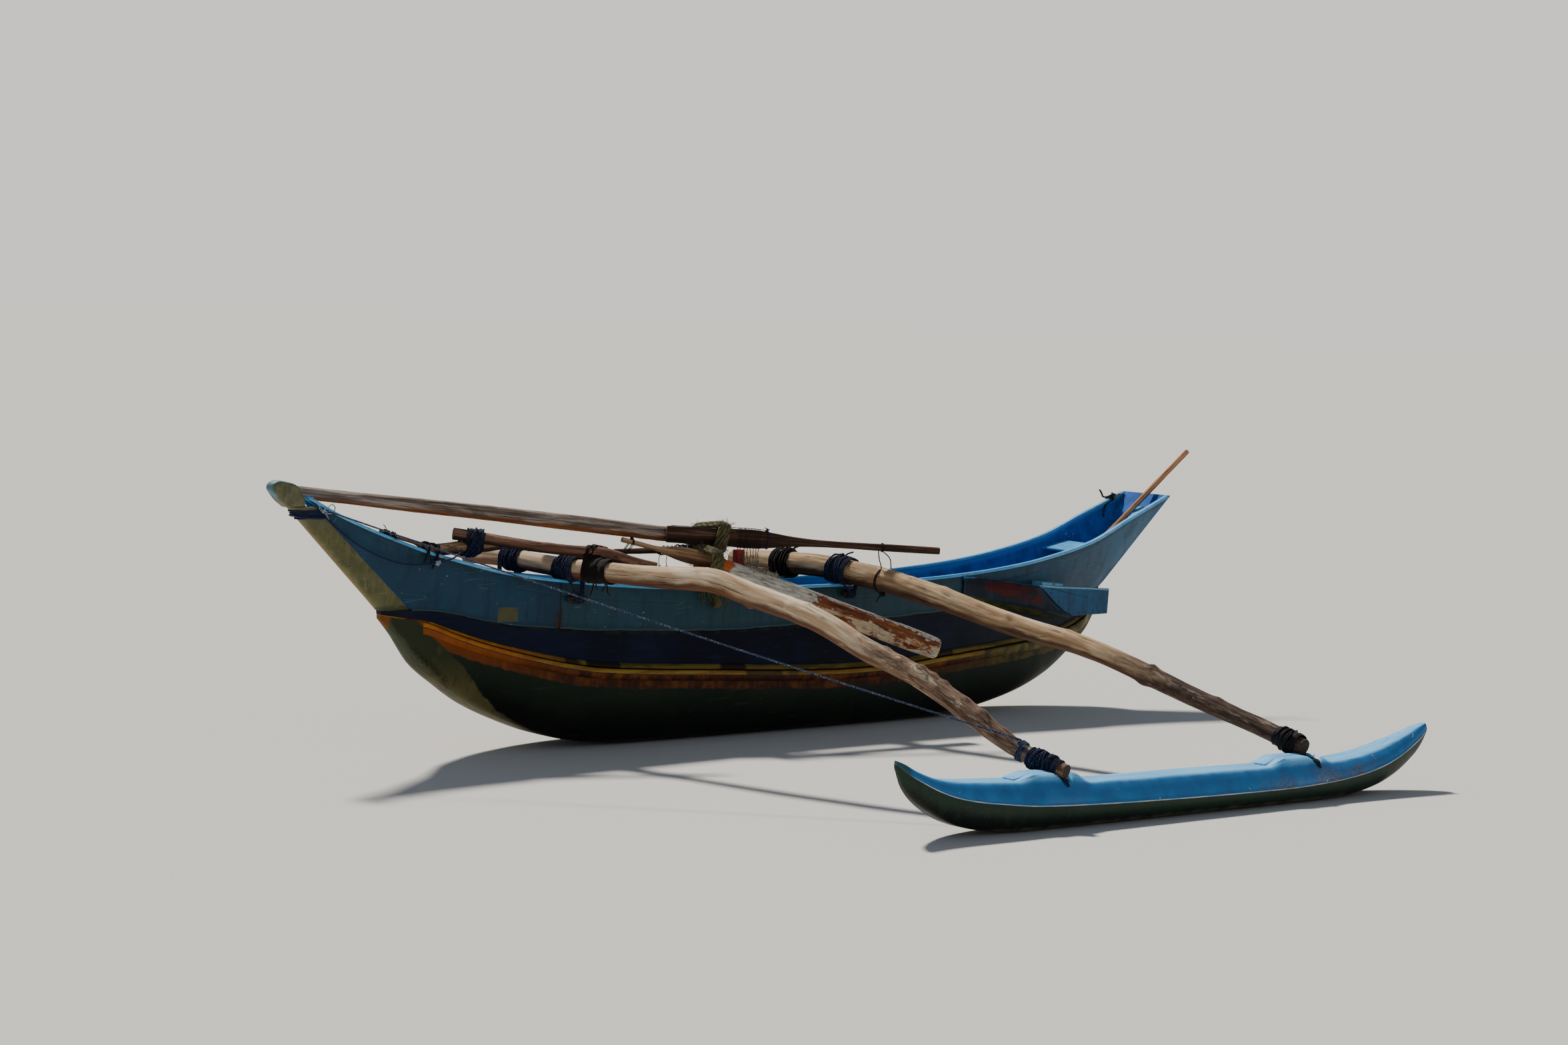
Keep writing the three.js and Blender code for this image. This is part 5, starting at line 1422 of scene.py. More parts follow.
def raised_outline(name, outline, y0, y1, material, replaces, bevel=0.0025, wave=0.0):
    """An upright board: outline of (x, z), faces at y0 and y1."""
    o = np.array(outline, float) * MM
    fine = []
    for i in range(len(o)):
        a, b = o[i], o[(i + 1) % len(o)]
        n = max(2, int(np.linalg.norm(b - a) / 0.012))
        for k in range(n):
            fine.append(a + (b - a) * k / n)
    o = np.array(fine)
    area = 0.5 * np.sum(o[:, 0] * np.roll(o[:, 1], -1) - o[:, 1] * np.roll(o[:, 0], -1))
    d = np.roll(o, -1, 0) - np.roll(o, 1, 0)
    nrm = unit(np.column_stack([d[:, 1], -d[:, 0]])) * np.sign(area)
    rings = []
    for inset, k in ((2.5, 0), (1.0, 0), (0.3, 0.25), (0, 1), (0, -1), (0.3, -0.25), (1.0, 0), (2.5, 0)):
        p = o - nrm * inset * bevel
        first = len(rings) < 4
        off = {0: 0.0, 0.25: bevel * 0.3, 1: bevel, -1: -bevel, -0.25: -bevel * 0.3}[k]
        y = np.full(len(p), (y0 if first else y1) + off)
        rings.append(np.column_stack([p[:, 0], y, p[:, 1]]))
    v, f, a = closed_rings(np.array(rings))
    ob = mesh(name, v, outward(v, f), material, a, replaces=replaces)
    tidy(ob)
    return ob


def board_paint():
    m = Mat("board_paint", 0.55, specular=0.2)
    p = m.pos()
    x, y, z = m.split(p)
    mid = m.noise(p, 14.0, 5, 0.6)
    fine = m.noise(p, 90.0, 4, 0.62)
    runs = m.noise(m.scaled(p, (26, 26, 2.5)), 1.0, 5, 0.6)
    col = m.mix(m.step(mid, 0.36, 0.64), "#1e5a86", "#276b9a")
    col = m.mix(mul(m, m.step(runs, 0.46, 0.66), 0.5), col, "#184666")
    # painted highlight: a pale blue band along the board's top edge
    top = m.math("SUBTRACT", z, m.math("ADD", m.math("MULTIPLY", x, 0.0608), 0.8228))
    col = m.mix(m.step(plus(m, top, m.math("SUBTRACT", fine, 0.5), 0.01), -0.012, -0.007), col, "#8cc9e4")
    flake = m.noise(p, 21.0, 7, 0.7, 0.8)
    k = m.step(flake, 0.655, 0.665)
    col = m.mix(k, col, m.mix(m.step(fine, 0.45, 0.6), "#7d8a86", "#4b5148"))
    col = m.mix(mul(m, m.step(fine, 0.63, 0.72), 0.5), col, "#23414f")
    # painted shade: the whole board darkened towards black
    col = m.mix(0.40, col, "#02060a")
    return m.done(col, m.mixf(mid, 0.38, 0.64), m.bump(plus(m, plus(m, mul(m, fine, 0.4), mid, 0.5), k, -0.8), 0.4, 0.002))


BOARD_PAINT = board_paint()
BOARD = [(-1757, 716), (-2316, 682), (-2308, 541), (-2037, 539), (-1962, 566), (-1889, 613), (-1820, 668)]
raised_outline("bracket_board_panel", BOARD, 0.312, 0.330, BOARD_PAINT, ["bracket_board"])
# nail heads along the board's foot and end
nails = []
for x, z in [(-2290, 556), (-2240, 553), (-2186, 553), (-2130, 553), (-2078, 553), (-2296, 600), (-2298, 652), (-1990, 575),
             (-1912, 622), (-1846, 672)]:
    c = np.array([x, 0, z]) * MM
    ring = []
    for y, r in ((0.3285, 0.0042), (0.3312, 0.0042), (0.3320, 0.003), (0.3322, 0.001)):
        w = np.arange(10) / 10 * 2 * math.pi
        ring.append(np.column_stack([c[0] + r * np.cos(w), np.full(10, y), c[2] + r * np.sin(w)]))
    nails.append(closed_rings(np.array(ring)))


def rusty(name="nail_rust"):
    m = Mat(name, 0.75, specular=0.3)
    n = m.noise(m.pos(), 200, 4)
    return m.done(m.mix(m.step(n, 0.4, 0.6), "#2b1a14", "#5a3320"), None, m.bump(n, 0.4, 0.0006))


RUST = rusty()
v, f, a = gather(nails)
mesh("bracket_board_nails", v, outward(v, f), RUST, a)


def fairing_paint():
    m = Mat("fairing_paint", 0.55, specular=0.16)
    p = m.pos()
    x, y, z = m.split(p)
    k = m.attr("down")
    mid = m.noise(p, 13.0, 5, 0.6)
    fine = m.noise(p, 90.0, 4, 0.62)
    runs = m.noise(m.scaled(p, (18, 18, 2)), 1.0, 5, 0.6)
    col = m.mix(m.step(mid, 0.36, 0.64), "#14202e", "#1d2f42")
    col = m.mix(mul(m, m.step(runs, 0.5, 0.66), 0.5), col, "#28415a")
    # painted highlight: the top of the fairing in pale blue
    top = m.step(plus(m, k, m.math("SUBTRACT", fine, 0.5), 0.05), 0.17, 0.10)
    col = m.mix(top, col, m.mix(m.step(mid, 0.4, 0.6), "#3f8fc0", "#6fb6dc"))
    slope = plus(m, k, m.math("ADD", x, 1.585), 0.45)
    red = mul(m, near(m, plus(m, x, m.math("SUBTRACT", mid, 0.5), 0.10), -1.585, 0.18, 0.012),
              near(m, plus(m, slope, m.math("SUBTRACT", mid, 0.5), 0.30), 0.44, 0.125, 0.012))
    worn = m.mix(m.step(m.noise(m.scaled(p, (9, 9, 26)), 1.0, 6, 0.7), 0.52, 0.58), "#570b08", "#1b1a26")
    col = m.mix(mul(m, red, 0.85), col, worn)
    low = m.step(plus(m, k, m.math("SUBTRACT", mid, 0.5), 0.14), 0.72, 0.80)
    col = m.mix(low, col, m.mix(m.step(runs, 0.4, 0.6), "#5d5a2c", "#3c4326"))
    col = m.mix(mul(m, m.step(fine, 0.63, 0.72), 0.5), col, "#2c363e")
    # painted shade: the whole fairing darkened towards black
    col = m.mix(0.35, col, "#030303")
    return m.done(col, m.mixf(mid, 0.38, 0.64), m.bump(plus(m, mul(m, fine, 0.4), mid, 0.5), 0.4, 0.002))


def make_fairing(material):
    a = np.array(sorted(FAIRING), float) * MM
    q = np.linspace(a[0, 0], a[-1, 0], 90)
    r = pchip(a[:, 0], a[:, 1:], q)
    iy, oy, tz, by, bz, fy, fz, hz = r.T
    base = [(iy, tz - 0.006), (oy, tz), (by, bz), (fy, fz), (iy, hz)]
    pts = []
    seg = [12, 10, 10, 12]
    ctrl = [np.stack(b, -1) for b in base]
    for s in range(4):
        for k in range(seg[s]):
            t = k / seg[s]
            pts.append(ctrl[s] * (1 - t) + ctrl[s + 1] * t)
    pts.append(ctrl[4])
    P3 = np.stack(pts, 1)
    # ease the corners by averaging along the outline, the ends kept
    S = P3.copy()
    for _ in range(3):
        S[:, 1:-1] = (S[:, :-2] + 2 * S[:, 1:-1] + S[:, 2:]) / 4
    d = np.linalg.norm(np.diff(S, axis=1), axis=2)
    run = np.concatenate([np.zeros((len(q), 1)), np.cumsum(d, 1)], 1)
    run = run / run[:, -1:]
    x = np.broadcast_to(q[:, None], S.shape[:2])
    rings = np.dstack([x, S[..., 0], S[..., 1]])
    v, f, at = closed_rings(rings, {"down": run})
    o = mesh("bracket_fairing_shell", v, outward(v, f), material, at, replaces=["bracket_fairing"])
    tidy(o)


make_fairing(fairing_paint())
PAD = np.array([[[-1800, 222, 734], [-1800, 310, 732], [-1800, 310, 690], [-1800, 222, 690]],
                [[-1962, 219, 722], [-1962, 310, 718], [-1962, 310, 680], [-1962, 219, 680]]], float) * MM


def eased_block(name, a, b, material, replaces, bevel=0.003, n=8, m=6):
    """A hexahedron given by two four-cornered ends, its edges eased."""
    c = (a.mean(0) + b.mean(0)) / 2
    rings = []
    for k in np.r_[0, 0, 0, np.linspace(0, 1, n), 1, 1, 1]:
        rings.append(a * (1 - k) + b * k)
    L = np.linalg.norm(b.mean(0) - a.mean(0))
    t = (b.mean(0) - a.mean(0)) / L
    out = []
    for i, r in enumerate(rings):
        last = len(rings) - 1
        e = min(i, last - i)
        pts = []
        for s in range(4):
            for w in range(m):
                pts.append(r[s] + (r[(s + 1) % 4] - r[s]) * w / m)
        pts = np.array(pts)
        ctr = r.mean(0)
        d = pts - ctr
        size = np.abs(d).max(0).max()
        inset = {0: 2.4, 1: 0.9, 2: 0.25}.get(e, 0.0) * bevel
        # round the four long corners
        for s in range(4):
            pts[s * m] += (ctr - pts[s * m]) / np.linalg.norm(ctr - pts[s * m]) * bevel * 0.8
        pts = ctr + (pts - ctr) * (1 - inset / size)
        move = {0: 0.0, 1: 0.0, 2: 0.3, 3: 1.0}.get(e, None)
        if move is not None:
            pts = pts + t * bevel * move * (1 if i < last / 2 else -1)
        out.append(pts)
    v, f, at = closed_rings(np.array(out))
    ob = mesh(name, v, outward(v, f), material, at, replaces=replaces)
    tidy(ob)
    return ob


eased_block("bracket_pad_block", PAD[0], PAD[1], plain_paint("pad_paint", "#4f9cc2", "#78b9d6", "#2f7698", "#9aa39c", 0.4),
            ["bracket_pad"], bevel=0.005)


# -------------------------------------------------------------------- float
def float_y(x):
    return 2.889 - 0.0453 * (x + 0.035)


def make_float():
    q = np.unique(np.round(np.r_[np.linspace(-1.71, -1.60, 14), np.linspace(-1.60, 1.58, 300), np.linspace(1.58, 1.645, 10)], 5))
    kz, kw, fz, fw, dz, dw = at_x(FLOAT, q).T
    cy = float_y(q)
    lobes, deps = [], []
    for k in (0.0, 0.5, 1.0):
        lobes.append((kw * k, kz + 0 * kw))
    for i in range(1, 17):
        w = i / 16 * math.pi / 2
        lobes.append((kw + (fw - kw) * math.sin(w), kz + (fz - kz) * (1 - math.cos(w))))
    half_y = np.stack([a for a, _ in lobes], 1)
    half_z = np.stack([b for _, b in lobes], 1)
    below = fz[:, None] - half_z
    wob = fbm(np.stack([np.broadcast_to(q[:, None] * 4, half_y.shape), half_y * 6, half_z * 6], -1), 3, 9) * 0.0018
    half_y = np.where(half_y > 0.012, half_y + wob * np.clip(fw[:, None] / 0.05, 0, 1), half_y)
    ry = np.concatenate([cy[:, None] - half_y[:, ::-1], cy[:, None] + half_y[:, 1:]], 1)
    rz = np.concatenate([half_z[:, ::-1], half_z[:, 1:]], 1)
    rb = np.concatenate([below[:, ::-1], below[:, 1:]], 1)
    # close across the top with the flange's plane
    x = np.broadcast_to(q[:, None], ry.shape)
    rings = np.dstack([x, ry, rz])
    v, f, a = closed_rings(rings, {"below": rb})
    p = lambda m: m.pos()
    m = Mat("float_bottom_paint", 0.5, specular=0.3)
    pos = m.pos()
    fx, fy, fz_ = m.split(pos)
    bel = m.attr("below")
    mid = m.noise(pos, 12.0, 5, 0.6)
    fine = m.noise(pos, 85.0, 4, 0.62)
    runs = m.noise(m.scaled(pos, (20, 20, 3)), 1.0, 5, 0.6)
    col = m.mix(m.step(plus(m, bel, m.math("SUBTRACT", mid, 0.5), 0.06), 0.03, 0.075), "#0b2a19", "#08120c")
    col = m.mix(mul(m, m.step(runs, 0.52, 0.68), 0.4), col, "#123a22")
    mud = m.step(plus(m, fz_, m.math("SUBTRACT", mid, 0.5), 0.05), 0.030, 0.004)
    col = m.mix(mul(m, mud, 0.75), col, "#6b6250")
    col = m.mix(mul(m, m.step(fine, 0.62, 0.72), 0.5), col, "#42584a")
    m.done(col, m.mixf(mid, 0.38, 0.66), m.bump(plus(m, mul(m, fine, 0.4), runs, 0.5), 0.35, 0.002))
    o = mesh("float_hull_shell", v, outward(v, f), m.m, a, replaces=["float_hull"])
    tidy(o)

    # deck: flange lip, flared side, rounded shoulder, crowned top
    sc = np.clip(fw / 0.06, 0.08, 1.0)
    mx, mz = (fw + dw) / 2 + 0.006 * sc, fz + (dz - fz) * 0.62
    prof = []
    z0 = fz + GAP + 0.0002
    lip = 0.0026 * sc
    prof.append((fw - 0.004 * sc, z0))
    prof.append((fw + lip, z0 + 0.0004 * sc))
    prof.append((fw + lip + 0.0003 * sc, z0 + 0.0026 * sc))
    prof.append((fw + lip, z0 + 0.0050 * sc))
    prof.append((fw - 0.001 * sc, z0 + 0.0072 * sc))
    a0 = np.stack([fw - 0.003 * sc, z0 + 0.0085 * sc], 1)
    a1 = np.stack([mx + 0.004 * sc, mz], 1)
    a2 = np.stack([dw, dz - 0.002 * sc], 1)
    for t in (0.0, 0.12, 0.28, 0.45, 0.62, 0.78, 0.9):
        b = a0 * (1 - t) ** 2 + 2 * t * (1 - t) * a1 + a2 * t**2
        prof.append((b[:, 0], b[:, 1]))
    for t in (0.0, 0.3, 0.65, 1.0):
        w = t * math.pi / 2
        prof.append((dw * (1 - 0.16 * math.sin(w)) , dz - 0.002 * sc + 0.002 * sc * math.sin(w)))
    for k in (0.62, 0.34, 0.0):
        prof.append((dw * k, dz + 0.0012 * sc * (1 - k) * 0.2))
    hy = np.stack([np.broadcast_to(a_, q.shape) for a_, _ in prof], 1)
    hz = np.stack([np.broadcast_to(b_, q.shape) for _, b_ in prof], 1)
    side = np.linspace(0, 1, hy.shape[1])[None, :] + 0 * hy
    wob = fbm(np.stack([np.broadcast_to(q[:, None] * 4.5, hy.shape), hy * 7, hz * 7], -1), 3, 21) * 0.0016
    k = np.clip(side * 1.6 - 0.3, 0, 1) * np.clip(fw[:, None] / 0.05, 0, 1)
    # the side swells under each saddle, with a sharper facet on its after end
    ease = lambda v: np.clip(v, 0, 1) ** 2 * (3 - 2 * np.clip(v, 0, 1))
    swell = 0.0
    for c in (0.80, -0.77):
        swell = swell + ease((c + 0.125 - q) / 0.045) * np.clip((q - (c - 0.185)) / 0.10, 0, 1)
    swell = swell[:, None] * 0.013 * ease((side - 0.24) / 0.22) * ease((0.90 - side) / 0.16)
    hy2 = np.where(hy > 0.004, hy + wob * k + swell, hy)
    hz2 = hz - np.abs(wob) * k * 0.6
    ry = np.concatenate([cy[:, None] - hy2, cy[:, None] + hy2[:, ::-1][:, 1:]], 1)
    rz = np.concatenate([hz2, hz2[:, ::-1][:, 1:]], 1)
    rs = np.concatenate([side, side[:, ::-1][:, 1:]], 1)
    # the deck rises to the saddles over its whole width, and dips where a boom lies in it
    for boom, x0, x1, top in ((FRONT_BOOM, 0.590, 1.010, 0.247), (REAR_BOOM, -0.985, -0.560, 0.216)):
        bp = path_of(boom, 400)
        e = np.minimum(q - x0, x1 - q) / (x1 - x0)
        h = (top - dz) * np.sin(np.clip(e / 0.28, 0, 1) * math.pi / 2) ** 1.4
        share = 0.93 * ease((rs - 0.40) / 0.52)
        z = rz + h[:, None] * share
        for i in np.nonzero(e > 0)[0]:
            for j in range(rz.shape[1]):
                d = np.hypot(bp[:, 0] - q[i], bp[:, 1] - ry[i, j])
                n = d.argmin()
                t = unit(bp[min(n + 1, 399), :3] - bp[max(n - 1, 0), :3])
                lat = abs((q[i] - bp[n, 0]) * t[1] - (ry[i, j] - bp[n, 1]) * t[0])
                r = bp[n, 3] + 0.0120
                if lat < r and d[n] < 0.09:
                    z[i, j] = max(min(z[i, j], bp[n, 2] - math.sqrt(r * r - lat * lat)), rz[i, j])
        rz = z
    x = np.broadcast_to(q[:, None], ry.shape)
    rings = np.dstack([x, ry, rz])
    v, f, a = closed_rings(rings, {"side": rs})
    m = Mat("float_deck_paint", 0.42, specular=0.35)
    pos = m.pos()
    fx, fy, fzz = m.split(pos)
    sd = m.attr("side")
    big = m.noise(pos, 2.2, 4)
    mid = m.noise(pos, 11.0, 5, 0.6)
    fine = m.noise(pos, 85.0, 4, 0.62)
    runs = m.noise(m.scaled(pos, (20, 20, 3)), 1.0, 5, 0.6)
    long = m.noise(m.scaled(pos, (3, 50, 50)), 1.0, 5, 0.6)
    # painted light: the flared side in darker blue is painted shade, the crown in paler blue painted highlight
    shaded_side_c = m.mix(m.step(mid, 0.30, 0.70), "#2468a4", "#2a7ab8")
    shaded_side_c = m.mix(mul(m, m.step(runs, 0.5, 0.72), 0.30), shaded_side_c, "#1c568c")
    lit_top_c = m.mix(m.step(long, 0.38, 0.62), "#5fafe6", "#80c4f0")
    col = m.mix(m.step(plus(m, sd, m.math("SUBTRACT", mid, 0.5), 0.10), 0.56, 0.70), shaded_side_c, lit_top_c)
    line = near(m, plus(m, sd, m.math("SUBTRACT", fine, 0.5), 0.015), 0.125, 0.055, 0.015)
    col = m.mix(mul(m, line, 0.85), col, m.mix(m.step(mid, 0.40, 0.6), "#c9d2cf", "#8fb0bd"))
    dirt = mul(m, m.step(m.math("ABSOLUTE", plus(m, fx, 0.86)), 0.52, 0.20), m.step(m.noise(pos, 5, 6, 0.66), 0.34, 0.62))
    dirt = mul(m, dirt, m.step(plus(m, sd, m.math("SUBTRACT", mid, 0.5), 0.5), 0.56, 0.30))
    col = m.mix(mul(m, dirt, 0.62), col, m.mix(m.step(fine, 0.4, 0.6), "#8f8068", "#5d564a"))
    col = m.mix(mul(m, m.step(m.noise(pos, 5.0, 6, 0.7), 0.58, 0.70), 0.22), col, "#a99a7c")
    flake = m.noise(pos, 19.0, 7, 0.7, 0.8)
    kf = m.step(flake, 0.675, 0.685)
    col = m.mix(kf, col, m.mix(m.step(fine, 0.45, 0.55), "#dbe4e6", "#4a5c62"))
    ends = m.step(plus(m, fx, m.math("SUBTRACT", mid, 0.5), 0.10), 1.56, 1.60)
    col = m.mix(mul(m, ends, 0.85), col, "#1f4a3c")
    h = plus(m, plus(m, mul(m, fine, 0.4), long, 0.4), kf, -0.8)
    m.done(col, m.mixf(mid, 0.32, 0.62), m.bump(h, 0.35, 0.002))
    o = mesh("float_deck_shell", v, outward(v, f), m.m, a, replaces=["float_deck"])
    tidy(o)
    tree = BVHTree.FromPolygons([tuple(c) for c in np.asarray(v, float).reshape(-1, 3)], [tuple(map(int, c)) for c in f])
    return m.m, tree


def path_of(rows, n, y0=None, y1=None, x0=None, x1=None):
    """Evenly spaced points and radii in metres, optionally only between two y or x values (mm)."""
    s = spline(rows, 1200)
    if y0 is not None:
        s = s[(s[:, 1] >= y0) & (s[:, 1] <= y1)]
    if x0 is not None:
        s = s[(s[:, 0] >= x0) & (s[:, 0] <= x1)]
    k = np.r_[0, np.cumsum(np.linalg.norm(np.diff(s[:, :3], axis=0), axis=1))]
    q = np.linspace(0, k[-1], n)
    return np.stack([np.interp(q, k, s[:, c]) for c in range(s.shape[1])], 1) * MM


FLOAT_DECK_PAINT, DECK_TREE = make_float()


def make_saddles(material):
    """Blocks moulded on the deck that cradle the booms' ends, flared at the foot."""
    for name, boom, x0, x1, top in (("front", FRONT_BOOM, 1010, 590, 247), ("rear", REAR_BOOM, -560, -985, 216)):
        bp = path_of(boom, 400)
        xs = np.linspace(x0 * MM, x1 * MM, 61)
        rings, sides = [], []
        for i, x in enumerate(xs):
            u = i / (len(xs) - 1)
            deck = float(at_x(FLOAT, np.array([x]))[0][4])
            rise = min(1.0, math.sin(min(u, 1 - u) / 0.28 * math.pi / 2)) if min(u, 1 - u) < 0.28 else 1.0
            h = 0.0065 + (top * MM - deck - 0.0065) * rise**1.4
            c = float_y(x)
            z0 = deck + 0.0002
            row = []
            for a, b in ((-35, -0.02), (-33, 0.05), (-31.2, 0.30), (-30.5, 0.62), (-29.0, 0.86), (-24.5, 0.97), (-17, 1.0),
                         (-8, 1.0), (0, 1.0), (8, 1.0), (17, 1.0), (24.5, 0.97), (29.0, 0.86), (30.5, 0.62), (31.2, 0.30), (33, 0.05), (35, -0.02)):
                y = c + a * MM
                z = z0 + h * b
                # sink under the boom that lies in it
                d = np.hypot(bp[:, 0] - x, bp[:, 1] - y)
                j = d.argmin()
                t = unit(bp[min(j + 1, 399), :3] - bp[max(j - 1, 0), :3])
                off = np.array([x, y, z]) - bp[j, :3]
                if b > 0.5:
                    lat = abs(off[0] * t[1] - off[1] * t[0])
                    r = bp[j, 3] + 0.0105
                    if lat < r and d[j] < 0.09:
                        z = min(z, bp[j, 2] - math.sqrt(r * r - lat * lat) * 1.0 + 0.0)
                        z = max(z, z0 + 0.003)
                row.append([x, y, z])
            rings.append(row)
        r = np.array(rings)
        v, f, a = closed_rings(r, {"side": np.full(r.shape[:2], 0.95)})
        o = mesh(f"float_saddle_{name}_block", v, outward(v, f), material, a,
                 replaces=[f"float_saddle_{name}"])
        tidy(o)


make_saddles(FLOAT_DECK_PAINT)


# ---------------------------------------------------------- driftwood booms
def knots(spots):
    """Swellings and hollows: length along, angle, reach along, reach round, height (mm)."""
    def f(s, w):
        out = np.zeros_like(s)
        for at, ang, ls, lw, h in spots:
            d = (w - math.radians(ang) + math.pi) % (2 * math.pi) - math.pi
            out += h * MM * np.exp(-((s - at * MM) / (ls * MM)) ** 2 - (d / math.radians(lw)) ** 2)
        return out
    return f


def trunk(seed, spots, ripple=0.0022, ridges=0.0012, twist=1.3):
    kn = knots(spots)

    def f(s, w):
        c, sn = np.cos(w), np.sin(w)
        p = np.stack([s * 3.0, c * 0.9, sn * 0.9], -1)
        big = fbm(p + seed, 3, seed) * ripple * 2.2
        q = np.stack([s * 1.6, np.cos(w + s * twist) * 5.5, np.sin(w + s * twist) * 5.5], -1)
        ridge = fbm(q + seed, 3, seed + 5) * ridges * 2.0
        fine = vnoise(np.stack([s * 40, c * 7, sn * 7], -1), seed + 9) * 0.0004
        return big + ridge + fine + kn(s, w)
    return f


PALE = wood("driftwood_light", [(0.0, "#a58663"), (0.35, "#bfa382"), (0.68, "#d3bfa2"), (1.0, "#e6dac6")],
            under=("#6f4a33", "#4d382c"), under_at=(0.05, -0.55), thick=0.05, crack="#2a1b12",
            bark=("#5a4133", "#8d735e", "#c9b69c"), bark_at=(2.20, 2.75, 1.1), patchy=0.45, patch_colour="#8d6a4c", end=(0.92, "#170d08"))
TAN = wood("driftwood_dark", [(0.0, "#8d6e4e"), (0.35, "#a88a66"), (0.68, "#c0a582"), (1.0, "#d6c3a4")],
           under=("#5f4230", "#3e2c22"), under_at=(0.10, -0.5), thick=0.055, crack="#221610",
           bark=("#5b493d", "#33271f", "#8b7766"), bark_at=(2.35, 2.85, 0.8), patchy=0.5, patch_colour="#7c5b42", end=(0.92, "#120b08"))

FB = path_of(FRONT_BOOM, 300)
FRONT_SPOTS = [(1778, 262, 24, 20, 13), (1850, 80, 40, 30, 3), (1990, 10, 22, 20, -4), (2080, 300, 45, 30, 4), (2040, 34, 22, 18, 6),
               (2098, 82, 18, 26, 7), (2500, 80, 70, 40, 5), (2620, 20, 60, 40, -5), (2775, 70, 32, 30, 21), (2835, 96, 24, 24, 12),
               (2950, 60, 60, 44, -9), (3135, 70, 30, 30, 20), (2420, 70, 22, 22, 7), (2565, 96, 24, 22, 9),
               (2660, 64, 26, 26, 11), (2895, 112, 24, 22, 9), (3030, 84, 22, 22, 9), (3265, 100, 22, 22, 7), (3060, 270, 60, 40, 5), (3240, 70, 50, 40, -4),
               (2490, 200, 60, 40, -4), (1450, 180, 60, 40, 3), (900, 340, 40, 30, 3), (2760, 190, 50, 36, 7), (3180, 160, 40, 30, 6),
               (2300, 80, 50, 30, 3), (3330, 190, 40, 30, 4), (60, 40, 70, 50, 3), (1250, 350, 50, 40, 2.5)]
RB = path_of(REAR_BOOM, 300)
REAR_SPOTS = [(1020, 70, 40, 40, -5), (1160, 64, 26, 26, -4), (1215, 70, 22, 22, 5), (1415, 84, 24, 22, 7), (1262, 20, 24, 24, 4),
              (1650, 50, 30, 24, 5), (1850, 46, 26, 24, 8), (2050, 340, 28, 24, 5), (2205, 84, 26, 24, 6), (2330, 30, 60, 40, -4),
              (2712, 82, 26, 28, 15), (2690, 300, 34, 28, 9), (2860, 40, 60, 40, -5), (3100, 84, 26, 26, 8), (2960, 350, 40, 30, 5),
              (700, 200, 60, 40, 3), (1650, 190, 50, 40, -3), (2420, 60, 40, 30, 4), (3230, 120, 50, 30, -3), (300, 30, 50, 40, 2.5),
              (1900, 200, 50, 36, 6), (2600, 190, 40, 30, 6)]
bar_piece("front_boom_trunk", FB[:, :3], FB[:, 3] - 0.001, None, PALE, "driftwood_light", ["front_boom"], sides=56,
          disp=trunk(2, FRONT_SPOTS), cap=0.006)
bar_piece("rear_boom_trunk", RB[:, :3], RB[:, 3] - 0.001, None, TAN, "driftwood_dark", ["rear_boom"], sides=56,
          disp=trunk(7, REAR_SPOTS), cap=0.006)


# ------------------------------------------------------------ smaller timber
BRANCH = wood("branch_wood", [(0.0, "#6f5238"), (0.4, "#957453"), (0.7, "#b39470"), (1.0, "#cdb898")],
              under=("#5a3a26", "#33241b"), under_at=(0.05, -0.5), thick=0.03, patchy=0.5, patch_colour="#5b4130", streak=60)
POLE = wood("pole_wood", [(0.0, "#4f4037"), (0.4, "#766659"), (0.7, "#9b8d80"), (1.0, "#c4b9ae")],
            under=("#96572c", "#6d3d1e"), under_at=(-0.30, -0.62), thick=0.036, patchy=0.5, patch_colour="#4b382c", streak=64)
# the oar wood's very dark tones are partly painted shade, for the blade's upright face
OARWOOD = wood("oar_wood", [(0.0, "#22150f"), (0.4, "#3a261c"), (0.7, "#543a2c"), (1.0, "#7d6350")],
               under=("#2f1c13", "#20140e"), under_at=(0.0, -0.6), thick=0.03, patchy=0.4, patch_colour="#2b1b13", streak=70)

BR = path_of(BOW_BRANCH, 170)
bar_piece("bow_branch_limb", BR[:, :3], BR[:, 3] - 0.0008, None, BRANCH, "branch_wood", ["bow_branch"], sides=36,
          disp=trunk(11, [(230, 40, 26, 40, 4), (360, 200, 30, 40, 3), (470, 20, 26, 30, 4), (640, 120, 26, 30, 3)], 0.0018, 0.0012), cap=0.004)
BP = path_of(BRACE_POLE, 190)
bar_piece("brace_pole_limb", BP[:, :3], BP[:, 3] - 0.0008, None,
          wood("brace_wood", [(0.0, "#4a3226"), (0.4, "#6a4836"), (0.7, "#866350"), (1.0, "#a3836c")], under=("#33221a", "#241813"),
               under_at=(0.0, -0.6), thick=0.028, streak=60), "pole_wood", ["brace_pole"], sides=32,
          disp=trunk(13, [(180, 20, 24, 40, 3), (470, 60, 26, 40, 3), (800, 10, 26, 36, 3)], 0.0016, 0.001), cap=0.004)
MP = path_of(MAST_POLE, 300)
bar_piece("mast_pole_spar", MP[:, :3], MP[:, 3] - 0.0008, None, POLE, "pole_wood", ["mast_pole"], sides=40,
          disp=trunk(17, [(400, 30, 40, 40, 2), (1100, 60, 40, 40, 2), (1650, 20, 40, 40, 2.5), (2200, 40, 40, 40, 2)], 0.0012, 0.0010), cap=0.005)
TS = path_of(TIED_STICK, 60)
bar_piece("tied_stick_limb", TS[:, :3], TS[:, 3] - 0.0005, None, OARWOOD, "oar_wood", ["tied_stick"], sides=20,
          disp=trunk(19, [], 0.001, 0.0006), cap=0.003)
SP = path_of(STERN_POLE, 220)
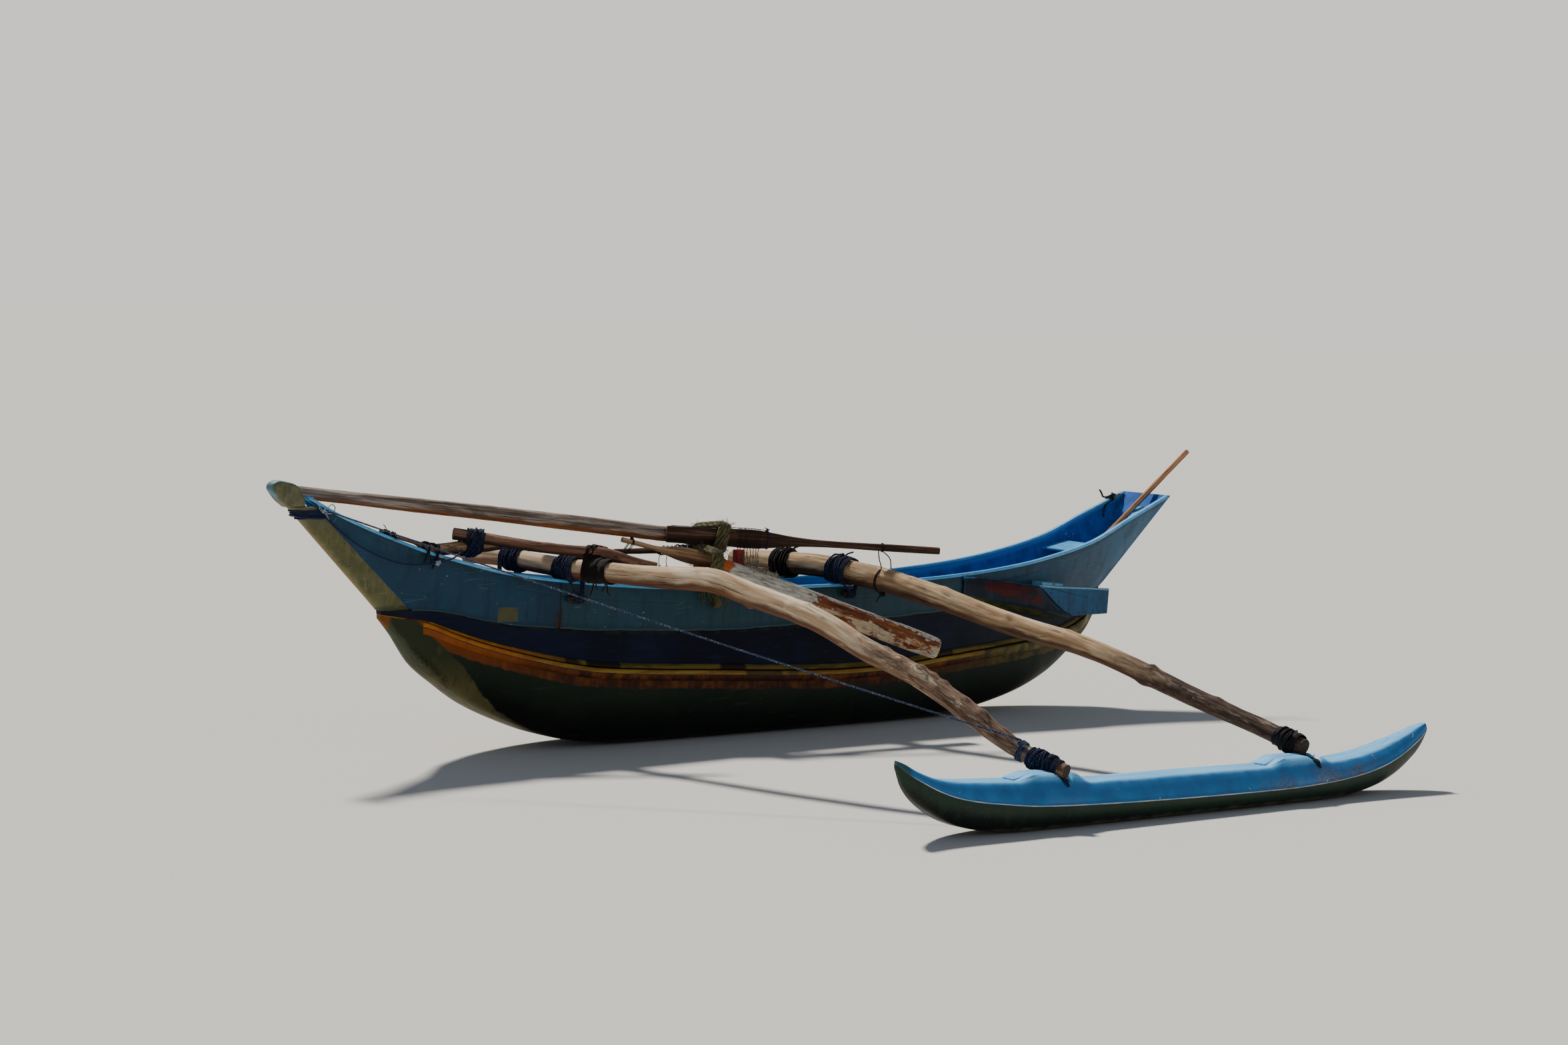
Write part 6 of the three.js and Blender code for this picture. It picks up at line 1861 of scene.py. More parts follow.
bar_piece("stern_pole_stick", SP[:, :3], SP[:, 3] - 0.0005, None,
          wood("stern_pole_wood", [(0.0, "#8a5a36"), (0.4, "#ab754c"), (0.7, "#c18c62"), (1.0, "#d9b08a")], under=("#6e4128", "#4d2e1d"),
               under_at=(0.0, -0.6), thick=0.016, streak=90), "pole_wood", ["stern_pole"], sides=24,
          disp=trunk(23, [(300, 0, 30, 60, 1.4), (900, 90, 30, 60, 1.4), (1500, 180, 30, 60, 1.4)], 0.0008, 0.0005), cap=0.003)


def bladed(name, rows, material, slot, replaces, power, sides, n, seed, disp=None, round_end=0.0):
    r = path_of(rows, n)
    if round_end:
        # the corners of the outer end are worn round
        left = np.linalg.norm(r[:, :3] - r[-1, :3], axis=1)
        gone = round_end - np.sqrt(np.maximum(round_end ** 2 - np.maximum(round_end - left, 0) ** 2, 0))
        r[:, 3] -= gone
        r[:, 4] -= gone * 0.22
    return bar_piece(name, r[:, :3], r[:, 3] - 0.0004, r[:, 4] - 0.0004, material, slot, replaces, sides=sides, power=power,
                     disp=disp or (lambda s, w: fbm(np.stack([s * 9, np.cos(w) * 2, np.sin(w) * 2], -1), 2, seed) * 0.0008), cap=0.003)


bladed("oar_blade_and_loom", OAR, OARWOOD, "oar_wood", ["oar"], 3.2, 40, 190, 31)
PADDLE_WOOD = wood("paddle_wood", [(0.0, "#7a5a3c"), (0.4, "#997755"), (0.7, "#b08f6c"), (1.0, "#c9ae8c")], under=("#6a482e", "#4a3323"),
                   under_at=(0.0, -0.7), thick=0.03, streak=60)
bladed("paddle_blade_and_shaft", PADDLE, PADDLE_WOOD, "branch_wood", ["paddle"], 3.0, 36, 100, 33)


def steering_mat():
    m = Mat("peeling_board", 0.75, specular=0.25)
    g = m.attr("grain", "Vector")
    s, side, up = m.split(g)
    streak = m.noise(m.scaled(g, (3, 60, 60)), 1.0, 6, 0.62, 0.5)
    fine = m.noise(m.scaled(g, (20, 260, 260)), 1.0, 5, 0.6)
    mid = m.noise(m.scaled(g, (11, 24, 24)), 1.0, 5, 0.62)
    rust = m.ramp(m.step(streak, 0.32, 0.68), [(0.0, "#3a1c0f"), (0.35, "#6b361a"), (0.7, "#85502a"), (1.0, "#a87a52")])
    pale = mul(m, m.step(m.noise(m.scaled(g, (6, 15, 15)), 1.0, 5, 0.66, 0.6), 0.52, 0.57), m.step(s, 0.50, 0.66))
    rust = m.mix(mul(m, pale, 0.85), rust, m.mix(m.step(fine, 0.36, 0.62), "#a28b6e", "#c8b697"))
    rust = m.mix(mul(m, m.step(s, 0.16, 0.07), 0.7), rust, "#b0541f")
    grey = m.mix(m.step(fine, 0.38, 0.62), "#8f8a80", "#c9c5bb")
    flake = m.noise(m.scaled(g, (15, 42, 42)), 1.0, 7, 0.70, 0.9)
    # old white paint, dense towards the far end; the extra white along the upper edge is painted highlight as well as
    # paint
    bias = m.math("ADD", mul(m, m.step(up, 0.034, 0.062), 0.24), mul(m, m.step(plus(m, s, m.math("SUBTRACT", mid, 0.5), 0.5), 0.70, 0.45), 0.24))
    bias = m.math("ADD", bias, mul(m, near(m, s, 1.28, 0.03, 0.08), 0.06))
    k = m.step(m.math("ADD", flake, bias), 0.600, 0.612)
    k = mul(m, k, m.step(plus(m, s, m.math("SUBTRACT", mid, 0.5), 0.10), 0.09, 0.11))
    lip = near(m, m.math("ADD", flake, bias), 0.600, 0.004, 0.006)
    col = m.mix(mul(m, lip, 0.6), rust, "#3d1f12")
    col = m.mix(k, col, grey)
    lines = m.voronoi(m.scaled(g, (1.3, 70, 70)), 1.0, "DISTANCE_TO_EDGE")
    crk = mul(m, m.step(lines, 0.035, 0.0), m.step(mid, 0.48, 0.6))
    col = m.mix(mul(m, crk, 0.8), col, "#23130c")
    cut = m.attr("cut")
    col = m.mix(m.step(cut, 0.5, 0.9), col, m.mix(m.step(fine, 0.4, 0.6), "#7d3d1c", "#4a2414"))
    h = plus(m, plus(m, mul(m, streak, 0.6), k, 0.8), crk, -0.9)
    return m.done(col, m.mixf(streak, 0.6, 0.9), m.bump(h, 0.6, 0.0028))


bladed("steering_board_blade", STEERING_BOARD, steering_mat(), "peeling_board", ["steering_board"], 4.6, 48, 330, 35,
       round_end=0.028, disp=lambda s, w: fbm(np.stack([s * 7, np.cos(w) * 1.5, np.sin(w) * 1.5], -1), 3, 35) * 0.0014)


def red_mat():
    m = Mat("red_paint", 0.6, specular=0.3)
    p = m.pos()
    mid = m.noise(p, 26.0, 5, 0.6)
    fine = m.noise(p, 120.0, 4, 0.6)
    streak = m.noise(m.scaled(p, (90, 90, 8)), 1.0, 5, 0.6)
    col = m.mix(m.step(mid, 0.36, 0.64), "#7c1f1a", "#9d2c24")
    k = m.step(m.noise(p, 38, 7, 0.7), 0.585, 0.598)
    col = m.mix(k, col, m.mix(m.step(streak, 0.4, 0.6), "#6d5140", "#3a2a21"))
    return m.done(col, m.mixf(mid, 0.5, 0.8), m.bump(plus(m, streak, k, -0.8), 0.5, 0.002))


RED = red_mat()
eased_block("red_post_timber", np.array([[238, 120, 722.5], [286, 120, 722.5], [286, 160, 722.5], [238, 160, 722.5]], float) * MM,
            np.array([[238, 120, 950], [286, 120, 950], [286, 160, 950], [238, 160, 950]], float) * MM, RED, ["red_post"],
            bevel=0.003, n=30, m=8)


# ----------------------------------------------------------- rope and cloth
FLECKED = rope_mat("rope_lashing", "#05070f", "#15203f", fleck="#62749c", fleck_at=(0.61, 0.69))
STAY_ROPE = rope_mat("rope_stay", "#060914", "#27355a", fleck="#a4b2c8", fleck_at=(0.58, 0.66))
DARK_ROPE = rope_mat("rope_dark", "#090708", "#2f2725")
BROWN_STRIP = rope_mat("strip_brown", "#080404", "#1d0f0b", rough=0.95)
BLACK_CLOTH = rope_mat("cloth_black", "#070607", "#1d191b", fleck="#332b2c", fleck_at=(0.64, 0.72), rough=0.85)
STRING = rope_mat("string_dark", "#060506", "#1e1b1d")
PALE_STRING = rope_mat("string_pale", "#3b4a68", "#b9c7d9")
GREEN_ROPE = rope_mat("rope_green", "#0c1a16", "#2b4a3e")
SAND_ROPE = rope_mat("rope_sandy", "#5f5c3c", "#b3ad7f")
COIR = rope_mat("coir", "#1f1b10", "#615b3d", fleck="#948b62", fleck_at=(0.56, 0.68), rough=0.97)
TOGGLE = wood("toggle_wood", [(0.0, "#17110f"), (0.4, "#2a201b"), (0.7, "#3f3129"), (1.0, "#5a483b")], streak=70, patchy=0.2)


class Round:
    """The round surface of a timber, so that rope can be laid on it."""

    def __init__(self, rows, disp=None, less=0.001):
        self.p, self.r, self.disp = rows[:, :3], rows[:, 3] - less, disp
        _, self.side, self.up = up_frames(self.p)
        self.s = np.r_[0, np.cumsum(np.linalg.norm(np.diff(self.p, axis=0), axis=1))]

    def read(self, a, s):
        return np.stack([np.interp(s, self.s, a[:, i]) for i in range(3)], -1)

    def on(self, s, w, lift=0.0):
        """The point at length s and angle w in degrees, lift metres proud."""
        s, w, lift = np.broadcast_arrays(np.asarray(s, float), np.radians(w), np.asarray(lift, float))
        r = np.interp(s, self.s, self.r) + lift
        if self.disp is not None:
            r = r + self.disp(s, w)
        return self.read(self.p, s) + self.read(self.up, s) * (r * np.sin(w))[..., None] + self.read(self.side, s) * (r * np.cos(w))[..., None]

    def s_at(self, axis, value):
        q = self.p[:, axis]
        k = np.argsort(q)
        return float(np.interp(value, q[k], self.s[k]))

    def at(self, s):
        return self.read(self.p, np.asarray(float(s)))


def rope(points, r, n=None, sides=9, pitch=None, lobe=0.16, strands=3, curve=True, turn=0.0):
    p = np.asarray(points, float)
    n = n or max(int(length_of(p) / (r * 1.15)), 6)
    p = centripetal(p, n) if curve else resample(p, n)
    v, f, a = rope_mesh(p, r, pitch, strands, sides, lobe, turn)
    return v, outward(v, f), a


def rope_piece(name, parts, material, replaces=()):
    v, f, a = gather(parts)
    return mesh(name, v, f, material, a, replaces=replaces)


def coil(tr, s0, s1, count, r, seed, fan=1.0, start=200.0, lift=0.0, wild=0.25, stack=1.0, per=36):
    """Points of a rope wound round a timber. fan under 1 draws the turns together on top."""
    k = np.linspace(0, count, int(count * per) + 1)
    w = math.radians(start) + 2 * math.pi * k
    j = np.arange(int(count) + 3)
    js = np.interp(k, j, hashed(j, 3 + 0 * j, 5 + 0 * j, seed)) * wild * r
    jl = np.abs(np.interp(k, j, hashed(j, 7 + 0 * j, 1 + 0 * j, seed))) * r * 0.45
    spread = fan + (1 - fan) * (0.5 - 0.5 * np.sin(w))
    s = (s0 + s1) / 2 + (k / count - 0.5) * (s1 - s0) * spread + js
    pile = (1 - spread) * stack * r * 1.5 * (0.5 + 0.5 * np.sin(k * 2.4 + seed))
    return tr.on(s, np.degrees(w), r * 0.95 + jl + pile + lift)


def wound(tr, s0, s1, count, r, seed, riders=2, **kw):
    """Turns laid side by side with a few riding turns across them."""
    out = [rope(coil(tr, s0, s1, count, r, seed, **kw), r, None, 8, curve=False)]
    for i in range(riders):
        a, b = (s0, s1) if i % 2 else (s1, s0)
        m, half = (a + b) / 2, (b - a) / 2 * (0.86 - 0.2 * (i // 2))
        out.append(rope(coil(tr, m - half, m + half, 1.5, r, seed + 9 + i, start=150 + 70 * i, lift=r * 1.75, wild=0.0, per=40), r, None, 8, curve=False))
    return out


def knot(at, size, r, turn=(0.0, 0.0), sides=8):
    """A small tight knot."""
    t = np.linspace(0.0, 2 * math.pi * 0.985, 84)
    p = np.stack([np.sin(t) + 2 * np.sin(2 * t), np.cos(t) - 2 * np.cos(2 * t), -np.sin(3 * t) * 1.3], 1) * size / 3
    a, b = turn
    ra = np.array([[math.cos(a), -math.sin(a), 0], [math.sin(a), math.cos(a), 0], [0, 0, 1]])
    rb = np.array([[1, 0, 0], [0, math.cos(b), -math.sin(b)], [0, math.sin(b), math.cos(b)]])
    return rope(np.asarray(at, float) + p @ (ra @ rb).T, r, 96, sides, curve=False)


def belt(circles, n, lift, turns=1.0, along=0.0, advance=0.0, start=0.0, per=64):
    """Points of a rope drawn tight round several round things, in planes square to n."""
    n = unit(np.asarray(n, float))
    e1 = unit(np.cross(n, [0, 0, 1.0]))
    e2 = np.cross(n, e1)
    cs = [np.asarray(c, float) for c, _ in circles]
    base = cs[0]
    cs = [c - n * np.dot(c - base, n) for c in cs]
    w = math.radians(start) + np.linspace(0, turns * 2 * math.pi, int(per * turns) + 1)
    d = np.cos(w)[:, None] * e1 + np.sin(w)[:, None] * e2
    val = np.stack([d @ c + r for c, (_, r) in zip(cs, circles)], 1)
    k = val.argmax(1)
    c = np.array(cs)[k]
    r = np.array([q for _, q in circles])[k]
    lift = np.broadcast_to(lift, r.shape)
    return c + d * (r + lift)[:, None] + n * (along + advance * (w - w[0]) / (2 * math.pi))[:, None]


def strip(path, across, width, thick, seed=0, folds=0.0015, cols=9, n=None):
    """A flat strip of cloth or rubber along a path, across giving its width's direction."""
    p = np.asarray(path, float)
    n = n or max(int(length_of(p) / 0.006), 6)
    p = resample(p, n)
    t, _, _ = carried_frames(p)
    ac = np.broadcast_to(np.asarray(across, float), p.shape)
    a = unit(ac - t * (ac * t).sum(1)[:, None])
    nn = np.cross(t, a)
    v = np.linspace(-1, 1, cols)
    s = np.r_[0, np.cumsum(np.linalg.norm(np.diff(p, axis=0), axis=1))]
    width = np.interp(np.linspace(0, 1, n), np.linspace(0, 1, np.size(width)), np.atleast_1d(width))
    edge = 1 + 0.10 * vnoise(np.stack([s * 30, 0 * s, 0 * s + seed], -1), seed)
    q = np.stack([np.broadcast_to(s[:, None] * 9, (n, cols)), np.broadcast_to(v[None, :] * 3.4, (n, cols)), np.full((n, cols), seed * 0.37)], -1)
    h = (vnoise(q, seed + 3) * 0.6 + vnoise(q * 2.1, seed + 4) * 0.4) * folds
    y = v[None, :] * (width * edge)[:, None] / 2
    half = thick / 2 * (1 - 0.75 * np.abs(v) ** 4)[None, :]
    top = p[:, None] + a[:, None] * y[..., None] + nn[:, None] * (h + half)[..., None]
    bot = p[:, None] + a[:, None] * y[..., None] + nn[:, None] * (h - half)[..., None]
    rings = np.concatenate([top, bot[:, ::-1]], 1)
    ss = np.broadcast_to(s[:, None], (n, 2 * cols))
    yy = np.concatenate([y, y[:, ::-1]], 1)
    hh = np.concatenate([h + half, (h - half)[:, ::-1]], 1)
    # the fold height goes into lobe, which the rope paints turn into painted highlight on the folds' crowns and painted
    # shade in their hollows
    lobe = np.clip(0.5 + np.concatenate([h, h[:, ::-1]], 1) / max(folds, 1e-5) * 0.9, 0, 1)
    vv, f, at = closed_rings(rings, {"grain": np.stack([ss, yy, hh], -1), "lobe": lobe})
    return vv, outward(vv, f), at


def strands_of(points, count, length, r, seed, out_from=None, droop=0.4, sides=3):
    """Loose fibres that stand off a bundle, each a short curl."""
    rng = np.random.default_rng(seed)
    pts = np.asarray(points, float)
    parts = []
    for _ in range(count):
        p = pts[rng.integers(0, len(pts))]
        d = rng.normal(size=3)
        if out_from is not None:
            o = p - np.asarray(out_from, float)
            d = d * 0.75 + o / max(np.linalg.norm(o), 1e-6) * 1.0
        d = d / np.linalg.norm(d)
        bend = rng.normal(size=3) * 0.8
        ln = length * (0.45 + rng.random() * 0.8)
        u = np.linspace(0, 1, 6)[:, None]
        q = p + d * u * ln + bend * (u**2) * ln * 0.5 + np.array([0, 0, -1.0]) * (u**2) * ln * droop
        v, f, a = rope_mesh(q, r * (0.7 + 0.6 * rng.random()), 1.0, 1, sides, 0.0)
        a["lobe"] = np.full(len(v), 0.35 + 0.6 * rng.random())
        parts.append((v, outward(v, f), a))
    return parts


TF = Round(FB, trunk(2, FRONT_SPOTS))
TR = Round(RB, trunk(7, REAR_SPOTS))
TBR, TBP, TMP, TTS = Round(BR, None, 0.0), Round(BP, None, 0.0), Round(MP, None, 0.0), Round(TS, None, 0.0)


def lash(name, tr, y0, y1, r, seed, material, node, fan, riders, side, skin, hole_z, legs=3):
    """Turns round a boom at the gunwale. side -1 adds legs that go down outside and in through the plank."""
    s0, s1 = tr.s_at(1, y0), tr.s_at(1, y1)
    parts = wound(tr, s0, s1, round((s1 - s0) / (r * 2.12)), r, seed, riders, fan=fan)
    if side < 0:
        for i in range(legs):
            y = -skin - 0.010 - 0.0095 * i
            s = tr.s_at(1, y)
            c = tr.at(s)
            top = [tr.on(s, w, r * 2.6) for w in (-12, 20, 55, 90, 125, 160, 192)]
            reach = 0.030 + 0.010 * i
            legs_ = []
            for sg in (1, -1):
                x = c[0] + sg * reach
                legs_.append([(c[0] + sg * 0.012, -skin + 0.052, hole_z + 0.016), (x, -skin + 0.022, hole_z + 0.006),
                              (x, -skin - 0.002, hole_z), (x + sg * 0.004, -skin - 0.0065, hole_z + 0.016),
                              (c[0] + sg * 0.050, y + 0.003, (hole_z + c[2]) / 2 - 0.012)])
            parts.append(rope([*legs_[0], *top, *legs_[1][::-1]], r, None, 8))
    return rope_piece(name, parts, material, [node])


R4 = 0.0046
lash("front_boom_lashing_far_turns", TF, -0.212, -0.100, R4, 3, FLECKED, "front_boom_lashing_far", 0.62, 4, -1, 0.191, 0.772)
lash("front_boom_lashing_near_turns", TF, 0.098, 0.234, R4, 5, FLECKED, "front_boom_lashing_near", 0.80, 4, 1, 0.191, 0.772)
lash("rear_boom_lashing_far_turns", TR, -0.234, -0.120, 0.0056, 7, BROWN_STRIP, "rear_boom_lashing_far", 0.42, 3, -1, 0.214, 0.704)
lash("rear_boom_lashing_near_turns", TR, 0.100, 0.256, R4, 8, FLECKED, "rear_boom_lashing_near", 0.40, 4, 1, 0.214, 0.704)
rope_piece("lashing_ends", [
    rope([TF.on(TF.s_at(1, -0.155), w, R4 * (1.6 + 0.5 * i)) for i, w in enumerate((60, 84, 108))] + [TF.on(TF.s_at(1, -0.15), 120, 0.022), TF.on(TF.s_at(1, -0.128), 132, 0.040)], R4),
    knot(TF.on(TF.s_at(1, -0.155), 92, 0.015), 0.013, R4, (0.5, 0.3)),
    rope([TR.on(TR.s_at(1, 0.17), w, R4 * (1.6 + 0.6 * i)) for i, w in enumerate((70, 92, 112))] + [TR.on(TR.s_at(1, 0.185), 112, 0.030), TR.on(TR.s_at(1, 0.215), 112, 0.046)], R4),
    knot(TR.on(TR.s_at(1, 0.17), 92, 0.016), 0.013, R4, (0.2, 0.2)),
], FLECKED)
rope_piece("rear_lashing_dark_end", [
    rope([TR.on(TR.s_at(1, -0.175), w, 0.009 + 0.002 * i) for i, w in enumerate((66, 90, 112))] + [TR.on(TR.s_at(1, -0.155), 116, 0.030), TR.on(TR.s_at(1, -0.125), 118, 0.044)], 0.0056),
    knot(TR.on(TR.s_at(1, -0.175), 90, 0.016), 0.015, 0.0052, (0.9, 0.2)),
], BROWN_STRIP)


# -------------------------------------------------------------- toggle pegs
def peg(node, x0, x1, y, z, r, seed):
    n = 26
    p = np.column_stack([np.linspace(x0, x1, n), np.full(n, y), np.full(n, z)])
    rad = r * (1 - 0.10 * np.abs(np.linspace(-1, 1, n)) ** 3)
    bar_piece(f"{node}_peg", p, rad - 0.0004, None, TOGGLE, "toggle_wood", [node], sides=24, disp=trunk(seed, [], 0.0011, 0.0007), cap=0.003)
    return Round(np.column_stack([p, rad]), None, 0.0)


def toggle(node, tr, skin, x0, x1, y, z, r, seed, material, legs=6, rr=R4):
    """A peg against the plank and the legs of rope that come down to it from a boom."""
    tp = peg(node, x0, x1, y, z, r, seed)
    xm = (x0 + x1) / 2
    parts = [rope(coil(tp, 0.30 * tp.s[-1], 0.78 * tp.s[-1], 5, rr, seed, start=90, wild=0.2), rr, None, 8, curve=False)]
    for i in range(legs):
        up = 1 if i % 2 else -1
        k = i // 2
        s = tr.s_at(1, skin + 0.012 + 0.0098 * k)
        w0 = (86, 48, 8, -24) if up > 0 else (94, 132, 172, 204)
        top = [tr.on(s, w, rr * 2.7) for w in w0]
        x = xm + up * (0.0046 + 0.0092 * k)
        mid = (top[-1] + np.array([x, y + r, z])) / 2 + np.array([0, 0.004, -0.004])
        parts.append(rope([*top, mid, (x, y + r * 0.9 + rr, z + r * 0.75), (x, y + r + rr * 0.9, z), (x, y + r * 0.5, z - r - rr * 0.7),
                           (x, y - r * 0.4, z - r - rr * 0.6), (x, y - r - 0.004, z - 0.002), (x, skin - 0.012, z + 0.010)], rr, None, 8))
    return rope_piece(f"{node}_legs", parts, material)


toggle("toggle_front", TF, 0.191, 1.390, 1.282, 0.212, 0.742, 0.014, 41, FLECKED)
toggle("toggle_rear", TR, 0.214, -0.388, -0.474, 0.233, 0.708, 0.014, 43, FLECKED)
MID = peg("toggle_mid", 0.496, 0.442, 0.223, 0.694, 0.016, 45)
mid_ropes = [rope(coil(MID, 0.2 * MID.s[-1], 0.8 * MID.s[-1], 4, 0.0056, 45, start=90, wild=0.3), 0.0056, None, 8, curve=False)]
for i in range(4):
    x = 0.455 + 0.010 * i
    mid_ropes.append(rope([(x + 0.004, 0.176, 0.812), (x, 0.196, 0.800), (x, 0.2115, 0.780), (x - 0.001, 0.2175, 0.750), (x, 0.226 + 0.002 * i, 0.722),
                           (x, 0.244, 0.702), (x, 0.240, 0.681), (x, 0.224, 0.6735), (x, 0.208, 0.682), (x, 0.200, 0.700)], 0.0056, None, 8))
rope_piece("toggle_mid_legs", mid_ropes, COIR)
weeds = np.array([[x, 0.220 + 0.006 * math.sin(x * 90), z] for x in np.linspace(0.395, 0.565, 18) for z in np.linspace(0.735, 0.782, 4)])
rope_piece("toggle_mid_fibres", strands_of(weeds, 150, 0.052, 0.0008, 61, (0.47, 0.10, 0.80), 1.0), COIR)


# -------------------------------------------------------------- brace wrap
def brace_wrap():
    parts, ropes = [], []
    for i, y in enumerate(np.linspace(0.324, 0.418, 6)):
        s = TF.s_at(1, y)
        w = np.linspace(0, 372, 80) + 40 * i
        lift = 0.0045 + 0.0022 * (i % 3) + 0.006 * np.clip(np.sin(np.radians(w)), 0, 1)
        t = unit(TF.at(s + 0.01) - TF.at(s - 0.01))
        pts = TF.on(np.full(80, s) + 0.006 * np.sin(np.radians(w * 0.5 + 70 * i)), w, lift)
        parts.append(strip(pts, t, 0.027, 0.003, 70 + i, 0.0022, 9, 76))
    # diagonal strips that take in the brace as well
    n = unit(np.array([-0.50, 0.86, -0.08]))
    for i, y in enumerate((0.286, 0.303, 0.320, 0.337)):
        b = TF.at(TF.s_at(1, y))
        q = BP[np.abs(BP[:, 1] - (y + 0.006)).argmin()]
        pts = belt([(b, 0.053), (q[:3], q[3] * 1.06)], n, 0.004 + 0.002 * (i % 2), 1.03, 0.0, 0.0, 30 + 50 * i, 84)
        parts.append(strip(pts, n, 0.024, 0.003, 80 + i, 0.0024, 9, 84))
    # loose ends that hang under the boom
    for k, (y, dz, dx) in enumerate(((0.332, 0.062, 0.010), (0.345, 0.030, -0.006), (0.412, 0.055, -0.014), (0.404, 0.034, 0.010))):
        s = TF.s_at(1, y)
        a = [TF.on(s, w, 0.007) for w in (-20, -55, -80)]
        e = a[-1]
        a += [e + np.array([dx * 0.4, 0.002, -dz * 0.4]), e + np.array([dx, -0.004, -dz * 0.8]), e + np.array([dx * 1.8, 0.003, -dz])]
        parts.append(strip(centripetal(a, 40), (0.1, 1.0, 0.1), (0.018, 0.015, 0.010, 0.006), 0.003, 90 + k, 0.0022, 7, 34))
    rope_piece("brace_wrap_strips", parts, BROWN_STRIP, ["brace_wrap"])


brace_wrap()


# ----------------------------------------------------------- float lashings
def float_ties():
    s0, s1 = TF.s_at(1, 2.754), TF.s_at(1, 2.904)
    parts = wound(TF, s0, s1, round((s1 - s0) / (R4 * 2.1)), R4, 21, 5)
    m = (s0 + s1) / 2
    for i in range(3):
        parts.append(rope(coil(TF, m - 0.055 + 0.012 * i, m + 0.04 + 0.008 * i, 1.4, R4, 27 + i, start=-40 + 60 * i, lift=R4 * 1.9, wild=0.0), R4, None, 8, curve=False))
    rope_piece("float_lashing_front_turns", parts, FLECKED, ["float_lashing_front"])
    s0, s1 = TR.s_at(1, 2.792), TR.s_at(1, 2.906)
    parts = []
    for i, s in enumerate(np.linspace(s0 + 0.010, s1 - 0.010, 6)):
        w = np.linspace(0, 378, 84) + 63 * i
        t = unit(TR.at(s + 0.01) - TR.at(s - 0.01))
        lift = 0.0048 + 0.0024 * (i % 3) + 0.003 * np.sin(np.radians(w) * 2 + i)
        parts.append(strip(TR.on(np.full(84, s) + 0.007 * np.sin(np.radians(w + 50 * i)), w, lift), t, 0.030, 0.0034, 30 + i, 0.0034, 13, 90))
    parts.append(rope(coil(TR, s0 + 0.02, s1 - 0.03, 3, 0.0052, 36, start=20, lift=0.006, wild=0.6), 0.0052, None, 8, curve=False))
    rope_piece("float_lashing_rear_cloth", parts, BLACK_CLOTH, ["float_lashing_rear"])


float_ties()


def deck_tie(name, tr, y, drop, material, width, seed, replaces=()):
    """The strap from a boom's lashing down the saddle's side to the deck, on both sides of the float."""
    parts = []
    s = tr.s_at(1, y)
    c = tr.at(s)
    for sg in (1, -1):
        w = (60, 20, -15, -45) if sg > 0 else (120, 160, 195, 225)
        a = [tr.on(s, q, 0.008) for q in w]
        x = c[0] + sg * drop[0]
        deck = at_x(FLOAT, np.array([x]))[0]
        cy = float_y(x)
        foot = [(a[-1][0] * 0.55 + x * 0.45, a[-1][1] * 0.6 + (cy + 0.042) * 0.4, a[-1][2] * 0.5 + (deck[4] + 0.012) * 0.5)]
        for i, dy in enumerate((0.046, 0.058, 0.070, 0.081, 0.091, 0.100, 0.108)):
            xx = x + (c[0] - x) * i / 6 - 0.0015 * i
            hit = DECK_TREE.ray_cast(Vector((xx, cy + dy, 0.6)), Vector((0.0, 0.0, -1.0)))[0]
            foot.append((xx, cy + dy + 0.003, (hit[2] if hit else deck[4]) + 0.0050))
        parts.append(strip(centripetal([*a, *foot], 60), (0.85, 0.3, -0.4), width, 0.004, seed + sg, 0.0022, 9, 60))
    rope_piece(name, parts, material, replaces)


deck_tie("float_strap_front", TF, 2.845, (0.016, 0), FLECKED, (0.030, 0.032, 0.034, 0.030, 0.012), 51)
deck_tie("float_strap_rear", TR, 2.860, (0.016, 0), BLACK_CLOTH, (0.034, 0.034, 0.036, 0.032, 0.012), 55)


# ------------------------------------------------------------ neck and stay
def neck_band():
    parts = []
    for i in range(5):
        z = 1.1446 + 0.0083 * i
        o = stem_section(z, 0.0036 + 0.0006 * (i % 2))
        c = np.column_stack([o, np.full(len(o), z)])
        c[:, 2] += 0.0016 * np.sin(c[:, 0] * 60 + i * 2.1)
        first, last = c[0] + np.array([-0.004, -0.010, 0.0]), c[-1] + np.array([-0.004, 0.010, 0.0])
        parts.append(rope(np.vstack([first, c, last]), 0.0044, 96, 8, pitch=0.026))
    o = stem_section(1.1612, 0.0125)
    k = len(o)
    cross = np.column_stack([o, np.linspace(1.1450, 1.1780, k)])
    parts.append(rope(cross[: k // 2 + 2], 0.0040, 60, 8))
    cross = np.column_stack([o, np.linspace(1.1790, 1.1440, k)])
    parts.append(rope(cross[k // 2 - 2:], 0.0040, 60, 8))
    rope_piece("bow_band_turns", parts, BLUE_ROPE, ["bow_band"])
    a = np.array([2.676, 0.050, 1.183])
    threads = [
        knot(a + [0.004, 0.000, -0.004], 0.013, 0.0036, (0.4, 0.5)),
        rope([a + [0.004, -0.004, -0.006], a + [0.020, -0.004, 0.010], a + [0.044, -0.008, 0.036], a + [0.066, -0.012, 0.062]], 0.0026, None, 7),
        rope([a + [0.0, 0.000, -0.004], a + [-0.014, 0.004, 0.012], a + [-0.034, 0.003, 0.026], a + [-0.050, 0.004, 0.012], a + [-0.040, 0.006, -0.010],
              a + [-0.016, 0.004, -0.016], a + [0.0, 0.002, -0.008]], 0.0028, None, 7),
        rope([a + [0.006, 0.002, -0.010], a + [-0.008, 0.006, -0.026], a + [-0.016, 0.008, -0.046]], 0.0026, None, 7),
        rope([a + [0.010, -0.002, 0.004], a + [0.024, 0.000, 0.000], a + [0.032, -0.004, 0.018]], 0.0022, None, 7),
    ]
    rope_piece("bow_band_threads", threads, PALE_STRING)


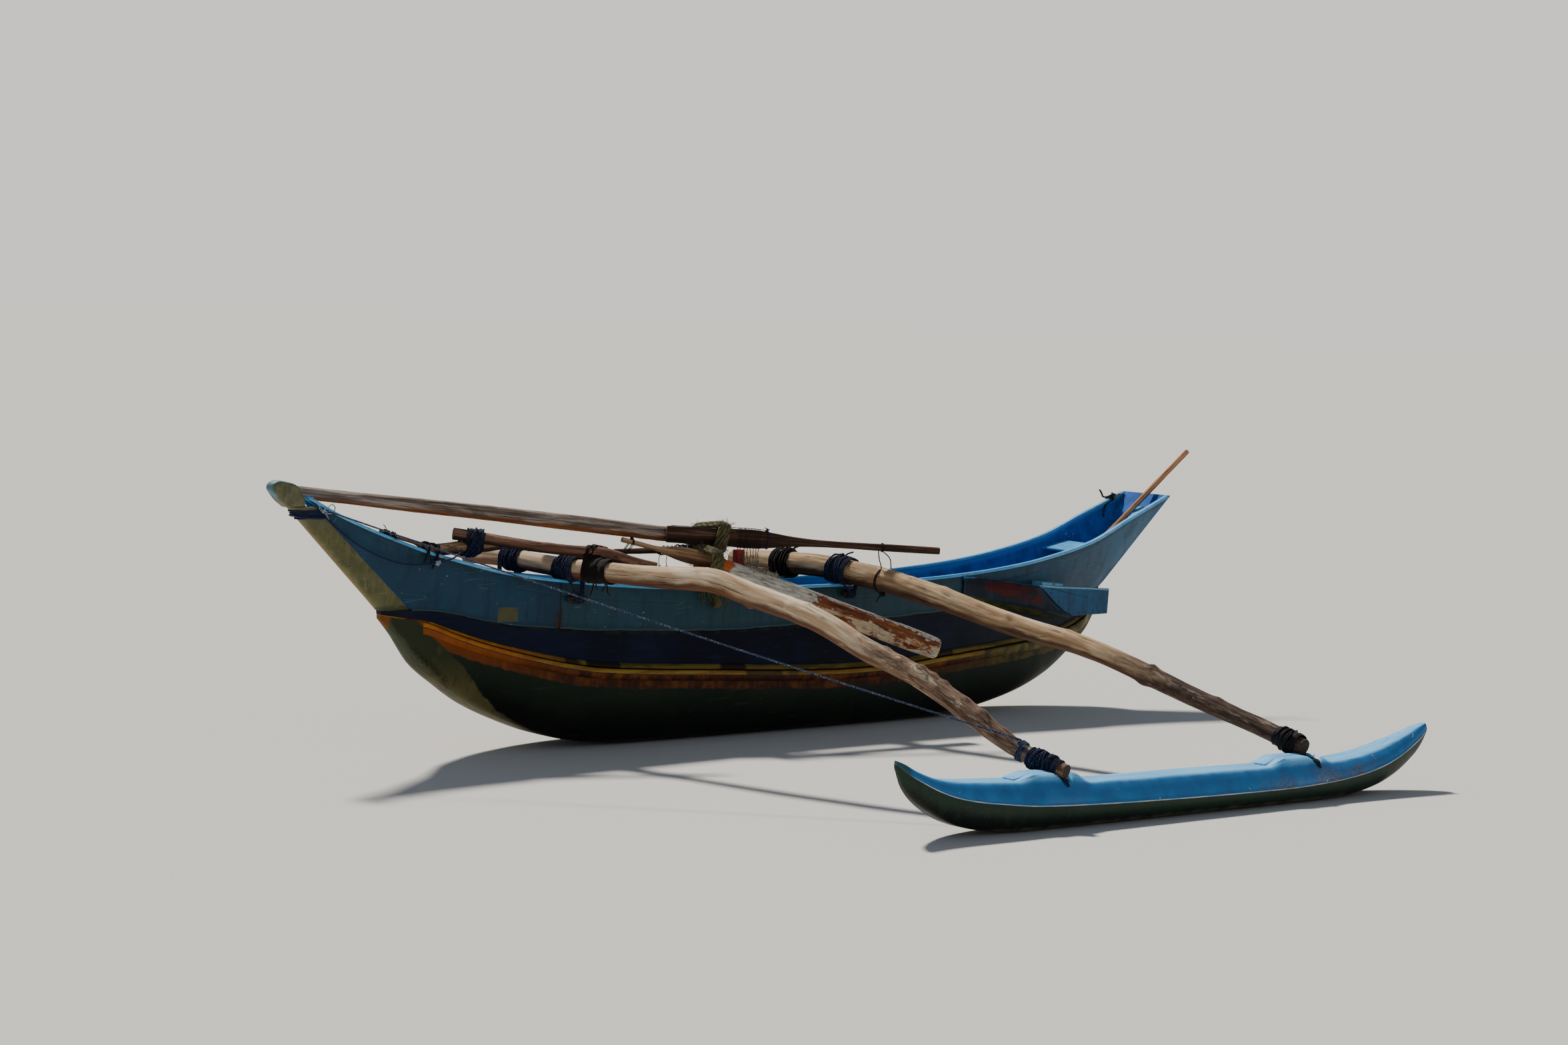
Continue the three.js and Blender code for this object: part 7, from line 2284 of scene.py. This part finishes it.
def bow_stay():
    a, b = table(STAY)
    t = np.linspace(0, 1, 1000)[:, None]
    p = a + (b - a) * t
    p[:, 2] -= 0.014 * 4 * (t * (1 - t))[:, 0]
    v, f, at = rope_mesh(p, 0.0042, 0.025, 3, 12, 0.20)
    ends = []
    s = TF.s_at(1, 2.712)
    ends.append(rope(coil(TF, s - 0.012, s + 0.020, 3, 0.0042, 77, start=60, wild=0.2), 0.0042, None, 8, curve=False))
    ends.append(knot(TF.on(s - 0.012, 62, 0.009), 0.012, 0.0040, (1.0, 0.4)))
    ends.append(rope([TF.on(s, 60, 0.008), TF.on(s + 0.02, 48, 0.014), TF.on(s + 0.05, 36, 0.010)], 0.0040, None, 8))
    rope_piece("bow_stay_rope", [(v, outward(v, f), at), *ends], STAY_ROPE, ["bow_stay"])


neck_band()
bow_stay()


# -------------------------------------------------------- coir and netting
def lumpy(path, r, seed, sides=10, lumps=0.24):
    """A thick soft strand of loose fibre."""
    p = np.asarray(path, float)
    v, f, a = rope_mesh(p, r, r * 9, 3, sides, 0.16)
    n = len(p)
    c = np.repeat(p, sides, 0)
    q = v[: n * sides]
    d = q - c
    k = 1 + lumps * fbm(q * 60 + seed, 2, seed)
    v = np.vstack([c + d * k[:, None], v[n * sides:]])
    return v, outward(v, f), a


def coir_bundle(name, circles, n, offs, r, seed, fibres, node, along_step=0.0):
    parts, skin = [], []
    mid = np.mean([np.asarray(c, float) for c, _ in circles], 0)
    for i, (o, lift) in enumerate(offs):
        p = belt(circles, n, lift, 1.04, o, along_step, 70 + 47 * i, 60)
        w = np.linspace(0, 2 * math.pi, len(p))
        p = p + unit(p - mid) * (vnoise(np.stack([w * 1.6, 0 * w + i, 0 * w], -1), seed + i) * r * 0.35)[:, None]
        p = p + np.asarray(unit(np.asarray(n, float))) * (vnoise(np.stack([w * 1.2, 0 * w + i, 0 * w + 4], -1), seed + 9 + i) * r * 0.4)[:, None]
        parts.append(lumpy(resample(p, 58), r, seed + i))
        skin.append(p + unit(p - mid) * r * 0.6)
    parts += strands_of(np.vstack(skin), int(fibres * 1.5), 0.026, 0.00085, seed, mid, 0.25)
    rope_piece(name, parts, COIR, [node])


coir_bundle("coir_lashing_oar_bundle", [((0.372, -0.040, 0.997), 0.0395), ((0.372, 0.112, 1.046), 0.013), ((0.372, 0.112, 0.980), 0.013)],
            (1.0, 0.0, 0.30), [(-0.024, 0.012), (-0.008, 0.014), (0.008, 0.013), (0.024, 0.012), (-0.015, 0.024), (0.002, 0.027), (0.016, 0.024), (0.0, 0.008)],
            0.0140, 101, 420, "coir_lashing_oar")
coir_bundle("coir_lashing_paddle_bundle", [((0.470, 0.117, 0.931), 0.010), ((0.470, 0.117, 0.872), 0.010), ((0.470, 0.199, 0.912), 0.018),
                                          ((0.470, 0.199, 0.842), 0.018)],
            (1.0, 0.05, 0.12), [(-0.024, 0.010), (-0.008, 0.012), (0.008, 0.012), (0.024, 0.010), (-0.014, 0.022), (0.002, 0.025), (0.016, 0.022)],
            0.0130, 111, 420, "coir_lashing_paddle")

TOA = path_of(OAR, 400)
TSB = path_of(STEERING_BOARD, 300)


def edge_of(rows, s, up, out=0.0):
    """A point by a blade's edge: s metres along, up as a share of its half-height, out metres sideways."""
    k = np.r_[0, np.cumsum(np.linalg.norm(np.diff(rows[:, :3], axis=0), axis=1))]
    p = np.array([np.interp(s, k, rows[:, i]) for i in range(3)])
    h = np.interp(s, k, rows[:, 3])
    _, side, upv = up_frames(rows[:, :3])
    j = int(np.abs(k - s).argmin())
    return p + upv[j] * h * up + side[j] * out


def small_gear():
    # strings that hang from the oar's blade beside the red post
    rng = np.random.default_rng(7)
    net, ties = [], []
    for i in range(9):
        s = 0.385 + 0.014 * i + rng.normal() * 0.003
        loop = [edge_of(TOA, s, u, o) for u, o in ((-0.9, -0.0165), (0.0, -0.0175), (0.96, -0.0145), (1.07, 0.0), (0.96, 0.0145), (0.0, 0.0175), (-0.9, 0.0165),
                                                  (-1.07, 0.0), (-0.9, -0.0165))]
        ties.append(rope(loop, 0.0014, 70, 5))
        top = [edge_of(TOA, s, -0.9, -0.0165), edge_of(TOA, s, -1.06, 0.0)]
        low = top[-1]
        drop = 0.085 + 0.050 * rng.random()
        hang = [low + np.array([0.004 * math.sin(k * 2 + i), 0.004 * math.cos(k + i), -drop * k / 5]) + rng.normal(size=3) * 0.0025 for k in range(1, 6)]
        net.append(rope([*top, *hang], 0.0020, 60, 6))
        if i % 2 == 0:
            net.append(knot(hang[2], 0.007, 0.0018, (i, 0.5), 6))
    for i in range(7):
        a = edge_of(TOA, 0.385 + 0.016 * i, -1.0, 0.014) - np.array([0, 0, 0.018 + 0.008 * (i % 3)])
        b = edge_of(TOA, 0.400 + 0.016 * i, -1.0, 0.014) - np.array([0, 0, 0.050 + 0.010 * (i % 2)])
        net.append(rope([a, (a + b) / 2 + rng.normal(size=3) * 0.003, b], 0.0014, 20, 6))
    rope_piece("netting_strings", net, SAND_STRING)
    # the ties round the blade take the dark string colour as painted shade, so that they sit unseen on the blade's
    # shaded face
    rope_piece("netting_ties", ties, STRING)
    # dry weed caught over the board's upper edge
    at = np.array([edge_of(TSB, s, 1.0, o) + np.array([0, 0, h]) for s in np.linspace(0.20, 0.35, 16) for o in (-0.012, 0.0, 0.012)
                   for h in (0.002, 0.010, 0.018 * math.sin((s - 0.20) / 0.15 * math.pi))])
    rng = np.random.default_rng(17)
    weed = []
    for _ in range(170):
        p = at[rng.integers(0, len(at))] + rng.normal(size=3) * np.array([0.006, 0.006, 0.002])
        d = rng.normal(size=3) * np.array([1.0, 0.8, 0.35])
        d = d / np.linalg.norm(d)
        ln = 0.030 + 0.030 * rng.random()
        u = np.linspace(-1, 1, 7)[:, None]
        q = p + d * u * ln / 2 + np.array([0, 0, -1.0]) * (u**2) * ln * 0.22 + rng.normal(size=3) * (u**2) * ln * 0.15
        v, f, a = rope_mesh(q, 0.0011 + 0.0007 * rng.random(), 1.0, 1, 4, 0.0)
        a["lobe"] = np.full(len(v), 0.2 + 0.8 * rng.random())
        weed.append((v, outward(v, f), a))
    rope_piece("dry_weed", weed, DRY)
    # thin cord along the oar's upper edge, ending in a blue knot
    line = [edge_of(TOA, s, 1.0, 0.0) + np.array([0, 0, h]) for s, h in ((0.02, 0.0022), (0.12, 0.0024), (0.22, 0.0040), (0.255, 0.012))]
    line2 = [edge_of(TOA, s, 1.0, 0.0) + np.array([0, 0, h]) for s, h in ((0.318, 0.012), (0.36, 0.006), (0.44, 0.0052), (0.52, 0.0050), (0.534, 0.004))]
    rope_piece("oar_edge_cord", [rope(line, 0.0019, 90, 7), rope(line2, 0.0019, 90, 7)], STRING)
    e = edge_of(TOA, 0.536, 1.0, 0.0) + np.array([0, 0, 0.0065])
    loop = [edge_of(TOA, 0.538, u, o) for u, o in ((1.04, 0.0), (1.0, 0.014), (0.4, 0.0195), (-0.4, 0.0195), (-1.0, 0.014), (-1.05, 0.0), (-1.0, -0.014), (-0.4, -0.0195),
                                                  (0.4, -0.0195), (1.0, -0.014), (1.06, 0.0))]
    rope_piece("oar_edge_knot", [knot(e, 0.0105, 0.0032, (0.3, 0.9)), rope(loop, 0.0028, 110, 7),
                                 rope([e, e + [0.006, -0.002, 0.010], e + [0.014, -0.004, 0.014]], 0.0026, 12, 7)], BLUE_ROPE)


def oar_string():
    o = np.array([-0.455, 0.441, 0.968])
    r = 0.0031
    t = unit(np.array([-0.92, 0.365, -0.047]))
    ring = belt([(o, 0.0196)], t, r * 0.8, 1.0, 0.0, 0.0, 250, 44)
    front = [TR.on(TR.s_at(1, 0.452) + d, w, 0.004) for d, w in ((0.0, 66), (0.002, 40), (0.003, 10), (0.001, -20), (-0.002, -50), (-0.006, -74))]
    back = [TR.on(TR.s_at(1, 0.474), w, 0.004) for w in (118, 150, 185, 220, 255)]
    knot_at = TR.on(TR.s_at(1, 0.455), -92, 0.014)
    parts = [
        rope(ring, r, 60, 7, curve=False),
        rope([ring[0] + [0.010, 0.0, -0.004], ring[6], o + [0.020, -0.003, -0.010], (o + front[0]) / 2 + [0.018, 0, 0], *front, knot_at], r, None, 7),
        rope([o + [-0.002, 0.006, -0.020], (o + back[0]) / 2 + [-0.016, 0.006, 0.0], *back, knot_at], r, None, 7),
        rope([*[TR.on(TR.s_at(1, 0.446) + d, w, 0.0035) for d, w in ((0.004, 60), (0.002, 20), (-0.003, -20), (-0.006, -66))], knot_at], r, None, 7),
        knot(knot_at, 0.014, 0.0030, (0.4, 1.2)), knot(knot_at + [-0.008, 0.004, -0.006], 0.011, 0.0028, (1.4, 0.2)),
        rope([knot_at, knot_at + [0.012, 0.004, -0.012], knot_at + [0.028, 0.006, -0.024], knot_at + [0.038, 0.002, -0.042]], r, None, 7),
        rope([knot_at, knot_at + [-0.014, 0.002, -0.004], knot_at + [-0.026, 0.004, 0.004]], r, None, 7),
    ]
    rope_piece("oar_hitch_string", parts, STRING)


def bow_gear():
    # brace pole seized to the branch
    a, b = (np.array([1.826, 0.0445, 1.0405]), 0.0285), (np.array([1.826, -0.0165, 0.9890]), 0.0330)
    n = unit(np.array([-1.0, 0.10, -0.05]))
    parts = []
    for i in range(6):
        o = -0.030 + 0.0112 * i
        parts.append(rope(belt([a, b], n, 0.0052 + 0.003 * (i % 2), 1.02, o, 0.006 * (-1) ** i, 40 * i, 90), 0.0050, None, 8, curve=False))
    s = TBP.s_at(0, 1.826)
    parts.append(rope(coil(TBP, s - 0.050, s + 0.034, 6, 0.0048, 201, lift=0.001, wild=0.5), 0.0048, None, 8, curve=False))
    parts.append(rope(coil(TBP, s - 0.030, s + 0.045, 2, 0.0044, 203, lift=0.010, wild=0.9), 0.0044, None, 8, curve=False))
    s = TBR.s_at(0, 1.826)
    parts.append(rope(coil(TBR, s - 0.055, s + 0.070, 10, 0.0052, 205, lift=0.0005, wild=0.5), 0.0052, None, 8, curve=False))
    parts.append(rope(coil(TBR, s + 0.040, s - 0.030, 2, 0.0046, 207, lift=0.011, wild=0.8), 0.0046, None, 8, curve=False))
    parts.append(rope([TBR.on(s + 0.02, -70, 0.006), TBR.on(s + 0.035, -92, 0.012), TBR.on(s + 0.05, -100, 0.022)], 0.0044, None, 8))
    rope_piece("brace_seizing", parts, FLECKED)
    # ties on the thin end of the branch
    ties = [rope(coil(TBR, 0.018, 0.050, 5, 0.0026, 211, wild=0.9), 0.0026, None, 7, curve=False),
            rope(coil(TBR, 0.085, 0.062, 3, 0.0026, 213, wild=0.9), 0.0026, None, 7, curve=False),
            rope(coil(TBR, 0.232, 0.262, 5, 0.0034, 215, wild=0.8), 0.0034, None, 7, curve=False),
            rope(coil(TBR, 0.262, 0.242, 2, 0.0032, 217, lift=0.006, wild=0.6), 0.0032, None, 7, curve=False),
            rope(coil(TBR, 0.296, 0.326, 1.6, 0.0030, 219, wild=0.3), 0.0030, None, 7, curve=False),
            rope([TBR.on(0.03, 80, 0.004), TBR.on(0.022, 92, 0.014), TBR.on(0.008, 96, 0.022)], 0.0022, None, 7)]
    rope_piece("branch_ties", ties, STRING)
    # dark strips from the branch over the gunwale and down the port side
    def over(s, pts, widths, seed, y_in=0.100):
        top = [TBR.on(s, w, 0.0045) for w in (150, 100, 55, 20)]
        x0, z0 = pts[0]
        return strip(centripetal([*top, (x0, 0.128, z0 + 0.012), (x0, 0.143, z0 + 0.004), *[(x, 0.1465 + 0.0010 * i, z) for i, (x, z) in enumerate(pts[1:])]], 70),
                     (1.0, 0.1, 0.15), widths, 0.0026, seed, 0.0016, 7, 60)
    rope_piece("rubber_strips", [
        over(0.232, [(2.165, 0.992), (2.176, 0.960), (2.192, 0.936)], (0.016, 0.016, 0.014, 0.010), 121),
        over(0.252, [(2.161, 0.990), (2.150, 0.945), (2.138, 0.912)], (0.006, 0.006, 0.006, 0.005), 122),
        over(0.300, [(2.113, 0.985), (2.116, 0.954), (2.129, 0.930), (2.146, 0.906)], (0.030, 0.028, 0.020, 0.016, 0.010), 123),
        strip(TBR.on(np.full(50, 0.246) + np.linspace(0, 0.012, 50), np.linspace(0, 400, 50), 0.0075), unit(TBR.at(0.26) - TBR.at(0.23)), 0.020, 0.0026, 124, 0.0016, 7, 50),
    ], BROWN_STRIP)
    sl = Round(np.column_stack([resample(fine, 400), np.full(400, 0.0045)]), None, 0.0)
    s = float(sl.s[np.abs(sl.p[:, 0] - 2.120).argmin()])
    rope_piece("slack_line_seizing", [rope(coil(sl, s - 0.012, s + 0.014, 5, 0.0026, 131, wild=0.2), 0.0026, None, 7, curve=False),
                                      knot(sl.on(s, -60, 0.004), 0.008, 0.0024, (0.2, 0.8), 7)], PALE_STRING)


def paddle_gear():
    # the tied stick's own rope, wound from its bow end back to the coir
    parts = [rope(coil(TTS, 0.30, 0.585, 11, 0.0046, 141, wild=0.4), 0.0046, None, 8, curve=False),
             rope(coil(TTS, 0.53, 0.40, 4, 0.0044, 143, lift=0.006, wild=0.4), 0.0044, None, 8, curve=False),
             rope([TTS.on(0.54, 90, 0.006), (0.350, -0.050, 0.955), (0.362, -0.020, 0.962), (0.372, 0.020, 0.962)], 0.0046, None, 8)]
    rope_piece("tied_stick_rope", parts, STAY_ROPE)
    a = (np.array([0.855, 0.0095, 0.9905]), 0.0135)
    b = (np.array([0.872, -0.060, 0.9378]), 0.0145)
    n = unit(np.array([-1.0, 0.22, -0.12]))
    parts = [rope(belt([a, b], n, 0.0026, 1.0, 0.0, 0.004, 30, 70), 0.0024, None, 7, curve=False),
             rope(belt([a, b], n, 0.0030, 1.0, 0.010, -0.004, 200, 70), 0.0024, None, 7, curve=False),
             knot(a[0] + [0.0, 0.004, 0.018], 0.008, 0.0024, (0.3, 0.4), 7),
             rope([a[0] + [0.0, 0.004, 0.019], a[0] + [0.010, 0.008, 0.026], a[0] + [0.016, 0.012, 0.020]], 0.0022, None, 7)]
    for x, zl in ((0.616, 0.857), (0.568, 0.853)):
        s = TTS.s_at(0, x)
        parts.append(rope(coil(TTS, s - 0.004, s + 0.004, 2, 0.0022, int(x * 1000), wild=0.3), 0.0022, None, 7, curve=False))
        parts.append(rope([TTS.on(s, -60, 0.003), (x, -0.058, 0.906), (x + 0.003, -0.060, 0.880), (x - 0.002, -0.058, zl)], 0.0020, None, 7))
        parts.append(knot((x - 0.002, -0.058, zl), 0.006, 0.0020, (x * 9, 0.4), 6))
    rope_piece("paddle_strings", parts, STRING)


def stern_gear():
    # thick rope made fast to the far gunwale near the stern
    x0 = -2.840
    g = at_x(GUNWALE, np.array([x0]))[0]
    yo, yi, zt = -(g[0] + RIM_OUT), -(g[0] - RIM_IN), g[1]
    sl = 0.50
    def at(x, y, dz):
        gg = at_x(GUNWALE, np.array([x]))[0]
        return np.array([x, y, gg[1] + dz])
    r = 0.0062
    turn = lambda x: [at(x, yi + 0.004, -0.006), at(x, yi + r + 0.001, -0.012), at(x, yi + r, -RIM_H - 0.002), at(x, (yi + yo) / 2, r + 0.0005), at(x, yo - r, 0.001)]
    loop = lambda x, d: [at(x, yi + r * 1.1, -RIM_H), at(x, yi + r * 1.0, -0.003), at(x + d * 0.2, yi - 0.002, r + 0.0012), at(x + d * 0.5, (yi + yo) / 2, r + 0.0018),
                         at(x + d * 0.8, yo - 0.001, r + 0.0008), at(x + d, yo - r * 1.0, -0.003), at(x + d, yo - r * 1.05, -RIM_H + 0.001)]
    parts = [rope(loop(x0, 0.004), r, None, 8), rope(loop(x0 + 0.0135, 0.003), r, None, 8)]
    k = at(x0 + 0.006, yi + 0.004, 0.014)
    parts.append(knot(k, 0.021, r * 0.95, (0.6, 1.1), 8))
    parts.append(rope([k, k + [0.020, 0.004, 0.004], k + [0.040, 0.002, -0.004], at(-2.775, -0.172, 0.030), at(-2.757, -0.172, 0.062), at(-2.742, -0.176, 0.086)], r * 0.9, None, 8))
    hang = [k, at(-2.812, yi + 0.012, -0.004)]
    hang += [np.array([x, -(inner_half(x, z, 0.0) - 0.0075), z]) for x, z in ((-2.790, 1.105), (-2.775, 1.085), (-2.766, 1.062), (-2.758, 1.040))]
    parts.append(rope(hang, r * 0.8, None, 8))
    rope_piece("stern_rope", parts, GREEN_ROPE)
    x1 = -2.882
    lip = [at(x1 + 0.020, yi + 0.0035, -0.012), at(x1 + 0.017, yi + 0.003, 0.001), at(x1 + 0.012, (yi + yo) / 2 + 0.004, 0.0028), at(x1 + 0.004, yo + 0.001, 0.0028),
           at(x1 - 0.002, yo - 0.0035, -0.006), at(x1 - 0.006, yo - 0.004, -RIM_H - 0.004)]
    rope_piece("stern_strap", [strip(centripetal(lip, 44), (1.0, 0.0, 0.4), 0.020, 0.0026, 151, 0.0012, 9, 44),
                               strip(centripetal([lip[1], at(x1 - 0.012, yi + 0.004, -0.001), at(x1 - 0.030, yi + 0.0045, -0.014), at(x1 - 0.034, yi + 0.0050, -0.034)], 34),
                                     (0.6, 0.1, 0.8), (0.014, 0.012, 0.007), 0.0024, 153, 0.0012, 7, 34)], SAND_ROPE)


SAND_STRING = rope_mat("string_sandy", "#2c2620", "#8d8474")
DRY = rope_mat("dry_weed", "#5a5140", "#cfc6ad", rough=0.95)
small_gear()
oar_string()
bow_gear()
paddle_gear()
stern_gear()
